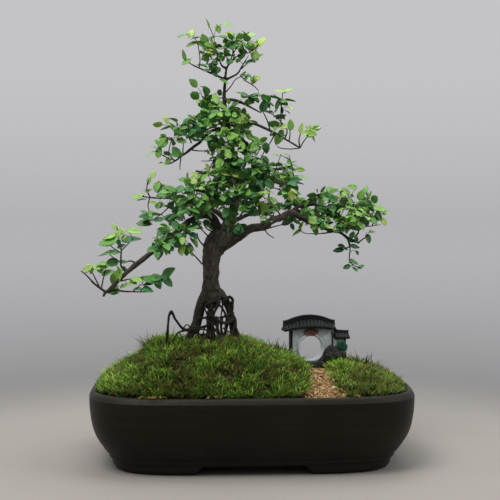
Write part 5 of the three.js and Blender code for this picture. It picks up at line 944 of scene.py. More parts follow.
def in_gate(x, y, grow=1.0):
    lx, ly = gate_local(x, y)
    wall = (lx > -27 - grow) & (lx < 30.5 + grow) & (np.abs(ly) < 6 + grow)
    side = (lx > 29) & (lx < 48.5 + grow) & (np.abs(ly) < 4.5 + grow)
    step = (lx > -9 - grow) & (lx < 21.5 + grow) & (ly > -17 - grow) & (ly < -3)
    rock = ((lx - 25.5) / (12.5 + grow)) ** 2 + ((ly + 16.0) / (8.5 + grow)) ** 2 < 1
    bush = ((lx - 41.2) / (6 + grow)) ** 2 + ((ly + 11.0) / (5.5 + grow)) ** 2 < 1
    return wall | side | step | rock | bush


def in_path(x, y, grow=0.0):
    l, r = path_edges(y)
    return (x > l - grow) & (x < r + grow) & (y < 38 + grow)


def path_wobble(x, y):
    p = np.column_stack([x / 9.0, y / 9.0, np.zeros(len(x))])
    return fbm(p, 2, 41) * 2.6


def make_bed():
    """The mat that the moss grows from, one for each side of the path."""
    for name, node, x0, x1 in (("moss_mat_main", "moss_main", -200, 87.8), ("moss_mat_right", "moss_right", 87.8, 200)):
        step = 2.0
        xs = np.arange(-190, 190.1, step)
        ys = np.arange(-140, 140.1, step)
        X, Y = np.meshgrid(xs, ys)
        keep = (edge_rho(X, Y, 10.6) <= 1.0) & (X >= x0) & (X <= x1) & ~in_path(X, Y, 0.4) & ~in_gate(X, Y, 0.6)
        cell = keep[:-1, :-1] & keep[1:, :-1] & keep[:-1, 1:] & keep[1:, 1:]
        # largest connected patch only, so that no scrap of mat is left alone
        lab = np.zeros(cell.shape, int); cur = 0
        for i in range(cell.shape[0]):
            for j in range(cell.shape[1]):
                if cell[i, j] and not lab[i, j]:
                    cur += 1; stack = [(i, j)]; lab[i, j] = cur
                    while stack:
                        a, b = stack.pop()
                        for c, d in ((a + 1, b), (a - 1, b), (a, b + 1), (a, b - 1)):
                            if 0 <= c < cell.shape[0] and 0 <= d < cell.shape[1] and cell[c, d] and not lab[c, d]:
                                lab[c, d] = cur; stack.append((c, d))
        big = np.bincount(lab.ravel())[1:].argmax() + 1
        cell = lab == big
        P = np.column_stack([X.ravel(), Y.ravel(), np.zeros(X.size)])
        lump = fbm(P / 13.0, 3, 3) * 1.3 + fbm(P / 4.0, 2, 8) * 0.55
        top = ground(X, Y).ravel() - 1.6 + lump
        bot = ground(X, Y).ravel() - MOSS_T - 0.6
        cols = X.shape[1]
        ci, cj = np.nonzero(cell)
        a = ci * cols + cj
        quads = np.stack([a, a + 1, a + 1 + cols, a + cols], 1)
        nV = X.size
        under = quads[:, ::-1] + nV
        # walls where the patch ends
        edges = np.concatenate([quads[:, [0, 1]], quads[:, [1, 2]], quads[:, [2, 3]], quads[:, [3, 0]]])
        key = np.sort(edges, 1)
        _, idx, cnt = np.unique(key[:, 0] * nV + key[:, 1], return_index=True, return_counts=True)
        e = edges[idx[cnt == 1]]
        walls = np.stack([e[:, 1], e[:, 0], e[:, 0] + nV, e[:, 1] + nV], 1)
        V = np.vstack([np.column_stack([P[:, :2], top]), np.column_stack([P[:, :2], bot])])
        F = np.concatenate([quads, under, walls])
        used = np.unique(F)
        remap = np.full(len(V), -1); remap[used] = np.arange(len(used))
        V, F = V[used], remap[F]
        tone = moss_tone(V[:, 0], V[:, 1]) * 0.8
        along = np.where(used < nV, 0.22, 0.0)
        ob = build(name, V, F, [MOSS_BED], attrs={"tone": tone, "along": along})
        settle(ob, node)


def moss_tone(x, y):
    p = np.column_stack([x, y, np.zeros(len(x))])
    t = 0.50 + 0.30 * fbm(p / 42.0, 2, 21) + 0.22 * fbm(p / 15.0, 2, 31) + 0.10 * noise3(p / 5.0, 33)
    t += 0.05 * smoothstep(-90, -160, x)              # fresher at the left end
    t -= 0.16 * smoothstep(110, 140, x)               # drier on the right
    t -= 0.10 * np.exp(-(((x + 45) / 42) ** 2 + ((y + 15) / 30) ** 2))   # shaded under the tree
    dry = 0.85 * smoothstep(0.20, 0.46, fbm(p / 21.0, 3, 57))
    return np.clip(t * (1 - dry) + 0.14 * dry, 0.0, 1.0)


def blades(name, count, region, seed, hmin, hmax, width, node=None, stem=False):
    """Upright blades in small tufts: each blade is a three-sided tapering spike with a bend."""
    rng = np.random.RandomState(seed)
    tx, ty = [], []
    while len(tx) < count // 7:
        x, y = rng.uniform(-191, 191, 4000), rng.uniform(-141, 141, 4000)
        ok = region(x, y)
        tx.extend(x[ok]); ty.extend(y[ok])
    tufts = count // 7
    tx, ty = np.array(tx[:tufts]), np.array(ty[:tufts])
    per = 7
    x = np.repeat(tx, per) + rng.normal(0, 1.3, tufts * per)
    y = np.repeat(ty, per) + rng.normal(0, 1.3, tufts * per)
    ok = region(x, y)
    x, y = x[ok], y[ok]
    owner = np.repeat(np.arange(tufts), per)[ok]
    n = len(x)
    P = np.column_stack([x, y, np.zeros(n)])
    z0 = ground(x, y) - 2.6 + fbm(P / 13.0, 3, 3) * 1.3
    # slope of the ground, so that tufts stand a little off it
    gx = (ground(x + 1, y) - ground(x - 1, y)) / 2
    gy = (ground(x, y + 1) - ground(x, y - 1)) / 2
    lean_t = rng.uniform(0, 2 * np.pi, tufts)[owner]
    lean_a = np.abs(rng.normal(0, 0.50, tufts))[owner]
    az = rng.uniform(0, 2 * np.pi, n)
    spread = np.abs(rng.normal(0.62, 0.40, n))
    dx = np.cos(az) * spread + np.cos(lean_t) * lean_a - gx * 0.35
    dy = np.sin(az) * spread + np.sin(lean_t) * lean_a - gy * 0.35
    d = np.column_stack([dx, dy, np.ones(n)])
    d /= np.linalg.norm(d, axis=1, keepdims=True)
    size = rng.uniform(0.75, 1.2, tufts)[owner] * (1 + 0.25 * fbm(P / 20.0, 2, 77))
    h = (hmin + (hmax - hmin) * rng.beta(1.5, 2.0, n)) * size
    clump = smoothstep(0.02, 0.36, fbm(P / 12.0, 3, 61))
    h *= 1 - (0.45 if not stem else 0.0) * clump
    wdt = width * rng.uniform(0.75, 1.25, n)
    bend = rng.uniform(0.05, 0.62, n)
    side = np.column_stack([-np.sin(az), np.cos(az), np.zeros(n)])
    fwd = np.column_stack([np.cos(az), np.sin(az), np.zeros(n)])
    base = np.column_stack([x, y, z0])
    V = np.zeros((n, 10, 3))
    for lvl, (t, ws) in enumerate(((0.0, 0.85), (0.42, 1.0), (0.76, 0.62))):
        c = base + d * (h * t)[:, None] + fwd * (bend * h * t * t)[:, None]
        for k in range(3):
            a = 2 * np.pi * k / 3 + 0.5
            # flat blade: wide across, thin through
            V[:, lvl * 3 + k] = c + side * (wdt * ws * math.cos(a) * 0.5)[:, None] + fwd * (wdt * ws * math.sin(a) * 0.30)[:, None]
    V[:, 9] = base + d * h[:, None] + fwd * (bend * h)[:, None] - np.array([0, 0, 1]) * (bend * h * 0.25)[:, None]
    # blades may lean out over the rim, but not through it
    r = edge_rho(V[:, :, 0], V[:, :, 1], 11.0)
    low = (r > 1.0) & (V[:, :, 2] < RIM_Z + 0.6)
    sc = np.where(low, 1.0 / np.maximum(r, 1e-6), 1.0)
    V[:, :, 0] *= sc; V[:, :, 1] *= sc
    idx = (np.arange(n) * 10)[:, None]
    quads = []
    for lvl in range(2):
        for k in range(3):
            a, b = lvl * 3 + k, lvl * 3 + (k + 1) % 3
            quads.append(idx + np.array([[a, b, b + 3, a + 3]]))
    quads = np.concatenate(quads)
    tris = np.concatenate([idx + np.array([[6 + k, 6 + (k + 1) % 3, 9]]) for k in range(3)] + [idx + np.array([[2, 1, 0]])])
    tone = np.clip(moss_tone(x, y) + rng.normal(0, 0.19, tufts)[owner] + rng.normal(0, 0.20, n), 0, 1)
    tone = np.clip(tone - 0.20 * clump, 0, 1)
    if stem:
        tone = rng.uniform(0.0, 0.06, n)
    straw = rng.uniform(0, 1, n) < (0.12 if not stem else 0.0)
    tone = np.where(straw, rng.uniform(0.03, 0.2, n), tone)
    along = np.array([0, 0, 0, 0.45, 0.45, 0.45, 0.78, 0.78, 0.78, 1.0]) * (1.0 if not stem else 0.42)
    # the bake map works as a palette: across by tone, up along the blade
    U = np.clip(tone, 0.01, 0.985)[:, None] + np.array([0, 0.004, 0.008] * 3 + [0.004])[None, :]
    Vv = np.tile(0.02 + along * 0.95, (n, 1))
    uv = np.stack([U, Vv], -1).reshape(-1, 2)
    ob = build(name, V.reshape(-1, 3), [quads, tris], [MOSS], uv=uv, attrs={"tone": np.repeat(tone, 10), "along": np.tile(along, n)})
    settle(ob, node)
    return n


def make_blades():
    roots = np.array([p[-1][:2] for k, p in LIMBS.items() if k.startswith(("leg", "root"))])

    def open_ground(x, y, lo, hi):
        ok = (edge_rho(x, y, 12.2) < 1.0) & (x >= lo) & (x <= hi)
        w = path_wobble(x, y)
        l, r = path_edges(y)
        ok &= ~((x > l - 0.2 + np.minimum(w, 0)) & (x < r + 0.2 + np.maximum(w, 0)) & (y < 40))
        ok &= ~in_gate(x, y, 0.5)
        for rx, ry in roots:
            ok &= (x - rx) ** 2 + (y - ry) ** 2 > 3.6 ** 2
        return ok

    k = 1.0
    wide = 1.12
    blades("moss_blades_left", int(13500 * k), lambda x, y: open_ground(x, y, -200, -95), 101, 8.0, 18.5, wide)
    blades("moss_blades_mid", int(14500 * k), lambda x, y: open_ground(x, y, -95, 0), 102, 8.0, 18.0, wide)
    blades("moss_blades_centre", int(12000 * k), lambda x, y: open_ground(x, y, 0, 87.8), 103, 7.5, 17.5, wide)
    blades("moss_blades_right", int(12500 * k), lambda x, y: open_ground(x, y, 87.8, 200), 104, 7.0, 16.5, wide)
    # taller shoots where the mound is highest on its left shoulder
    blades("moss_shoots", int(1500 * k), lambda x, y: open_ground(x, y, -200, 87) & (((x + 116) / 24.0) ** 2 + ((y - 4) / 30.0) ** 2 < 1), 106, 12.0, 25.0, wide)
    spots = ((40.0, 22.0, 11.0, 9.0), (49.0, 36.0, 7.0, 6.0), (147.0, 20.0, 13.0, 9.0), (135.0, 30.0, 7.0, 5.0), (-124.0, 6.0, 8.0, 8.0))

    def near(x, y):
        ok = np.zeros(len(x), bool)
        for sx, sy, ax, ay in spots:
            ok |= ((x - sx) / ax) ** 2 + ((y - sy) / ay) ** 2 < 1
        return ok & open_ground(x, y, -200, 200)
    blades("moss_stems", 168, near, 105, 17.0, 32.0, 1.15, stem=True)

    runners()


def runners():
    """A few dry strands of moss that lie over the front edge of the rim."""
    rng = np.random.RandomState(314)
    Vs, Qs, Ts, off = [], [], [], 0
    for xc, half, cnt in ((-120.0, 11.0, 20), (-46.0, 7.0, 12), (118.0, 4.0, 4)):
        for _ in range(cnt):
            x = xc + rng.uniform(-half, half)
            dx = rng.uniform(-7, 7)
            y1 = rng.uniform(-149.2, -146.5)
            pts = np.array([[x, -134.0 + rng.uniform(-3, 2), 93.5], [x + dx * 0.35, -139.5, 98.0 + rng.uniform(0, 2.0)], [x + dx * 0.7, -144.5, 97.6 + rng.uniform(0, 1.2)], [x + dx, y1, 96.0 + rng.uniform(0.0, 1.0)]])
            t = np.linspace(0, 1, 9)[:, None]
            p = (1 - t) ** 3 * pts[0] + 3 * t * (1 - t) ** 2 * pts[1] + 3 * t * t * (1 - t) * pts[2] + t ** 3 * pts[3]
            r = np.linspace(0.42, 0.2, 9)
            a = np.linspace(0, 2 * np.pi, 5, endpoint=False)
            V = np.concatenate([c + rr * np.column_stack([np.cos(a), np.zeros(5), np.sin(a)]) for c, rr in zip(p, r)] + [p[:1], p[-1:]])
            F = grid_faces(9, 5, wrap=True)
            j = np.arange(5); k = (j + 1) % 5
            T = np.concatenate([np.stack([np.full(5, 45), k, j], 1), np.stack([np.full(5, 46), 40 + j, 40 + k], 1)])
            Vs.append(V); Qs.append(F + off); Ts.append(T + off); off += len(V)
    V = np.vstack(Vs)
    tn = np.repeat(rng.uniform(0.10, 0.17, len(Vs)), 47)
    ob = build("moss_runners", V, [np.concatenate(Qs), np.concatenate(Ts)], [MOSS], attrs={"tone": tn, "along": np.full(len(V), 0.74)})
    bm = bmesh.new()
    bm.from_mesh(ob.data)
    bmesh.ops.recalc_face_normals(bm, faces=bm.faces)
    bm.to_mesh(ob.data)
    bm.free()
    settle(ob, None)


def ico(sub):
    bm = bmesh.new()
    bmesh.ops.create_icosphere(bm, subdivisions=sub, radius=1.0)
    v = np.array([x.co[:] for x in bm.verts])
    f = np.array([[y.index for y in x.verts] for x in bm.faces])
    bm.free()
    return v, f


def make_gravel():
    rng = np.random.RandomState(7)
    bv, bf = ico(2)
    pts, placed = [], []
    tries = 0
    want = 1500
    xs, ys = [], []
    while len(xs) < want and tries < 60000:
        tries += 1
        y = rng.uniform(-138.2, 37.0)
        l, r = path_edges(y)
        x = rng.uniform(l - 1.2, r + 1.2)
        x += path_wobble(np.array([x]), np.array([y]))[0] * 0.6 * (1 if abs(x - l) < 6 or abs(x - r) < 6 else 0)
        if edge_rho(x, y, 12.0) > 1.0 or in_gate(np.array([x]), np.array([y]), 0.2)[0]:
            continue
        if xs:
            d2 = (np.array(xs) - x) ** 2 + (np.array(ys) - y) ** 2
            if d2.min() < 1.55 ** 2:
                continue
        xs.append(x); ys.append(y)
    # a few strays on the moss beside the path
    for _ in range(60):
        y = rng.uniform(-134, 30)
        l, r = path_edges(y)
        x = l - rng.exponential(3.0) - 1 if rng.rand() < 0.5 else r + rng.exponential(3.5) + 1
        if edge_rho(x, y, 13.0) < 1.0 and not in_gate(np.array([x]), np.array([y]), 1.0)[0]:
            xs.append(x); ys.append(y)
    xs, ys = np.array(xs), np.array(ys)
    n = len(xs)
    size = rng.gamma(9.0, 0.155, n) + 0.35
    size = np.clip(size, 0.9, 2.7)
    V, F, T = [], [], []
    l, r = path_edges(ys)
    outside = (xs < l - 0.5) | (xs > r + 0.5)
    for i in range(n):
        v = bv.copy()
        # chips: a few random planes cut the ball flat
        for _ in range(7):
            nn = rng.normal(size=3); nn /= np.linalg.norm(nn)
            dcut = rng.uniform(0.45, 0.85)
            over = v @ nn - dcut
            v -= np.outer(np.maximum(over, 0), nn)
        v *= (1 + 0.10 * noise3(v * 1.7 + i * 3.1, 11))[:, None]
        v *= size[i] * np.array([1.0, rng.uniform(0.65, 1.0), rng.uniform(0.5, 0.85)])
        q = rng.normal(size=4); q /= np.linalg.norm(q)
        w, a, b, c = q
        R = np.array([[1 - 2 * (b * b + c * c), 2 * (a * b - c * w), 2 * (a * c + b * w)], [2 * (a * b + c * w), 1 - 2 * (a * a + c * c), 2 * (b * c - a * w)], [2 * (a * c - b * w), 2 * (b * c + a * w), 1 - 2 * (a * a + b * b)]])
        v = v @ R.T
        z = ground(xs[i], ys[i]) - SINK - 0.5 + rng.uniform(-0.9, 1.1) + (2.4 if outside[i] else 0)
        v += np.array([xs[i], ys[i], z])
        V.append(v); F.append(bf + i * len(bv)); T.append(np.full(len(bv), np.clip(rng.normal(0.52, 0.24), 0, 1)))
    V, F, T = np.concatenate(V), np.concatenate(F), np.concatenate(T)
    k = np.arange(n)
    tile = 40
    cen = np.column_stack([(k % tile + 0.5) / tile, (k // tile + 0.5) / tile])
    # a bake tile for each stone, its silhouette from above and below side by side, is worked out here but not given to
    # the mesh
    loc = np.tile(bv, (n, 1))
    uv = np.repeat(cen, len(bv), 0) + np.column_stack([loc[:, 0] * 0.22 + np.where(loc[:, 2] > 0, -0.23, 0.23), loc[:, 1] * 0.22]) / tile
    ob = build("gravel_chips", V, F, [GRAVEL], smooth=False, attrs={"tone": T})
    settle(ob, "gravel_path")
    # bed of sand that the chips lie in
    ysg = np.linspace(-139.0, 38.0, 90)
    rows = []
    for y in ysg:
        l, r = path_edges(y)
        x = np.linspace(l + 0.05, r - 0.05, 26)
        lim = (POT_A - 10.7) * (1 - min(1, abs(y / (POT_B - 10.7)) ** POT_EXP)) ** (1 / POT_EXP)
        x = np.clip(x, -lim, lim)
        z = ground(x, np.full(26, y)) - SINK - 1.3 + 0.5 * fbm(np.column_stack([x / 3, np.full(26, y / 3), np.zeros(26)]), 2, 5)
        rows.append(np.column_stack([x, np.full(26, y), z]))
    top = np.concatenate(rows)
    bot = top.copy()
    bot[:, 2] = ground(top[:, 0], top[:, 1]) - MOSS_T - 0.8
    nr, nc = len(ysg), 26
    f1 = grid_faces(nr, nc)
    f2 = grid_faces(nr, nc)[:, ::-1] + nr * nc
    walls = []
    for a, b in ((0, 1),):
        pass
    left = np.arange(nr) * nc; right = left + nc - 1
    front = np.arange(nc); back = front + (nr - 1) * nc
    def wall(e, flip):
        q = np.stack([e[:-1], e[1:], e[1:] + nr * nc, e[:-1] + nr * nc], 1)
        return q[:, ::-1] if flip else q
    walls = np.concatenate([wall(left, False), wall(right, True), wall(front, True), wall(back, False)])
    V2 = np.vstack([top, bot])
    sand = build("gravel_sand", V2, np.concatenate([f1, f2, walls]), [GRAVEL], attrs={"tone": np.full(len(V2), 0.16)})
    settle(sand, None)


# ---------------------------------------------------------------- moon gate
def place_gate(V):
    c, s = math.cos(GATE_TURN), math.sin(GATE_TURN)
    V = np.asarray(V, float)
    return np.column_stack([GATE_X + V[:, 0] * c - V[:, 1] * s, GATE_Y + V[:, 0] * s + V[:, 1] * c, V[:, 2]])


def wall_top(x):
    return 156.4 - 3 * (x / 30.0) ** 2


def make_gate_wall():
    n = 176
    x0, x1, z0 = -27.0, 29.8, 103.0
    corners = [math.atan2(z0 - HOLE_Z, x0), math.atan2(z0 - HOLE_Z, x1), math.atan2(wall_top(x0) - HOLE_Z, x0), math.atan2(wall_top(x1) - HOLE_Z, x1)]
    th = np.linspace(-np.pi, np.pi, n, endpoint=False)
    for c in corners:
        th[np.argmin(np.abs(th - c))] = c
    dx, dz = np.cos(th), np.sin(th)

    def inside(t):
        x, z = dx * t, HOLE_Z + dz * t
        return (x > x0) & (x < x1) & (z > z0) & (z < wall_top(x))
    lo, hi = np.full(n, 16.0), np.full(n, 60.0)
    for _ in range(40):
        m = (lo + hi) / 2
        ok = inside(m)
        lo, hi = np.where(ok, m, lo), np.where(ok, hi, m)
    R = (lo + hi) / 2
    fat = 1 + 0.35 * np.clip(-dz, 0, 1) ** 2
    rows, pool_and_shade = [], []

    def row(r, y, p):
        r = np.minimum(r, R)
        rows.append(np.column_stack([dx * r, np.full(n, y) if np.isscalar(y) else y, HOLE_Z + dz * r]))
        pool_and_shade.append(np.full(n, p) if np.isscalar(p) else p)

    def side(sg):
        seq = []
        for a in np.linspace(0, 1, 10):
            # half-round moulding from the hole's edge out to the wall face
            ang = math.pi * a
            r = 16.05 + 1.55 * fat * (1 - math.cos(ang))
            y = sg * (6.0 + 1.75 * fat * math.sin(ang))
            seq.append((r, y, 0.0 if a < 0.9 else 0.35))
        edge = 16.05 + 3.1 * fat
        for k, a in enumerate(np.linspace(0.04, 1, 9)):
            r = edge + (R - 0.9 - edge) * a
            seq.append((r, sg * 6.0 * np.ones(n), 0.30 * max(0, 1 - k / 1.6)))
        seq.append((R - 0.35, sg * 5.8 * np.ones(n), 0.0))
        seq.append((R, sg * 5.2 * np.ones(n), 0.0))
        return seq
    row(np.full(n, 16.0), 0.0, 0.25)
    row(np.full(n, 16.0), -3.0, 0.2)
    for r, y, p in side(-1):
        row(r, y, p)
    row(R, 0.0, 0.2)
    for r, y, p in reversed(side(1)):
        row(r, y, p)
    row(np.full(n, 16.0), 3.0, 0.2)
    V = np.concatenate(rows)
    pool_and_shade = np.concatenate(pool_and_shade)
    V[:, 1] += fbm(V / 9.0, 3, 51) * 0.28 * np.sign(V[:, 1])
    V[:, 0] += fbm(V / 16.0, 2, 52) * 0.3
    V[:, 2] += fbm(V / 16.0, 2, 53) * 0.2
    # painted shade: darker just under the roof and at the ground
    pool_and_shade = np.clip(pool_and_shade + 0.6 * smoothstep(150, 156, V[:, 2]) + 0.45 * smoothstep(112, 105, V[:, 2]), 0, 1)
    rN = len(rows)
    F = grid_faces(rN, n, wrap=True)
    last = (rN - 1) * n
    j = np.arange(n); k = (j + 1) % n
    F = np.concatenate([F, np.stack([last + j, last + k, k, j], 1)])
    ob = build("gate_wall_body", place_gate(V), F, [GLAZE_WALL], attrs={"pool_and_shade": pool_and_shade})
    fix_out(ob)
    settle(ob, "gate_wall")


def fix_out(ob):
    bm = bmesh.new()
    bm.from_mesh(ob.data)
    bmesh.ops.recalc_face_normals(bm, faces=bm.faces)
    bm.to_mesh(ob.data)
    bm.free()


def loft(rows):
    """Closed lofted solid from equal rings, capped with fans."""
    rows = [np.asarray(r, float) for r in rows]
    n = len(rows[0])
    V = np.vstack(rows + [rows[0].mean(0)[None], rows[-1].mean(0)[None]])
    F = grid_faces(len(rows), n, wrap=True)
    a, b = len(rows) * n, len(rows) * n + 1
    j = np.arange(n); k = (j + 1) % n
    base = (len(rows) - 1) * n
    T = np.concatenate([np.stack([np.full(n, a), k, j], 1), np.stack([np.full(n, b), base + j, base + k], 1)])
    return V, F, T


def roof(name, x0, x1, top, bot, half, pitch, ridge_h, ridge_w, node, eave=2.2, y_mid=0.0, seed=3):
    xs = np.arange(x0, x1 + 1e-6, pitch / 12.0)
    xs = x0 + (xs - x0) * (x1 - x0) / (xs[-1] - x0)
    # half-section from the ridge down to the eave
    ts = np.linspace(0, 1, 15)
    rows, pool_and_shade = [], []
    for x in xs:
        fr = ((x - x0) / pitch) % 1.0
        rib = math.sqrt(max(0.0, 1 - (2 * fr - 1) ** 2)) ** 0.8
        zr, ze = top(x) - ridge_h, bot(x) + eave
        sec, po = [], []
        half_pts = []
        for i, t in enumerate(ts):
            y = half * t
            z = zr + (ze - zr) * (0.78 * t + 0.22 * (1 - (1 - t) ** 2))
            # small step at each course of tiles
            course = (t * 4) % 1.0
            z += rib * (1.5 + 0.4 * course) - 0.2 * (1 - course)
            half_pts.append((y, z))
            po.append(0.0 + 0.85 * (1 - rib))
        under = [(half - 0.1, ze - eave + 0.5), (half * 0.8, bot(x)), (half * 0.4, bot(x) + 0.2)]
        front = [(-y, z) for y, z in half_pts]
        loop = front + [(-y, z) for y, z in under] + [(y, z) for y, z in reversed(under)] + list(reversed(half_pts[1:]))
        # the underside of the eave is painted darker, painted shade
        pl = po + [0.9] * 6 + list(reversed(po[1:]))
        rows.append(np.array([[x, y_mid + y, z] for y, z in loop]))
        pool_and_shade.append(pl)
    V, F, T = loft(rows)
    P = np.concatenate([np.concatenate(pool_and_shade), [0.5, 0.5]])
    V[:, 2] += fbm(V / 7.0, 2, seed) * 0.25
    Vs, Fs, Ts, Ps = [V], [F], [T], [P]
    off = len(V)
    # rounded end of every tile roll at both eaves
    m = 14
    for i in range(int(round((x1 - x0) / pitch))):
        xc = x0 + (i + 0.5) * pitch
        if xc > x1 - 0.5:
            break
        for sg in (-1, 1):
            zc = bot(xc) + eave + 0.5
            a = np.linspace(0, 2 * np.pi, m, endpoint=False)
            rings = []
            for yy, rr in ((half - 1.6, 1.5), (half + 0.15, 1.65), (half + 0.55, 1.65), (half + 0.75, 1.4), (half + 0.55, 1.0), (half + 0.6, 0.4)):
                rings.append(np.column_stack([xc + rr * np.cos(a), np.full(m, y_mid + sg * yy), zc + rr * np.sin(a)]))
            v, f, t = loft(rings)
            Vs.append(v); Fs.append(f + off); Ts.append(t + off); Ps.append(np.full(len(v), 0.35)); off += len(v)
    ob = build(name + "_tiles", place_gate(np.vstack(Vs)), [np.concatenate(Fs), np.concatenate(Ts)], [GLAZE_ROOF], attrs={"pool_and_shade": np.concatenate(Ps)})
    fix_out(ob)
    settle(ob, node)
    # ridge course with upturned ends
    rows, pool_and_shade = [], []
    xr = np.linspace(x0 - 0.2, x1 + 0.2, 70)
    mid = (x0 + x1) / 2
    for x in xr:
        e = max(0.0, (abs(x - mid) / ((x1 - x0) / 2) - 0.80) / 0.2)
        up = 1.6 * e * e if ridge_h > 3 else 0.5 * e * e
        zt = top(x) + up
        zb = top(x) - ridge_h - 0.8
        h = zt - zb
        sec = [(-1, 0), (-1.08, 0.35), (-0.72, 0.42), (-0.72, 0.55), (-1.0, 0.62), (-1.02, 0.78), (-0.7, 0.94), (0, 1.0), (0.7, 0.94), (1.02, 0.78), (1.0, 0.62), (0.72, 0.55), (0.72, 0.42), (1.08, 0.35), (1, 0)]
        rows.append(np.array([[x, y_mid + y * ridge_w, zb + z * h] for y, z in sec]))
        pool_and_shade.append([0.6, 0.2, 0.8, 0.8, 0.1, 0, 0, 0, 0, 0, 0.1, 0.8, 0.8, 0.2, 0.6])
    V, F, T = loft(rows)
    V[:, 2] += fbm(V / 6.0, 2, seed + 5) * 0.2
    ob = build(name + "_ridge", place_gate(V), [F, T], [GLAZE_ROOF], attrs={"pool_and_shade": np.concatenate([np.concatenate(pool_and_shade), [0.4, 0.4]])})
    fix_out(ob)
    settle(ob, None)


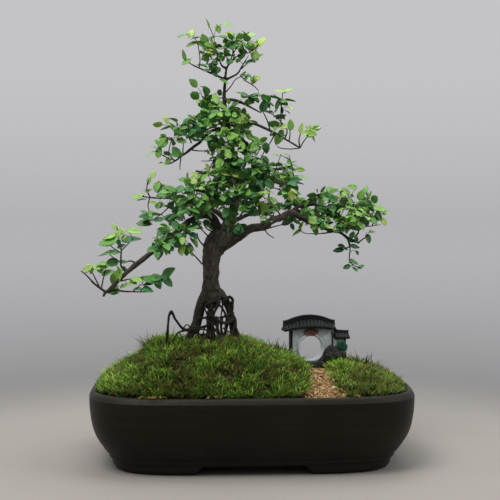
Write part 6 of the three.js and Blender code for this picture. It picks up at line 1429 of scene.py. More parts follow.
def make_gate_details():
    rng = np.random.RandomState(12)
    # plaque: flat oval with a raised rim, nothing on it
    m = 48
    a = np.linspace(0, 2 * np.pi, m, endpoint=False)
    rings, pool_and_shade = [], []
    for y, s, p in ((-5.6, 1.0, 0.6), (-7.6, 1.0, 0.2), (-8.5, 0.97, 0.0), (-8.85, 0.90, 0.0), (-8.6, 0.82, 0.3), (-8.05, 0.77, 0.9), (-7.95, 0.70, 0.5), (-8.0, 0.35, 0.0)):
        rings.append(np.column_stack([10.0 * s * np.cos(a), np.full(m, y), 150.8 + 5.0 * (s if s > 0.8 else s * 0.92) * np.sin(a)]))
        pool_and_shade.append(np.full(m, p))
    V, F, T = loft(rings)
    ob = build("gate_plaque_body", place_gate(V), [F, T], [GLAZE_PLAQUE], attrs={"pool_and_shade": np.concatenate(pool_and_shade + [[0.5, 0.0]])})
    fix_out(ob)
    settle(ob, "gate_plaque")

    # side wall
    rows, pool_and_shade = [], []
    for z, g in ((104.6, 0.4), (105.4, 0), (112, 0), (120, 0), (128, 0), (136, 0), (141.0, 0), (141.8, 0.5)):
        k = 40
        t = np.linspace(0, 2 * np.pi, k, endpoint=False)
        c, s = np.cos(t), np.sin(t)
        r = 1 / (np.abs(c / (9.3 - g)) ** 7 + np.abs(s / (4.5 - g)) ** 7) ** (1 / 7)
        rows.append(np.column_stack([39.2 + r * c, r * s, np.full(k, z)]))
        # the top of the side wall, just under its roof, is painted darker, painted shade
        pool_and_shade.append(np.full(k, 0.5 if z > 139 else 0.1))
    V, F, T = loft(rows)
    V += np.column_stack([fbm(V / 10, 2, 61), fbm(V / 10, 2, 62), np.zeros(len(V))]) * 0.25
    ob = build("gate_side_wall_body", place_gate(V), [F, T], [GLAZE_WALL], attrs={"pool_and_shade": np.concatenate(pool_and_shade + [[0.5, 0.5]])})
    fix_out(ob)
    settle(ob, "gate_side_wall")

    # dark end posts of both walls; their dark glaze also stands in for the shade on the walls' end faces, painted shade
    for nm, xc, hw, hy, zt in (("gate_post_left", -26.3, 1.5, 6.6, 152.5), ("gate_post_right", 28.9, 1.3, 6.5, 152.5), ("gate_post_side", 47.4, 1.5, 4.9, 141.2)):
        k = 28
        t = np.linspace(0, 2 * np.pi, k, endpoint=False)
        c, s = np.cos(t), np.sin(t)
        rr = 1 / (np.abs(c / hw) ** 6 + np.abs(s / hy) ** 6) ** (1 / 6)
        rows = []
        for z, g in ((103.4, 0.9), (104.2, 1.12), (107.0, 1.12), (107.8, 1.0), (118, 0.97), (130, 1.0), (zt - 5, 0.98), (zt - 4, 1.1), (zt - 0.6, 1.12), (zt, 1.0)):
            rows.append(np.column_stack([xc + rr * c * g, rr * s * (1 + (g - 1) * 0.3), np.full(k, z)]))
        V, F, T = loft(rows)
        V += np.column_stack([fbm(V / 6, 2, 64), fbm(V / 6, 2, 65), np.zeros(len(V))]) * 0.3
        ob = build(nm, place_gate(V), [F, T], [GLAZE_ROOF], attrs={"pool_and_shade": np.full(len(V), 0.2)})
        fix_out(ob)
        settle(ob, None)

    # slab step
    poly = np.array([[-9, -11], [-5, -15.5], [4, -17], [14, -16], [21, -11.5], [20, -2], [-8, -2]], float) + [1, -4.6]
    cen = poly.mean(0)
    k = 96
    d = np.vstack([poly, poly[:1]])
    w = np.concatenate([[0], np.cumsum(np.linalg.norm(np.diff(d, axis=0), axis=1))])
    q = np.linspace(0, w[-1], k, endpoint=False)
    ring = np.column_stack([np.interp(q, w, d[:, 0]), np.interp(q, w, d[:, 1])])
    for _ in range(3):
        ring = (np.roll(ring, 1, 0) + 2 * ring + np.roll(ring, -1, 0)) / 4
    rows, pool_and_shade = [], []
    for z, sc, p in ((103.8, 0.97, 0.6), (106, 1.0, 0.3), (110, 1.0, 0.1), (111.9, 0.985, 0), (112.7, 0.95, 0), (112.95, 0.88, 0), (112.8, 0.6, 0), (112.7, 0.25, 0)):
        p2 = cen + (ring - cen) * sc
        rows.append(np.column_stack([p2, np.full(k, z)]))
        pool_and_shade.append(np.full(k, p))
    V, F, T = loft(rows)
    V += np.column_stack([fbm(V / 5, 3, 71), fbm(V / 5, 3, 72), fbm(V / 6, 3, 73)]) * np.array([0.5, 0.5, 0.4])
    ob = build("gate_step_slab", place_gate(V), [F, T], [GLAZE_ROCK], attrs={"pool_and_shade": np.concatenate(pool_and_shade + [[0.5, 0.0]])})
    fix_out(ob)
    settle(ob, "gate_step")

    # rock: an upright craggy block with ledges
    bv, bf = ico(5)
    taper = 1 - 0.30 * smoothstep(-0.2, 1.0, bv[:, 2]) ** 1.2
    V = bv * np.array([12.5, 7.6, 15.0])
    V[:, 0] *= taper; V[:, 1] *= taper
    ridge = 1 - np.abs(fbm(V / 7.0, 3, 81)) * 2.0
    ledge = np.abs(((V[:, 2] + 2.5 * fbm(V / 9.0, 2, 83)) / 4.6) % 1.0 - 0.5) * 2
    cleft = 1 - np.abs(fbm(V * np.array([1.0, 1.0, 0.35]) / 4.2, 3, 85)) * 2.0
    V *= (1 + 0.12 * (ridge - 0.5) + 0.035 * (ledge - 0.5) + 0.11 * (cleft - 0.5))[:, None]
    V[:, 0] += 0.16 * np.clip(V[:, 2], 0, 20) * -0.6
    V += np.array([26.5, -16.8, 119.5])
    V[:, 2] = np.maximum(V[:, 2], 104.0)
    V[:, 1] = np.minimum(V[:, 1], -6.2 + 0.0 * V[:, 1])
    cav = np.clip(0.9 - ridge, 0, 1) * 1.1 + np.clip(0.85 - cleft, 0, 1) * 0.9
    ob = build("gate_rock_body", place_gate(V), bf, [GLAZE_ROCK], attrs={"pool_and_shade": np.clip(cav, 0, 1)})
    fix_out(ob)
    settle(ob, "gate_rock")

    # clay shrub: overlapping pointed scales on a short brown base
    Vs, Fs, Ts, Ps = [], [], [], []
    off = 0
    k = 26
    t = np.linspace(0, 2 * np.pi, k, endpoint=False)
    rows = []
    for z, r in ((104.8, 5.6), (106, 6.1), (110, 5.6), (116, 5.2), (121, 5.6), (125.0, 5.4), (126.5, 4.0)):
        rr = r * (1 + 0.10 * np.sin(t * 5 + z) + 0.06 * np.sin(t * 9 - z * 2))
        rows.append(np.column_stack([41.2 + rr * np.cos(t), -11.6 + rr * 0.86 * np.sin(t), np.full(k, z)]))
    V, F, T = loft(rows)
    Vs.append(V); Fs.append(F); Ts.append(T); Ps.append(np.full(len(V), 1.0)); off += len(V)
    V, F = ico(3)
    V = V * np.array([5.9, 3.9, 6.8]) + np.array([40.8, -10.6, 129.5])
    Vs.append(V); Ts.append(F + off); Ps.append(np.full(len(V), 0.35)); off += len(V)
    gold = math.pi * (3 - math.sqrt(5))
    cnt = 92
    for i in range(cnt):
        z = 1 - 2 * (i + 0.5) / cnt
        r = math.sqrt(1 - z * z)
        nrm = np.array([r * math.cos(gold * i), r * math.sin(gold * i), z])
        if nrm[1] > 0.75:
            continue
        p = nrm * np.array([5.9, 3.9, 6.8]) + np.array([40.8, -10.6, 129.5])
        up = np.array([0, 0, 1.0]) + nrm * 0.8 + rng.normal(0, 0.25, 3)
        up /= np.linalg.norm(up)
        sd = np.cross(up, nrm); sd /= np.linalg.norm(sd) + 1e-9
        nn = np.cross(sd, up)
        L, W = rng.uniform(2.4, 3.4), rng.uniform(1.1, 1.5)
        m2 = 8
        a = np.linspace(0, 2 * np.pi, m2, endpoint=False)
        rg = []
        for s, wd in ((-0.1, 0.55), (0.2, 1.0), (0.5, 0.92), (0.8, 0.5), (1.0, 0.12)):
            c = p + up * L * s + nrm * (0.5 + 0.9 * s) * 0.9
            rg.append(c + np.outer(np.cos(a) * W * wd, sd) + np.outer(np.sin(a) * 0.5 * wd, nn))
        v, f, t2 = loft(rg)
        Vs.append(v); Fs.append(f + off); Ts.append(t2 + off); Ps.append(np.repeat([0.3, 0.1, 0.0, 0.0, 0.0], m2).tolist() + [0.3, 0.0]); off += len(v)
    ob = build("gate_shrub_scales", place_gate(np.vstack(Vs)), [np.concatenate(Fs), np.concatenate(Ts)], [GLAZE_SHRUB], attrs={"pool_and_shade": np.concatenate(Ps)})
    fix_out(ob)
    settle(ob, "gate_shrub")


# ---------------------------------------------------------------- wood
def resample(pts, step):
    P = np.array(pts, float)
    out = []
    for i in range(len(P) - 1):
        p0, p1, p2, p3 = P[max(i - 1, 0)], P[i], P[i + 1], P[min(i + 2, len(P) - 1)]
        L = np.linalg.norm((p2 - p1)[:3])
        k = max(1, int(math.ceil(L / step)))
        for j in range(k):
            t = j / k
            out.append(0.5 * ((2 * p1) + (-p0 + p2) * t + (2 * p0 - 5 * p1 + 4 * p2 - p3) * t * t + (-p0 + 3 * p1 - 3 * p2 + p3) * t ** 3))
    out.append(P[-1])
    out = np.array(out)
    out[:, 3] = np.maximum(out[:, 3], 0.25)
    return out


def frames(C):
    T = np.gradient(C, axis=0)
    T /= np.linalg.norm(T, axis=1, keepdims=True) + 1e-9
    up = np.array([0, 0, 1.0]) if abs(T[0, 2]) < 0.9 else np.array([1.0, 0, 0])
    N = [np.cross(T[0], up)]
    N[0] /= np.linalg.norm(N[0])
    for i in range(1, len(C)):
        v = N[-1] - T[i] * np.dot(N[-1], T[i])
        N.append(v / (np.linalg.norm(v) + 1e-9))
    N = np.array(N)
    return T, N, np.cross(T, N)


def tube(pts, sides, cap=True):
    C, R = pts[:, :3], pts[:, 3]
    T, N, B = frames(C)
    a = np.linspace(0, 2 * np.pi, sides, endpoint=False)
    rows = []
    if cap:
        for q in (0.95, 0.6):
            rows.append(C[0] - T[0] * R[0] * q * 0.8 + (np.outer(np.cos(a), N[0]) + np.outer(np.sin(a), B[0])) * R[0] * math.sqrt(1 - q * q))
    for i in range(len(C)):
        rows.append(C[i] + (np.outer(np.cos(a), N[i]) + np.outer(np.sin(a), B[i])) * R[i])
    if cap:
        for q in (0.6, 0.95):
            rows.append(C[-1] + T[-1] * R[-1] * q * 0.8 + (np.outer(np.cos(a), N[-1]) + np.outer(np.sin(a), B[-1])) * R[-1] * math.sqrt(1 - q * q))
    V, F, Tt = loft(rows)
    # the rows run with T, so the rings must be wound outward
    return V, F[:, ::-1], Tt[:, ::-1], C, R


RED_ROOTS = ("rootRed", "rootThin", "rootCross1", "rootLoop1", "rootLoop2")
REST_TWIGS = []


# fine roots that cross and join the bigger ones: x, y, z, radius
def px(u, v, y, r):
    k = (1400.0 + y) / 1093.0
    return ((u - 250.0) * k - 66.0 + (1398.0 + y) * 0.04716, y, 306.0 - (v - 215.65) * k, r)


WEB = {
    "rootWeb1": [px(196, 319.5, -8, 2.1), px(202, 317.8, -11, 1.8), px(208, 317.5, -15, 2.0)],
    "rootWeb2": [px(190, 328, -9, 2.6), px(197, 327.5, -12, 2.1), px(203, 326.5, -14, 1.9), px(209, 325, -16, 1.8)],
    "rootWeb3": [px(196, 333, -11, 1.7), px(201, 334.5, -14, 1.5), px(207, 334.5, -17, 1.5)],
    "rootWeb4": [px(208, 312, -16, 1.9), px(212, 317, -15, 2.2), px(217, 320.5, -13, 2.4), px(223, 323, -11, 2.3), px(229, 323, -8, 2.1), px(233, 320, -5, 2.0)],
    "rootWeb5": [px(214, 318, -12, 2.8), px(216.5, 326, -12, 2.2), px(219, 334, -12, 2.0), px(221, 347, -12, 2.6)],
    "rootWeb6": [px(222, 317, -8, 2.4), px(221, 326, -8, 2.0), px(222, 335, -8, 2.0), px(224, 347, -8, 2.5)],
    "rootWeb7": [px(229, 319, -4, 2.4), px(226.5, 328, -5, 2.0), px(225, 337, -6, 2.0), px(226, 347, -6, 2.5)],
    "rootWeb8": [px(212, 319, -14, 1.9), px(212.5, 330, -14, 1.8), px(212, 347, -14, 2.4)],
    "rootWeb9": [px(226, 299.5, -6, 1.7), px(229, 296.6, -8, 1.6), px(232, 297.8, -8, 1.6), px(233.4, 301, -7, 1.5), px(231, 303, -6, 1.5)],
    "rootWeb10": [px(231, 303, -5, 1.9), px(232.8, 308, -4, 1.7), px(231.5, 314, -3, 1.7), px(234.3, 317, -4, 1.8), px(236, 322, -4, 1.7), px(236, 330, -5, 1.6), px(238, 337, -6, 1.6), px(240.5, 348, -7, 2.0)],
    "rootWeb11": [px(207, 300.5, -10, 1.5), px(211, 305, -13, 1.6), px(211, 309.5, -15, 1.7)],
    "rootWeb12": [px(218, 304, -12, 1.5), px(222, 308, -10, 1.7), px(225, 313, -8, 1.8), px(227, 319, -6, 1.9)],
}
SLIM = {"rootRed": 0.52, "rootKn": 0.66, "rootLoop1": 0.78, "frontleft": 0.62, "leftpad": 0.8, "legL": 0.92, "legR": 0.92, "rootM2": 0.78, "rootM3": 0.5, "rootBackR": 0.72, "rootBackM": 0.8}
ROOTLETS = [
    [px(190, 331, -13, 1.1), px(184, 330.5, -18, 0.95), px(179, 332, -21, 0.85), px(175.5, 336, -24, 0.85), px(174, 344, -26, 0.9)],
    [px(179, 332.5, -21, 0.75), px(182, 337, -21, 0.7), px(183, 344, -21, 0.8)],
    [px(192, 329.5, -15, 1.15), px(199, 329.2, -18, 1.1), px(206, 330, -20, 1.05), px(211, 334, -21, 1.0)],
    [px(190, 343, -14, 1.2), px(198, 341.5, -17, 1.15), px(206, 337, -21, 1.0), px(210, 334, -21, 0.9)],
    [px(206, 319, -20, 1.0), px(212, 325, -21, 0.95), px(217, 333, -22, 0.9), px(222, 344, -24, 0.9)],
    [px(216, 316, -17, 1.0), px(218, 325, -18, 0.95), px(214, 333, -20, 0.9), px(211, 345, -22, 0.9)],
    [px(184, 327.5, -19, 0.9), px(186.5, 324.6, -17, 0.75), px(190, 326.5, -13, 0.75)],
    [px(236, 322, -6, 1.0), px(233, 331, -12, 0.9), px(230, 339, -16, 0.9), px(229, 348, -19, 0.9)],
    [px(205, 306, -17, 0.95), px(209, 303, -17, 0.9), px(213, 301.5, -13, 0.9)],
    [px(223, 328, -12, 0.95), px(229, 332, -13, 0.9), px(235, 334, -10, 0.9)],
]


def make_wood():
    thick_V, thick_F, thick_T = [], [], []
    off = 0
    cl, clr, cls, cld, clid, clred = [], [], [], [], [], []
    rng = np.random.RandomState(5)
    limbs = dict(LIMBS)
    limbs.update(WEB)
    for li, (key, pts) in enumerate(limbs.items()):
        P = resample(pts, 2.0)
        P[:, 3] *= SLIM.get(key, 1.0)
        P[:, :3] += np.column_stack([fbm(P[:, :3] / 14.0, 2, 201), fbm(P[:, :3] / 14.0, 2, 202), fbm(P[:, :3] / 14.0, 2, 203)]) * np.minimum(1.1, P[:, 3:4] * 0.28)
        P[:, 3] *= 1 + 0.10 * fbm(P[:, :3] / 9.0, 2, 204)
        if key.startswith(("leg", "root")) and pts[-1][2] < 150:
            # a root goes on down into the soil, a little flared
            e = P[-1].copy()
            d = P[-1, :3] - P[-4, :3]; d /= np.linalg.norm(d) + 1e-9
            d = d * 0.5 + np.array([0, 0, -1.0]); d /= np.linalg.norm(d)
            e[:3] += d * 9; e[3] *= 1.08
            P = np.vstack([P, e])
        L = np.concatenate([[0], np.cumsum(np.linalg.norm(np.diff(P[:, :3], axis=0), axis=1))])
        T, N, B = frames(P[:, :3])
        cl.append(P[:, :3]); clr.append(P[:, 3]); cls.append(L); cld.append(np.stack([T, N, B], 1)); clid.append(np.full(len(P), li))
        clred.append(np.full(len(P), 1.0 if key.startswith(RED_ROOTS) else 0.0))
        sides = 18 if P[:, 3].max() > 5 else 12
        V, F, Tt, _, _ = tube(P, sides)
        thick_V.append(V); thick_F.append(F + off); thick_T.append(Tt + off); off += len(V)
    # knots and burrs
    for x, y, z, a, b, c in ((-50, 1, 203, 12.5, 10.5, 11), (-47, 0, 262, 14.0, 12.6, 12.0), (-41, -3, 276, 12.6, 12, 11), (-30, 8, 289, 10, 9.5, 9)):
        v, f = ico(3)
        thick_V.append(v * [a, b, c] + [x, y, z]); thick_T.append(f + off); off += len(v)
    raw = build("wood_raw", np.vstack(thick_V), [np.concatenate(thick_F), np.concatenate(thick_T)], [BARK])
    fix_out(raw)
    md = raw.modifiers.new("join", "REMESH")
    md.mode = "VOXEL"
    md.voxel_size = 0.00092
    md.use_smooth_shade = True
    bpy.context.view_layer.update()
    dg = bpy.context.evaluated_depsgraph_get()
    me = bpy.data.meshes.new_from_object(raw.evaluated_get(dg), depsgraph=dg)
    old = raw.data
    bpy.data.objects.remove(raw)
    bpy.data.meshes.remove(old)
    nv = len(me.vertices)
    V = np.empty(nv * 3, np.float32); me.vertices.foreach_get("co", V); V = V.reshape(-1, 3).astype(float) / MM
    Fl = np.empty(len(me.polygons) * 4, np.int32)
    me.polygons.foreach_get("vertices", Fl)
    F = Fl.reshape(-1, 4)
    bpy.data.meshes.remove(me)
    # three light smoothing passes take the voxel steps off
    E = np.concatenate([F[:, [0, 1]], F[:, [1, 2]], F[:, [2, 3]], F[:, [3, 0]]])
    for _ in range(3):
        acc = np.zeros_like(V); cnt = np.zeros(nv)
        for a, b in ((0, 1), (1, 0)):
            np.add.at(acc, E[:, a], V[E[:, b]]); np.add.at(cnt, E[:, a], 1)
        V = V * 0.45 + 0.55 * acc / np.maximum(cnt, 1)[:, None]
    C, R, S, D, ID, RED = np.concatenate(cl), np.concatenate(clr), np.concatenate(cls), np.concatenate(cld), np.concatenate(clid), np.concatenate(clred)
    kd = KDTree(len(C))
    for i, c in enumerate(C):
        kd.insert(c, i)
    kd.balance()
    own = np.zeros(nv, int)
    for i in range(nv):
        best, bd = 0, 1e9
        for co, idx, dist in kd.find_n(V[i], 10):
            q = dist - R[idx]
            if q < bd:
                bd, best = q, idx
        own[i] = best
    rel = V - C[own]
    n_ = np.einsum("ij,ij->i", rel, D[own][:, 1]); b_ = np.einsum("ij,ij->i", rel, D[own][:, 2]); t_ = np.einsum("ij,ij->i", rel, D[own][:, 0])
    r_ = np.sqrt(n_ ** 2 + b_ ** 2) + 1e-6
    rad = R[own]
    s_ = S[own] + t_
    uvw = np.column_stack([n_ / r_ * np.maximum(rad, 2.0) / 1.9 + ID[own] * 13.7, b_ / r_ * np.maximum(rad, 2.0) / 1.9, s_ / 7.5])
    # bark relief, along the limb: furrows, plates, knobs
    A = V[F[:, 1]] - V[F[:, 0]]; Bv = V[F[:, 3]] - V[F[:, 0]]
    fn = np.cross(A, Bv)
    N = np.zeros_like(V)
    for c in range(4):
        np.add.at(N, F[:, c], fn)
    N /= np.linalg.norm(N, axis=1, keepdims=True) + 1e-12
    fur = fbm(uvw * np.array([0.75, 0.75, 0.55]), 3, 301)
    pl = fbm(V / 4.2, 3, 302)
    kn = fbm(V / 13.0, 2, 303)
    amp = np.clip(rad / 6.5, 0.18, 1.25)
    V = V + N * ((-np.abs(fur) * 1.5 + 0.45 + pl * 0.55 + kn * 0.9) * amp)[:, None]
    red = RED[own] * smoothstep(0.0, 0.35, 0.65 + 0.5 * fbm(V / 20.0, 2, 304))
    young_bark_and_shade = smoothstep(5.2, 1.8, rad)
    # painted shade: the low left limb, shaded under the crown, takes the dark young-bark colour
    low_left = list(limbs).index("lowleft")
    young_bark_and_shade = np.maximum(young_bark_and_shade, np.where(ID[own] == low_left, 0.85, 0.0))
    ob = build("tree_wood_limbs", V, F, [BARK], attrs={"bark_uvw": uvw, "red": red, "young_bark_and_shade": young_bark_and_shade})
    settle(ob, "tree_wood")
    return C, R


LEAF_NODES = list(LOBES)


def leaf_template():
    """Half-thickness closed blade: 9 stations along, 7 across, shared rim. Returns the stations along, the widths at
    them and the positions across.
    """
    st = np.array([0.0, 0.06, 0.16, 0.30, 0.46, 0.62, 0.77, 0.90, 1.0])
    # ovate with a drawn-out tip
    wd = np.array([0.03, 0.45, 0.80, 0.985, 1.0, 0.90, 0.68, 0.34, 0.0])
    ac = np.array([-1.0, -0.66, -0.33, 0.0, 0.33, 0.66, 1.0])
    return st, wd, ac


def make_leaves(wood_C, wood_R):
    rng = np.random.RandomState(77)
    st, wd, ac = leaf_template()
    ns, na = len(st), len(ac)
    # ----- wood points that twigs may start from
    ok = (wood_C[:, 2] > 215) & (wood_R < 7.5)
    nodes = [tuple(p) for p in wood_C[ok][::2]]
    start_r = list(wood_R[ok][::2])
    twigs = []
    for tw in TWIGS:
        P = resample(tw, 3.0)
        twigs.append(P)
        for q in P[1:]:
            nodes.append(tuple(q[:3])); start_r.append(q[3])
    leaves = []     # (attach point, direction, length, tone, normal hint, owner lobe centre)
    # ----- grow fine twigs towards points spread through every leaf lobe
    targets = []
    for key, lobes in LOBES.items():
        pts = []
        for li, (x, y, z, rx, ry, rz, dens, bias) in enumerate(lobes):
            vol = 4.19 * rx * ry * rz
            want = int(round(vol * dens / TARGET_VOL + rng.uniform(-0.3, 0.3)))
            mine = 0
            if want < 1:
                continue
            for _ in range(want * 14):
                d = rng.normal(size=3); d /= np.linalg.norm(d)
                rr = rng.uniform(0.12, 1.0) ** 0.42
                p = np.array([x, y, z]) + d * rr * np.array([rx, ry, rz]) * 0.98
                if all(np.sum((p - q[0]) ** 2) > SPACING ** 2 for q in pts[-260:]):
                    pts.append((p, rr, (x, y, z), bias))
                    mine += 1
                    if mine >= want:
                        break
        for p, rr, c, bias in pts:
            targets.append((p, rr, np.array(c), key, bias))
    N = np.array(nodes)
    NR = np.array(start_r)
    d0 = np.array([np.min(np.sum((N - t[0]) ** 2, 1)) for t in targets])
    order = np.argsort(d0)
    grown = [N]
    grownR = [NR]
    allN, allR = N.copy(), NR.copy()
    for oi in order:
        p, rr, c, key, bias = targets[oi]
        d2 = np.sum((allN - p) ** 2, 1)
        i = int(np.argmin(d2))
        base = allN[i]
        L = math.sqrt(d2[i])
        if L < 2.0:
            continue
        steps = max(2, int(math.ceil(L / 5.0)))
        mid = (base + p) / 2 + rng.normal(0, 0.09, 3) * L + np.array([0, 0, 0.07 * L])
        t = np.linspace(0, 1, steps + 1)[:, None]
        path = (1 - t) ** 2 * base + 2 * t * (1 - t) * mid + t * t * p
        r0 = min(0.9, 0.36 + 0.013 * L, max(0.36, allR[i] * 0.85))
        rad = np.linspace(r0, 0.30, steps + 1)
        twigs.append(np.column_stack([path, rad]))
        allN = np.vstack([allN, path[1:]]); allR = np.concatenate([allR, rad[1:]])
        # leaves along the outer part of the twig, alternating
        T = np.gradient(path, axis=0); T /= np.linalg.norm(T, axis=1, keepdims=True) + 1e-9
        dist = 4.5 + rng.uniform(0, 3)
        sgn = rng.choice([-1, 1])
        phase = rng.uniform(0, 2 * np.pi)
        seg = np.concatenate([[0], np.cumsum(np.linalg.norm(np.diff(path, axis=0), axis=1))])
        while dist < seg[-1] - 2.5:
            q = np.array([np.interp(dist, seg, path[:, k]) for k in range(3)])
            tt = T[min(int(dist / max(seg[-1], 1e-6) * steps), steps)]
            sd = np.cross(tt, [0, 0, 1.0]); sd /= np.linalg.norm(sd) + 1e-9
            out = sd * sgn + tt * rng.uniform(0.5, 1.0) + np.array([0, 0, rng.uniform(-0.1, 0.4)])
            leaves.append((q, out, key, rr * 0.85, c, bias))
            sgn = -sgn
            dist += rng.uniform(6.0, 9.5)
        outw = (p - c) / (np.linalg.norm(p - c) + 1e-6)
        tip = T[-1]
        leaves.append((path[-1], tip * 0.8 + outw * 0.5 + rng.normal(0, 0.25, 3), key, rr, c, bias))
        if rng.rand() < TIP2:
            sd = np.cross(tip, [0, 0, 1.0]); sd /= np.linalg.norm(sd) + 1e-9
            leaves.append((path[-1] - tip * 1.5, sd * sgn + tip * 0.5 + rng.normal(0, 0.2, 3), key, rr, c, bias))
            if rng.rand() < 0.45:
                leaves.append((path[-1] - tip * 2.5, -sd * sgn + tip * 0.5 + rng.normal(0, 0.2, 3), key, rr, c, bias))
    # ----- leaves of known places
    own = []
    for x, y, z, ln, tone, turn in OWN_LEAVES:
        p = np.array([x, y, z], float)
        heading = None
        q = p
        if turn < 900:
            a = math.radians(turn)
            heading = np.array([math.cos(a), rng.uniform(-0.25, 0.25), math.sin(a)])
            heading /= np.linalg.norm(heading)
            q = p - heading * ln * 0.5
        d2 = np.sum((allN - q) ** 2, 1)
        own.append((p, allN[int(np.argmin(d2))], ln, tone, heading))
    spec = []
    cent = {k: np.array([np.average([l[i] for l in v]) for i in range(3)]) for k, v in LOBES.items()}
    for q, out, key, rr, c, bias in leaves:
        out = np.array(out, float); out /= np.linalg.norm(out) + 1e-9
        inner = 1 - rr
        radial = (q - c) / (np.linalg.norm(q - c) + 1e-6)
        new = rng.rand() < 0.26 * smoothstep(0.35, 0.95, rr) + 0.05 + max(0.0, bias) * 1.1
        if new:
            L = rng.uniform(7.0, 11.5)
            tone = rng.uniform(0.55, 0.92) + bias * 0.3
        else:
            L = rng.uniform(10.5, 16.5) * (1.06 if inner > 0.35 else 1.0)
            # painted light and shade: old leaves on the top and outside of a lobe are lighter, those inside it darker,
            # partly their own darker green
            tone = 0.20 + 0.24 * smoothstep(0.45, 1.0, rr) + 0.12 * max(0, radial[2]) + rng.normal(0, 0.11) + bias * 0.8
        spec.append((q, out, L, tone, key, radial, False))
    for p, base, ln, tone, heading in own:
        d = p - base
        gap = np.linalg.norm(d)
        out = d / (gap + 1e-6) if gap > 1.0 else np.array([0.3, -0.5, 0.4])
        k = min(cent, key=lambda kk: min(np.linalg.norm(p - np.array(l[:3])) for l in LOBES[kk]))
        if heading is not None:
            out = heading
        start = p - out * ln * 0.5
        gap = np.linalg.norm(start - base) + ln * 0.5
        if gap > ln * 0.5 + 1.0:
            mid = (base + start) / 2 + np.array([0, 0, 0.06 * gap])
            twigs.append(np.vstack([np.append(base, 0.42), np.append(mid, 0.36), np.append(start, 0.3)]))
        face = np.array([0.0, -0.66, 0.74]) + rng.normal(0, 0.13, 3)
        spec.append((start - out * 1.8, out, ln, tone + rng.normal(0, 0.04), k, face, heading is not None))
    # ----- mesh the leaves, one object for each foliage node
    per = {}
    for s in spec:
        per.setdefault(s[4], []).append(s)
    total = 0
    view = np.array([0.0, -1.0, 0.25])
    for key, items in per.items():
        Vs, Us, Tn, Hu, Vw = [], [], [], [], []
        Fq, Ft = [], []
        off = 0
        G = int(math.ceil(math.sqrt(len(items))))
        for li, (q, out, L, tone, _, radial, own_face) in enumerate(items):
            total += 1
            pet = rng.uniform(1.6, 3.2)
            # the blade faces up and outward, and hangs a little from its stalk
            up = np.array([0, 0, 0.55]) + radial * 0.70 + rng.normal(0, 0.38, 3)
            y = out + np.array([0, 0, -0.16]) + rng.normal(0, 0.1, 3)
            if own_face:
                up, y = radial, np.array(out)
            y /= np.linalg.norm(y)
            z = up - y * np.dot(up, y)
            if np.linalg.norm(z) < 0.15:
                z = np.cross(y, [1.0, 0.2, 0.1])
            z /= np.linalg.norm(z)
            x = np.cross(y, z)
            W = L * rng.uniform(0.29, 0.37)
            fold = rng.uniform(0.06, 0.36)
            curl = rng.uniform(-0.05, 0.42) * (0.4 if own_face else 1.0)
            twist = rng.normal(0, 0.25)
            wave = rng.uniform(0, 0.07)
            ph = rng.uniform(0, 6.28)
            start = q + y * pet * 0.75 + z * 0.1
            top = np.zeros((ns, na, 3)); bot = np.zeros((ns, na, 3))
            for i, (s, w) in enumerate(zip(st, wd)):
                ang = twist * s
                xs_ = x * math.cos(ang) + z * math.sin(ang)
                zs_ = -x * math.sin(ang) + z * math.cos(ang)
                cc = start + y * (L * s) - z * (L * curl * s * s * 0.55) + zs_ * 0.0
                lift = np.abs(ac) * fold * w * W + wave * W * np.sin(ac * 2.0 + s * 9.0 + ph) * w
                th = 0.16 * (1 - ac ** 2) + 0.0
                top[i] = cc + np.outer(ac * w * W, xs_) + np.outer(lift + th, zs_)
                bot[i] = cc + np.outer(ac * w * W, xs_) + np.outer(lift - th - 0.02, zs_)
            # top and underside share the rim columns and both ends
            idx_t = np.arange(ns * na).reshape(ns, na)
            idx_b = idx_t.copy()
            inner = np.arange(ns * na).reshape(ns, na)
            nb = 0
            vb = []
            for i in range(1, ns - 1):
                for j in range(1, na - 1):
                    idx_b[i, j] = ns * na + nb
                    vb.append(bot[i, j]); nb += 1
            V = np.vstack([top.reshape(-1, 3), np.array(vb)])
            a, b, c, d = idx_t[:-1, :-1].ravel(), idx_t[:-1, 1:].ravel(), idx_t[1:, 1:].ravel(), idx_t[1:, :-1].ravel()
            Fq.append(np.stack([a, b, c, d], 1) + off)
            a, b, c, d = idx_b[:-1, :-1].ravel(), idx_b[:-1, 1:].ravel(), idx_b[1:, 1:].ravel(), idx_b[1:, :-1].ravel()
            Fq.append(np.stack([d, c, b, a], 1) + off)
            gx, gy = li % G, li // G
            uu = (gx + 0.27 + ac * 0.19)[None, :].repeat(ns, 0) / G
            vv = (gy + 0.08 + st * 0.84)[:, None].repeat(na, 1) / G
            ut = np.stack([uu, vv], -1).reshape(-1, 2)
            ub = np.stack([uu + 0.46 / G, vv], -1)[1:-1, 1:-1].reshape(-1, 2)
            Us += [ut, ub]
            at = np.stack([np.broadcast_to(ac, (ns, na)), np.broadcast_to(st[:, None], (ns, na)), np.zeros((ns, na))], -1).reshape(-1, 3)
            ab = np.stack([np.broadcast_to(ac, (ns, na)), np.broadcast_to(st[:, None], (ns, na)), np.ones((ns, na))], -1)[1:-1, 1:-1].reshape(-1, 3)
            Vw += [at, ab]
            Vs.append(V)
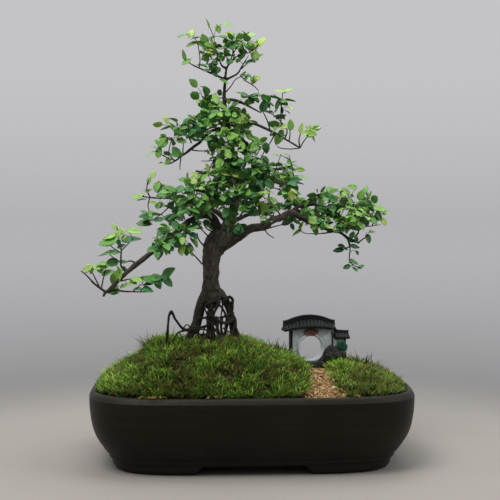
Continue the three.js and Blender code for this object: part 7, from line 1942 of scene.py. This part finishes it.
            # stalk
            a3 = np.linspace(0, 2 * np.pi, 4, endpoint=False)
            rings = []
            for s, rr in ((0.0, 0.30), (0.5, 0.24), (1.0, 0.26)):
                cc = q + (start + y * L * 0.05 - q) * s - np.array([0, 0, 0.25]) * math.sin(math.pi * s)
                rings.append(cc + np.outer(np.cos(a3), x) * rr + np.outer(np.sin(a3), z) * rr)
            pv, pf, pt = loft(rings)
            o2 = off + len(V)
            Fq.append(pf[:, ::-1] + o2); Ft.append(pt[:, ::-1] + o2)
            Vs.append(pv)
            Us.append(np.full((len(pv), 2), 0.0) + np.array([(gx + 0.96) / G, (gy + 0.5) / G]) + np.column_stack([np.tile([0, 0.02, 0, -0.02], 3).tolist() + [0, 0], np.repeat([-0.2, 0, 0.2], 4).tolist() + [-0.22, 0.22]]) / G)
            Vw.append(np.tile([0.6, 0.5, 0.3], (len(pv), 1)))
            nvt = len(V) + len(pv)
            tone = float(np.clip(tone, 0.02, 1.0))
            Tn.append(np.full(nvt, tone)); Hu.append(np.full(nvt, float(np.clip(rng.normal(0.5, 0.2), 0, 1))))
            off += nvt
        ob = build("spray_" + key.replace("leaves_", ""), np.vstack(Vs), [np.concatenate(Fq), np.concatenate(Ft)], [LEAF], uv=np.vstack(Us), attrs={"tone": np.concatenate(Tn), "hue": np.concatenate(Hu), "leaf_vw": np.vstack(Vw)})
        settle(ob, key)
    # ----- fine twigs
    Vs, Fq, Ft, uvw = [], [], [], []
    off = 0
    for line in ROOTLETS:
        twigs.append(resample(line, 2.0))
    for ti, P in enumerate(twigs):
        P = np.asarray(P, float)
        V, F, T, _, _ = tube(P, 6 if P[:, 3].max() < 0.7 else 8, cap=False)
        Vs.append(V); Fq.append(F + off); Ft.append(T + off); off += len(V)
        uvw.append(V / 2.5 + ti * 3.3)
    V = np.vstack(Vs)
    ob = build("tree_twigs", V, [np.concatenate(Fq), np.concatenate(Ft)], [BARK], attrs={"bark_uvw": np.vstack(uvw), "red": np.zeros(len(V)), "young_bark_and_shade": np.full(len(V), 0.8)})
    settle(ob, None)
    return total


SPACING, TARGET_VOL, TIP2 = 6.0, 1180.0, 0.72


# ---------------------------------------------------------------- stage
FRONT_DIM = 0.50


def make_stage():
    world = bpy.data.worlds.new("studio")
    bpy.context.scene.world = world
    world.use_nodes = True
    nt = world.node_tree
    nt.nodes.clear()
    out = nt.nodes.new("ShaderNodeOutputWorld")
    bg = nt.nodes.new("ShaderNodeBackground")
    co = nt.nodes.new("ShaderNodeTexCoord")
    sep = nt.nodes.new("ShaderNodeSeparateXYZ")
    nt.links.new(co.outputs["Generated"], sep.inputs[0])
    # pale all round at the height of the eye, dimmer on the camera's side of the room, brightest overhead
    r = ramp(nt, [(0.0, (0.472, 0.467, 0.482)), (0.5, (0.472, 0.467, 0.482)), (0.534, (0.540, 0.535, 0.550)), (0.562, (0.578, 0.573, 0.588)), (0.7, (0.59, 0.59, 0.61)), (1.0, (0.80, 0.80, 0.82))])
    mr = nt.nodes.new("ShaderNodeMapRange")
    mr.inputs["From Min"].default_value = -1.0
    nt.links.new(sep.outputs[2], mr.inputs["Value"])
    nt.links.new(mr.outputs[0], r.inputs[0])
    front = nt.nodes.new("ShaderNodeMapRange")
    front.interpolation_type = "SMOOTHSTEP"
    front.inputs["From Min"].default_value = -0.75
    front.inputs["From Max"].default_value = 0.05
    front.inputs["To Min"].default_value = FRONT_DIM
    nt.links.new(sep.outputs[1], front.inputs["Value"])
    nt.links.new(mix(nt, (0.0, 0.0, 0.0), r.outputs[0], front.outputs[0]), bg.inputs["Color"])
    bg.inputs["Strength"].default_value = 0.95
    nt.links.new(bg.outputs[0], out.inputs[0])

    # floor: pale near the pot; further off it glows, a painted backdrop light fading into the backdrop's own grey,
    # dimmed on the camera's side
    m, nt, b, mout = new_material("floor")
    co = obj_coords(nt)
    n = tex_noise(nt, 3.0, 3.0, 0.5, co)
    c = ramp(nt, [(0.3, (0.283, 0.262, 0.238)), (0.7, (0.310, 0.289, 0.265))], n.outputs[0])
    nt.links.new(c.outputs[0], b.inputs["Base Color"])
    b.inputs["Roughness"].default_value = 0.8
    ln = nt.nodes.new("ShaderNodeVectorMath")
    ln.operation = "LENGTH"
    nt.links.new(co, ln.inputs[0])
    mp = nt.nodes.new("ShaderNodeMapRange")
    mp.interpolation_type = "SMOOTHSTEP"
    mp.inputs["From Min"].default_value = 0.34
    mp.inputs["From Max"].default_value = 0.80
    nt.links.new(ln.outputs["Value"], mp.inputs["Value"])
    em = nt.nodes.new("ShaderNodeEmission")
    unit = nt.nodes.new("ShaderNodeVectorMath")
    unit.operation = "NORMALIZE"
    nt.links.new(co, unit.inputs[0])
    us = nt.nodes.new("ShaderNodeSeparateXYZ")
    nt.links.new(unit.outputs[0], us.inputs[0])
    front = nt.nodes.new("ShaderNodeMapRange")
    front.interpolation_type = "SMOOTHSTEP"
    front.inputs["From Min"].default_value = -0.75
    front.inputs["From Max"].default_value = 0.05
    front.inputs["To Min"].default_value = FRONT_DIM
    nt.links.new(us.outputs[1], front.inputs["Value"])
    # the glow of the backdrop's sweep is painted a little darker where it leaves the floor
    far = math_node(nt, "DIVIDE", ln.outputs["Value"], math_node(nt, "ADD", ln.outputs["Value"], 1.0))
    sweep = ramp(nt, [(0.26, (0.262, 0.258, 0.261)), (0.36, (0.280, 0.277, 0.281)), (0.545, (0.355, 0.351, 0.359)), (0.714, (0.425, 0.421, 0.434)), (0.88, (0.472, 0.467, 0.482))], far)
    nt.links.new(mix(nt, (0.0, 0.0, 0.0), sweep.outputs[0], front.outputs[0]), em.inputs["Color"])
    em.inputs["Strength"].default_value = 0.95
    ms = nt.nodes.new("ShaderNodeMixShader")
    nt.links.new(mp.outputs[0], ms.inputs[0])
    nt.links.new(b.outputs[0], ms.inputs[1])
    nt.links.new(em.outputs[0], ms.inputs[2])
    nt.links.new(ms.outputs[0], mout.inputs[0])
    k = 96
    a = np.linspace(0, 2 * np.pi, k, endpoint=False)
    radii = [300, 600, 1200, 2500, 5000, 9000]
    V = np.vstack([[[0, 0, 0]]] + [np.column_stack([r0 * np.cos(a), r0 * np.sin(a), np.zeros(k)]) for r0 in radii])
    j = np.arange(k); nx = (j + 1) % k
    T = np.stack([np.zeros(k, int), 1 + j, 1 + nx], 1)
    Q = np.concatenate([np.stack([1 + i * k + j, 1 + (i + 1) * k + j, 1 + (i + 1) * k + nx, 1 + i * k + nx], 1) for i in range(len(radii) - 1)])
    fl = build("stage_floor", V, [T, Q], [m], smooth=False)
    fl.location.z = -0.0002

    def area(name, loc, target, size, power, colour=(1, 1, 1), size_y=None):
        d = bpy.data.lights.new(name, "AREA")
        d.shape = "RECTANGLE"
        d.size, d.size_y = size, size_y or size
        d.energy = power
        d.color = colour
        o = bpy.data.objects.new(name, d)
        o.location = loc
        o.rotation_euler = (Vector(target) - Vector(loc)).to_track_quat("-Z", "Y").to_euler()
        bpy.context.scene.collection.objects.link(o)
        return o
    area("key", (-0.75, -1.05, 2.0), (0, 0, 0.25), 1.1, 34, (1.0, 0.985, 0.955))
    area("fill", (1.5, -0.6, 1.3), (0, 0, 0.25), 1.2, 9, (0.97, 0.98, 1.0))
    area("top", (0.1, 0.35, 2.0), (0, 0, 0.3), 1.4, 16, (1.0, 1.0, 1.0))


make_pot()
make_bed()
make_blades()
make_gravel()
make_gate_wall()
roof("gate_roof", -36.5, 33.5, lambda x: 174 - 9 * ((x + 1.5) / 35.0) ** 2, lambda x: 156.6 - 3 * (x / 30.0) ** 2, 13.0, 5.0, 4.6, 3.0, "gate_roof", 1.6, 0.0, 91)
roof("gate_side_roof", 32.6, 52.5, lambda x: 153.4 - 1.4 * (x - 32) / 20, lambda x: 141.5 - 0.8 * (x - 32) / 20, 10.0, 4.6, 2.8, 2.4, "gate_side_roof", 1.5, 0.0, 97)
make_gate_details()
_C, _R = make_wood()
_total = make_leaves(_C, _R)
make_stage()

for _name, _mat in (("soil", SOIL), ("drainage_mesh_left", NET), ("drainage_mesh_right", NET)):
    _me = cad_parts[_name].data
    _me.materials.clear()
    _me.materials.append(_mat)
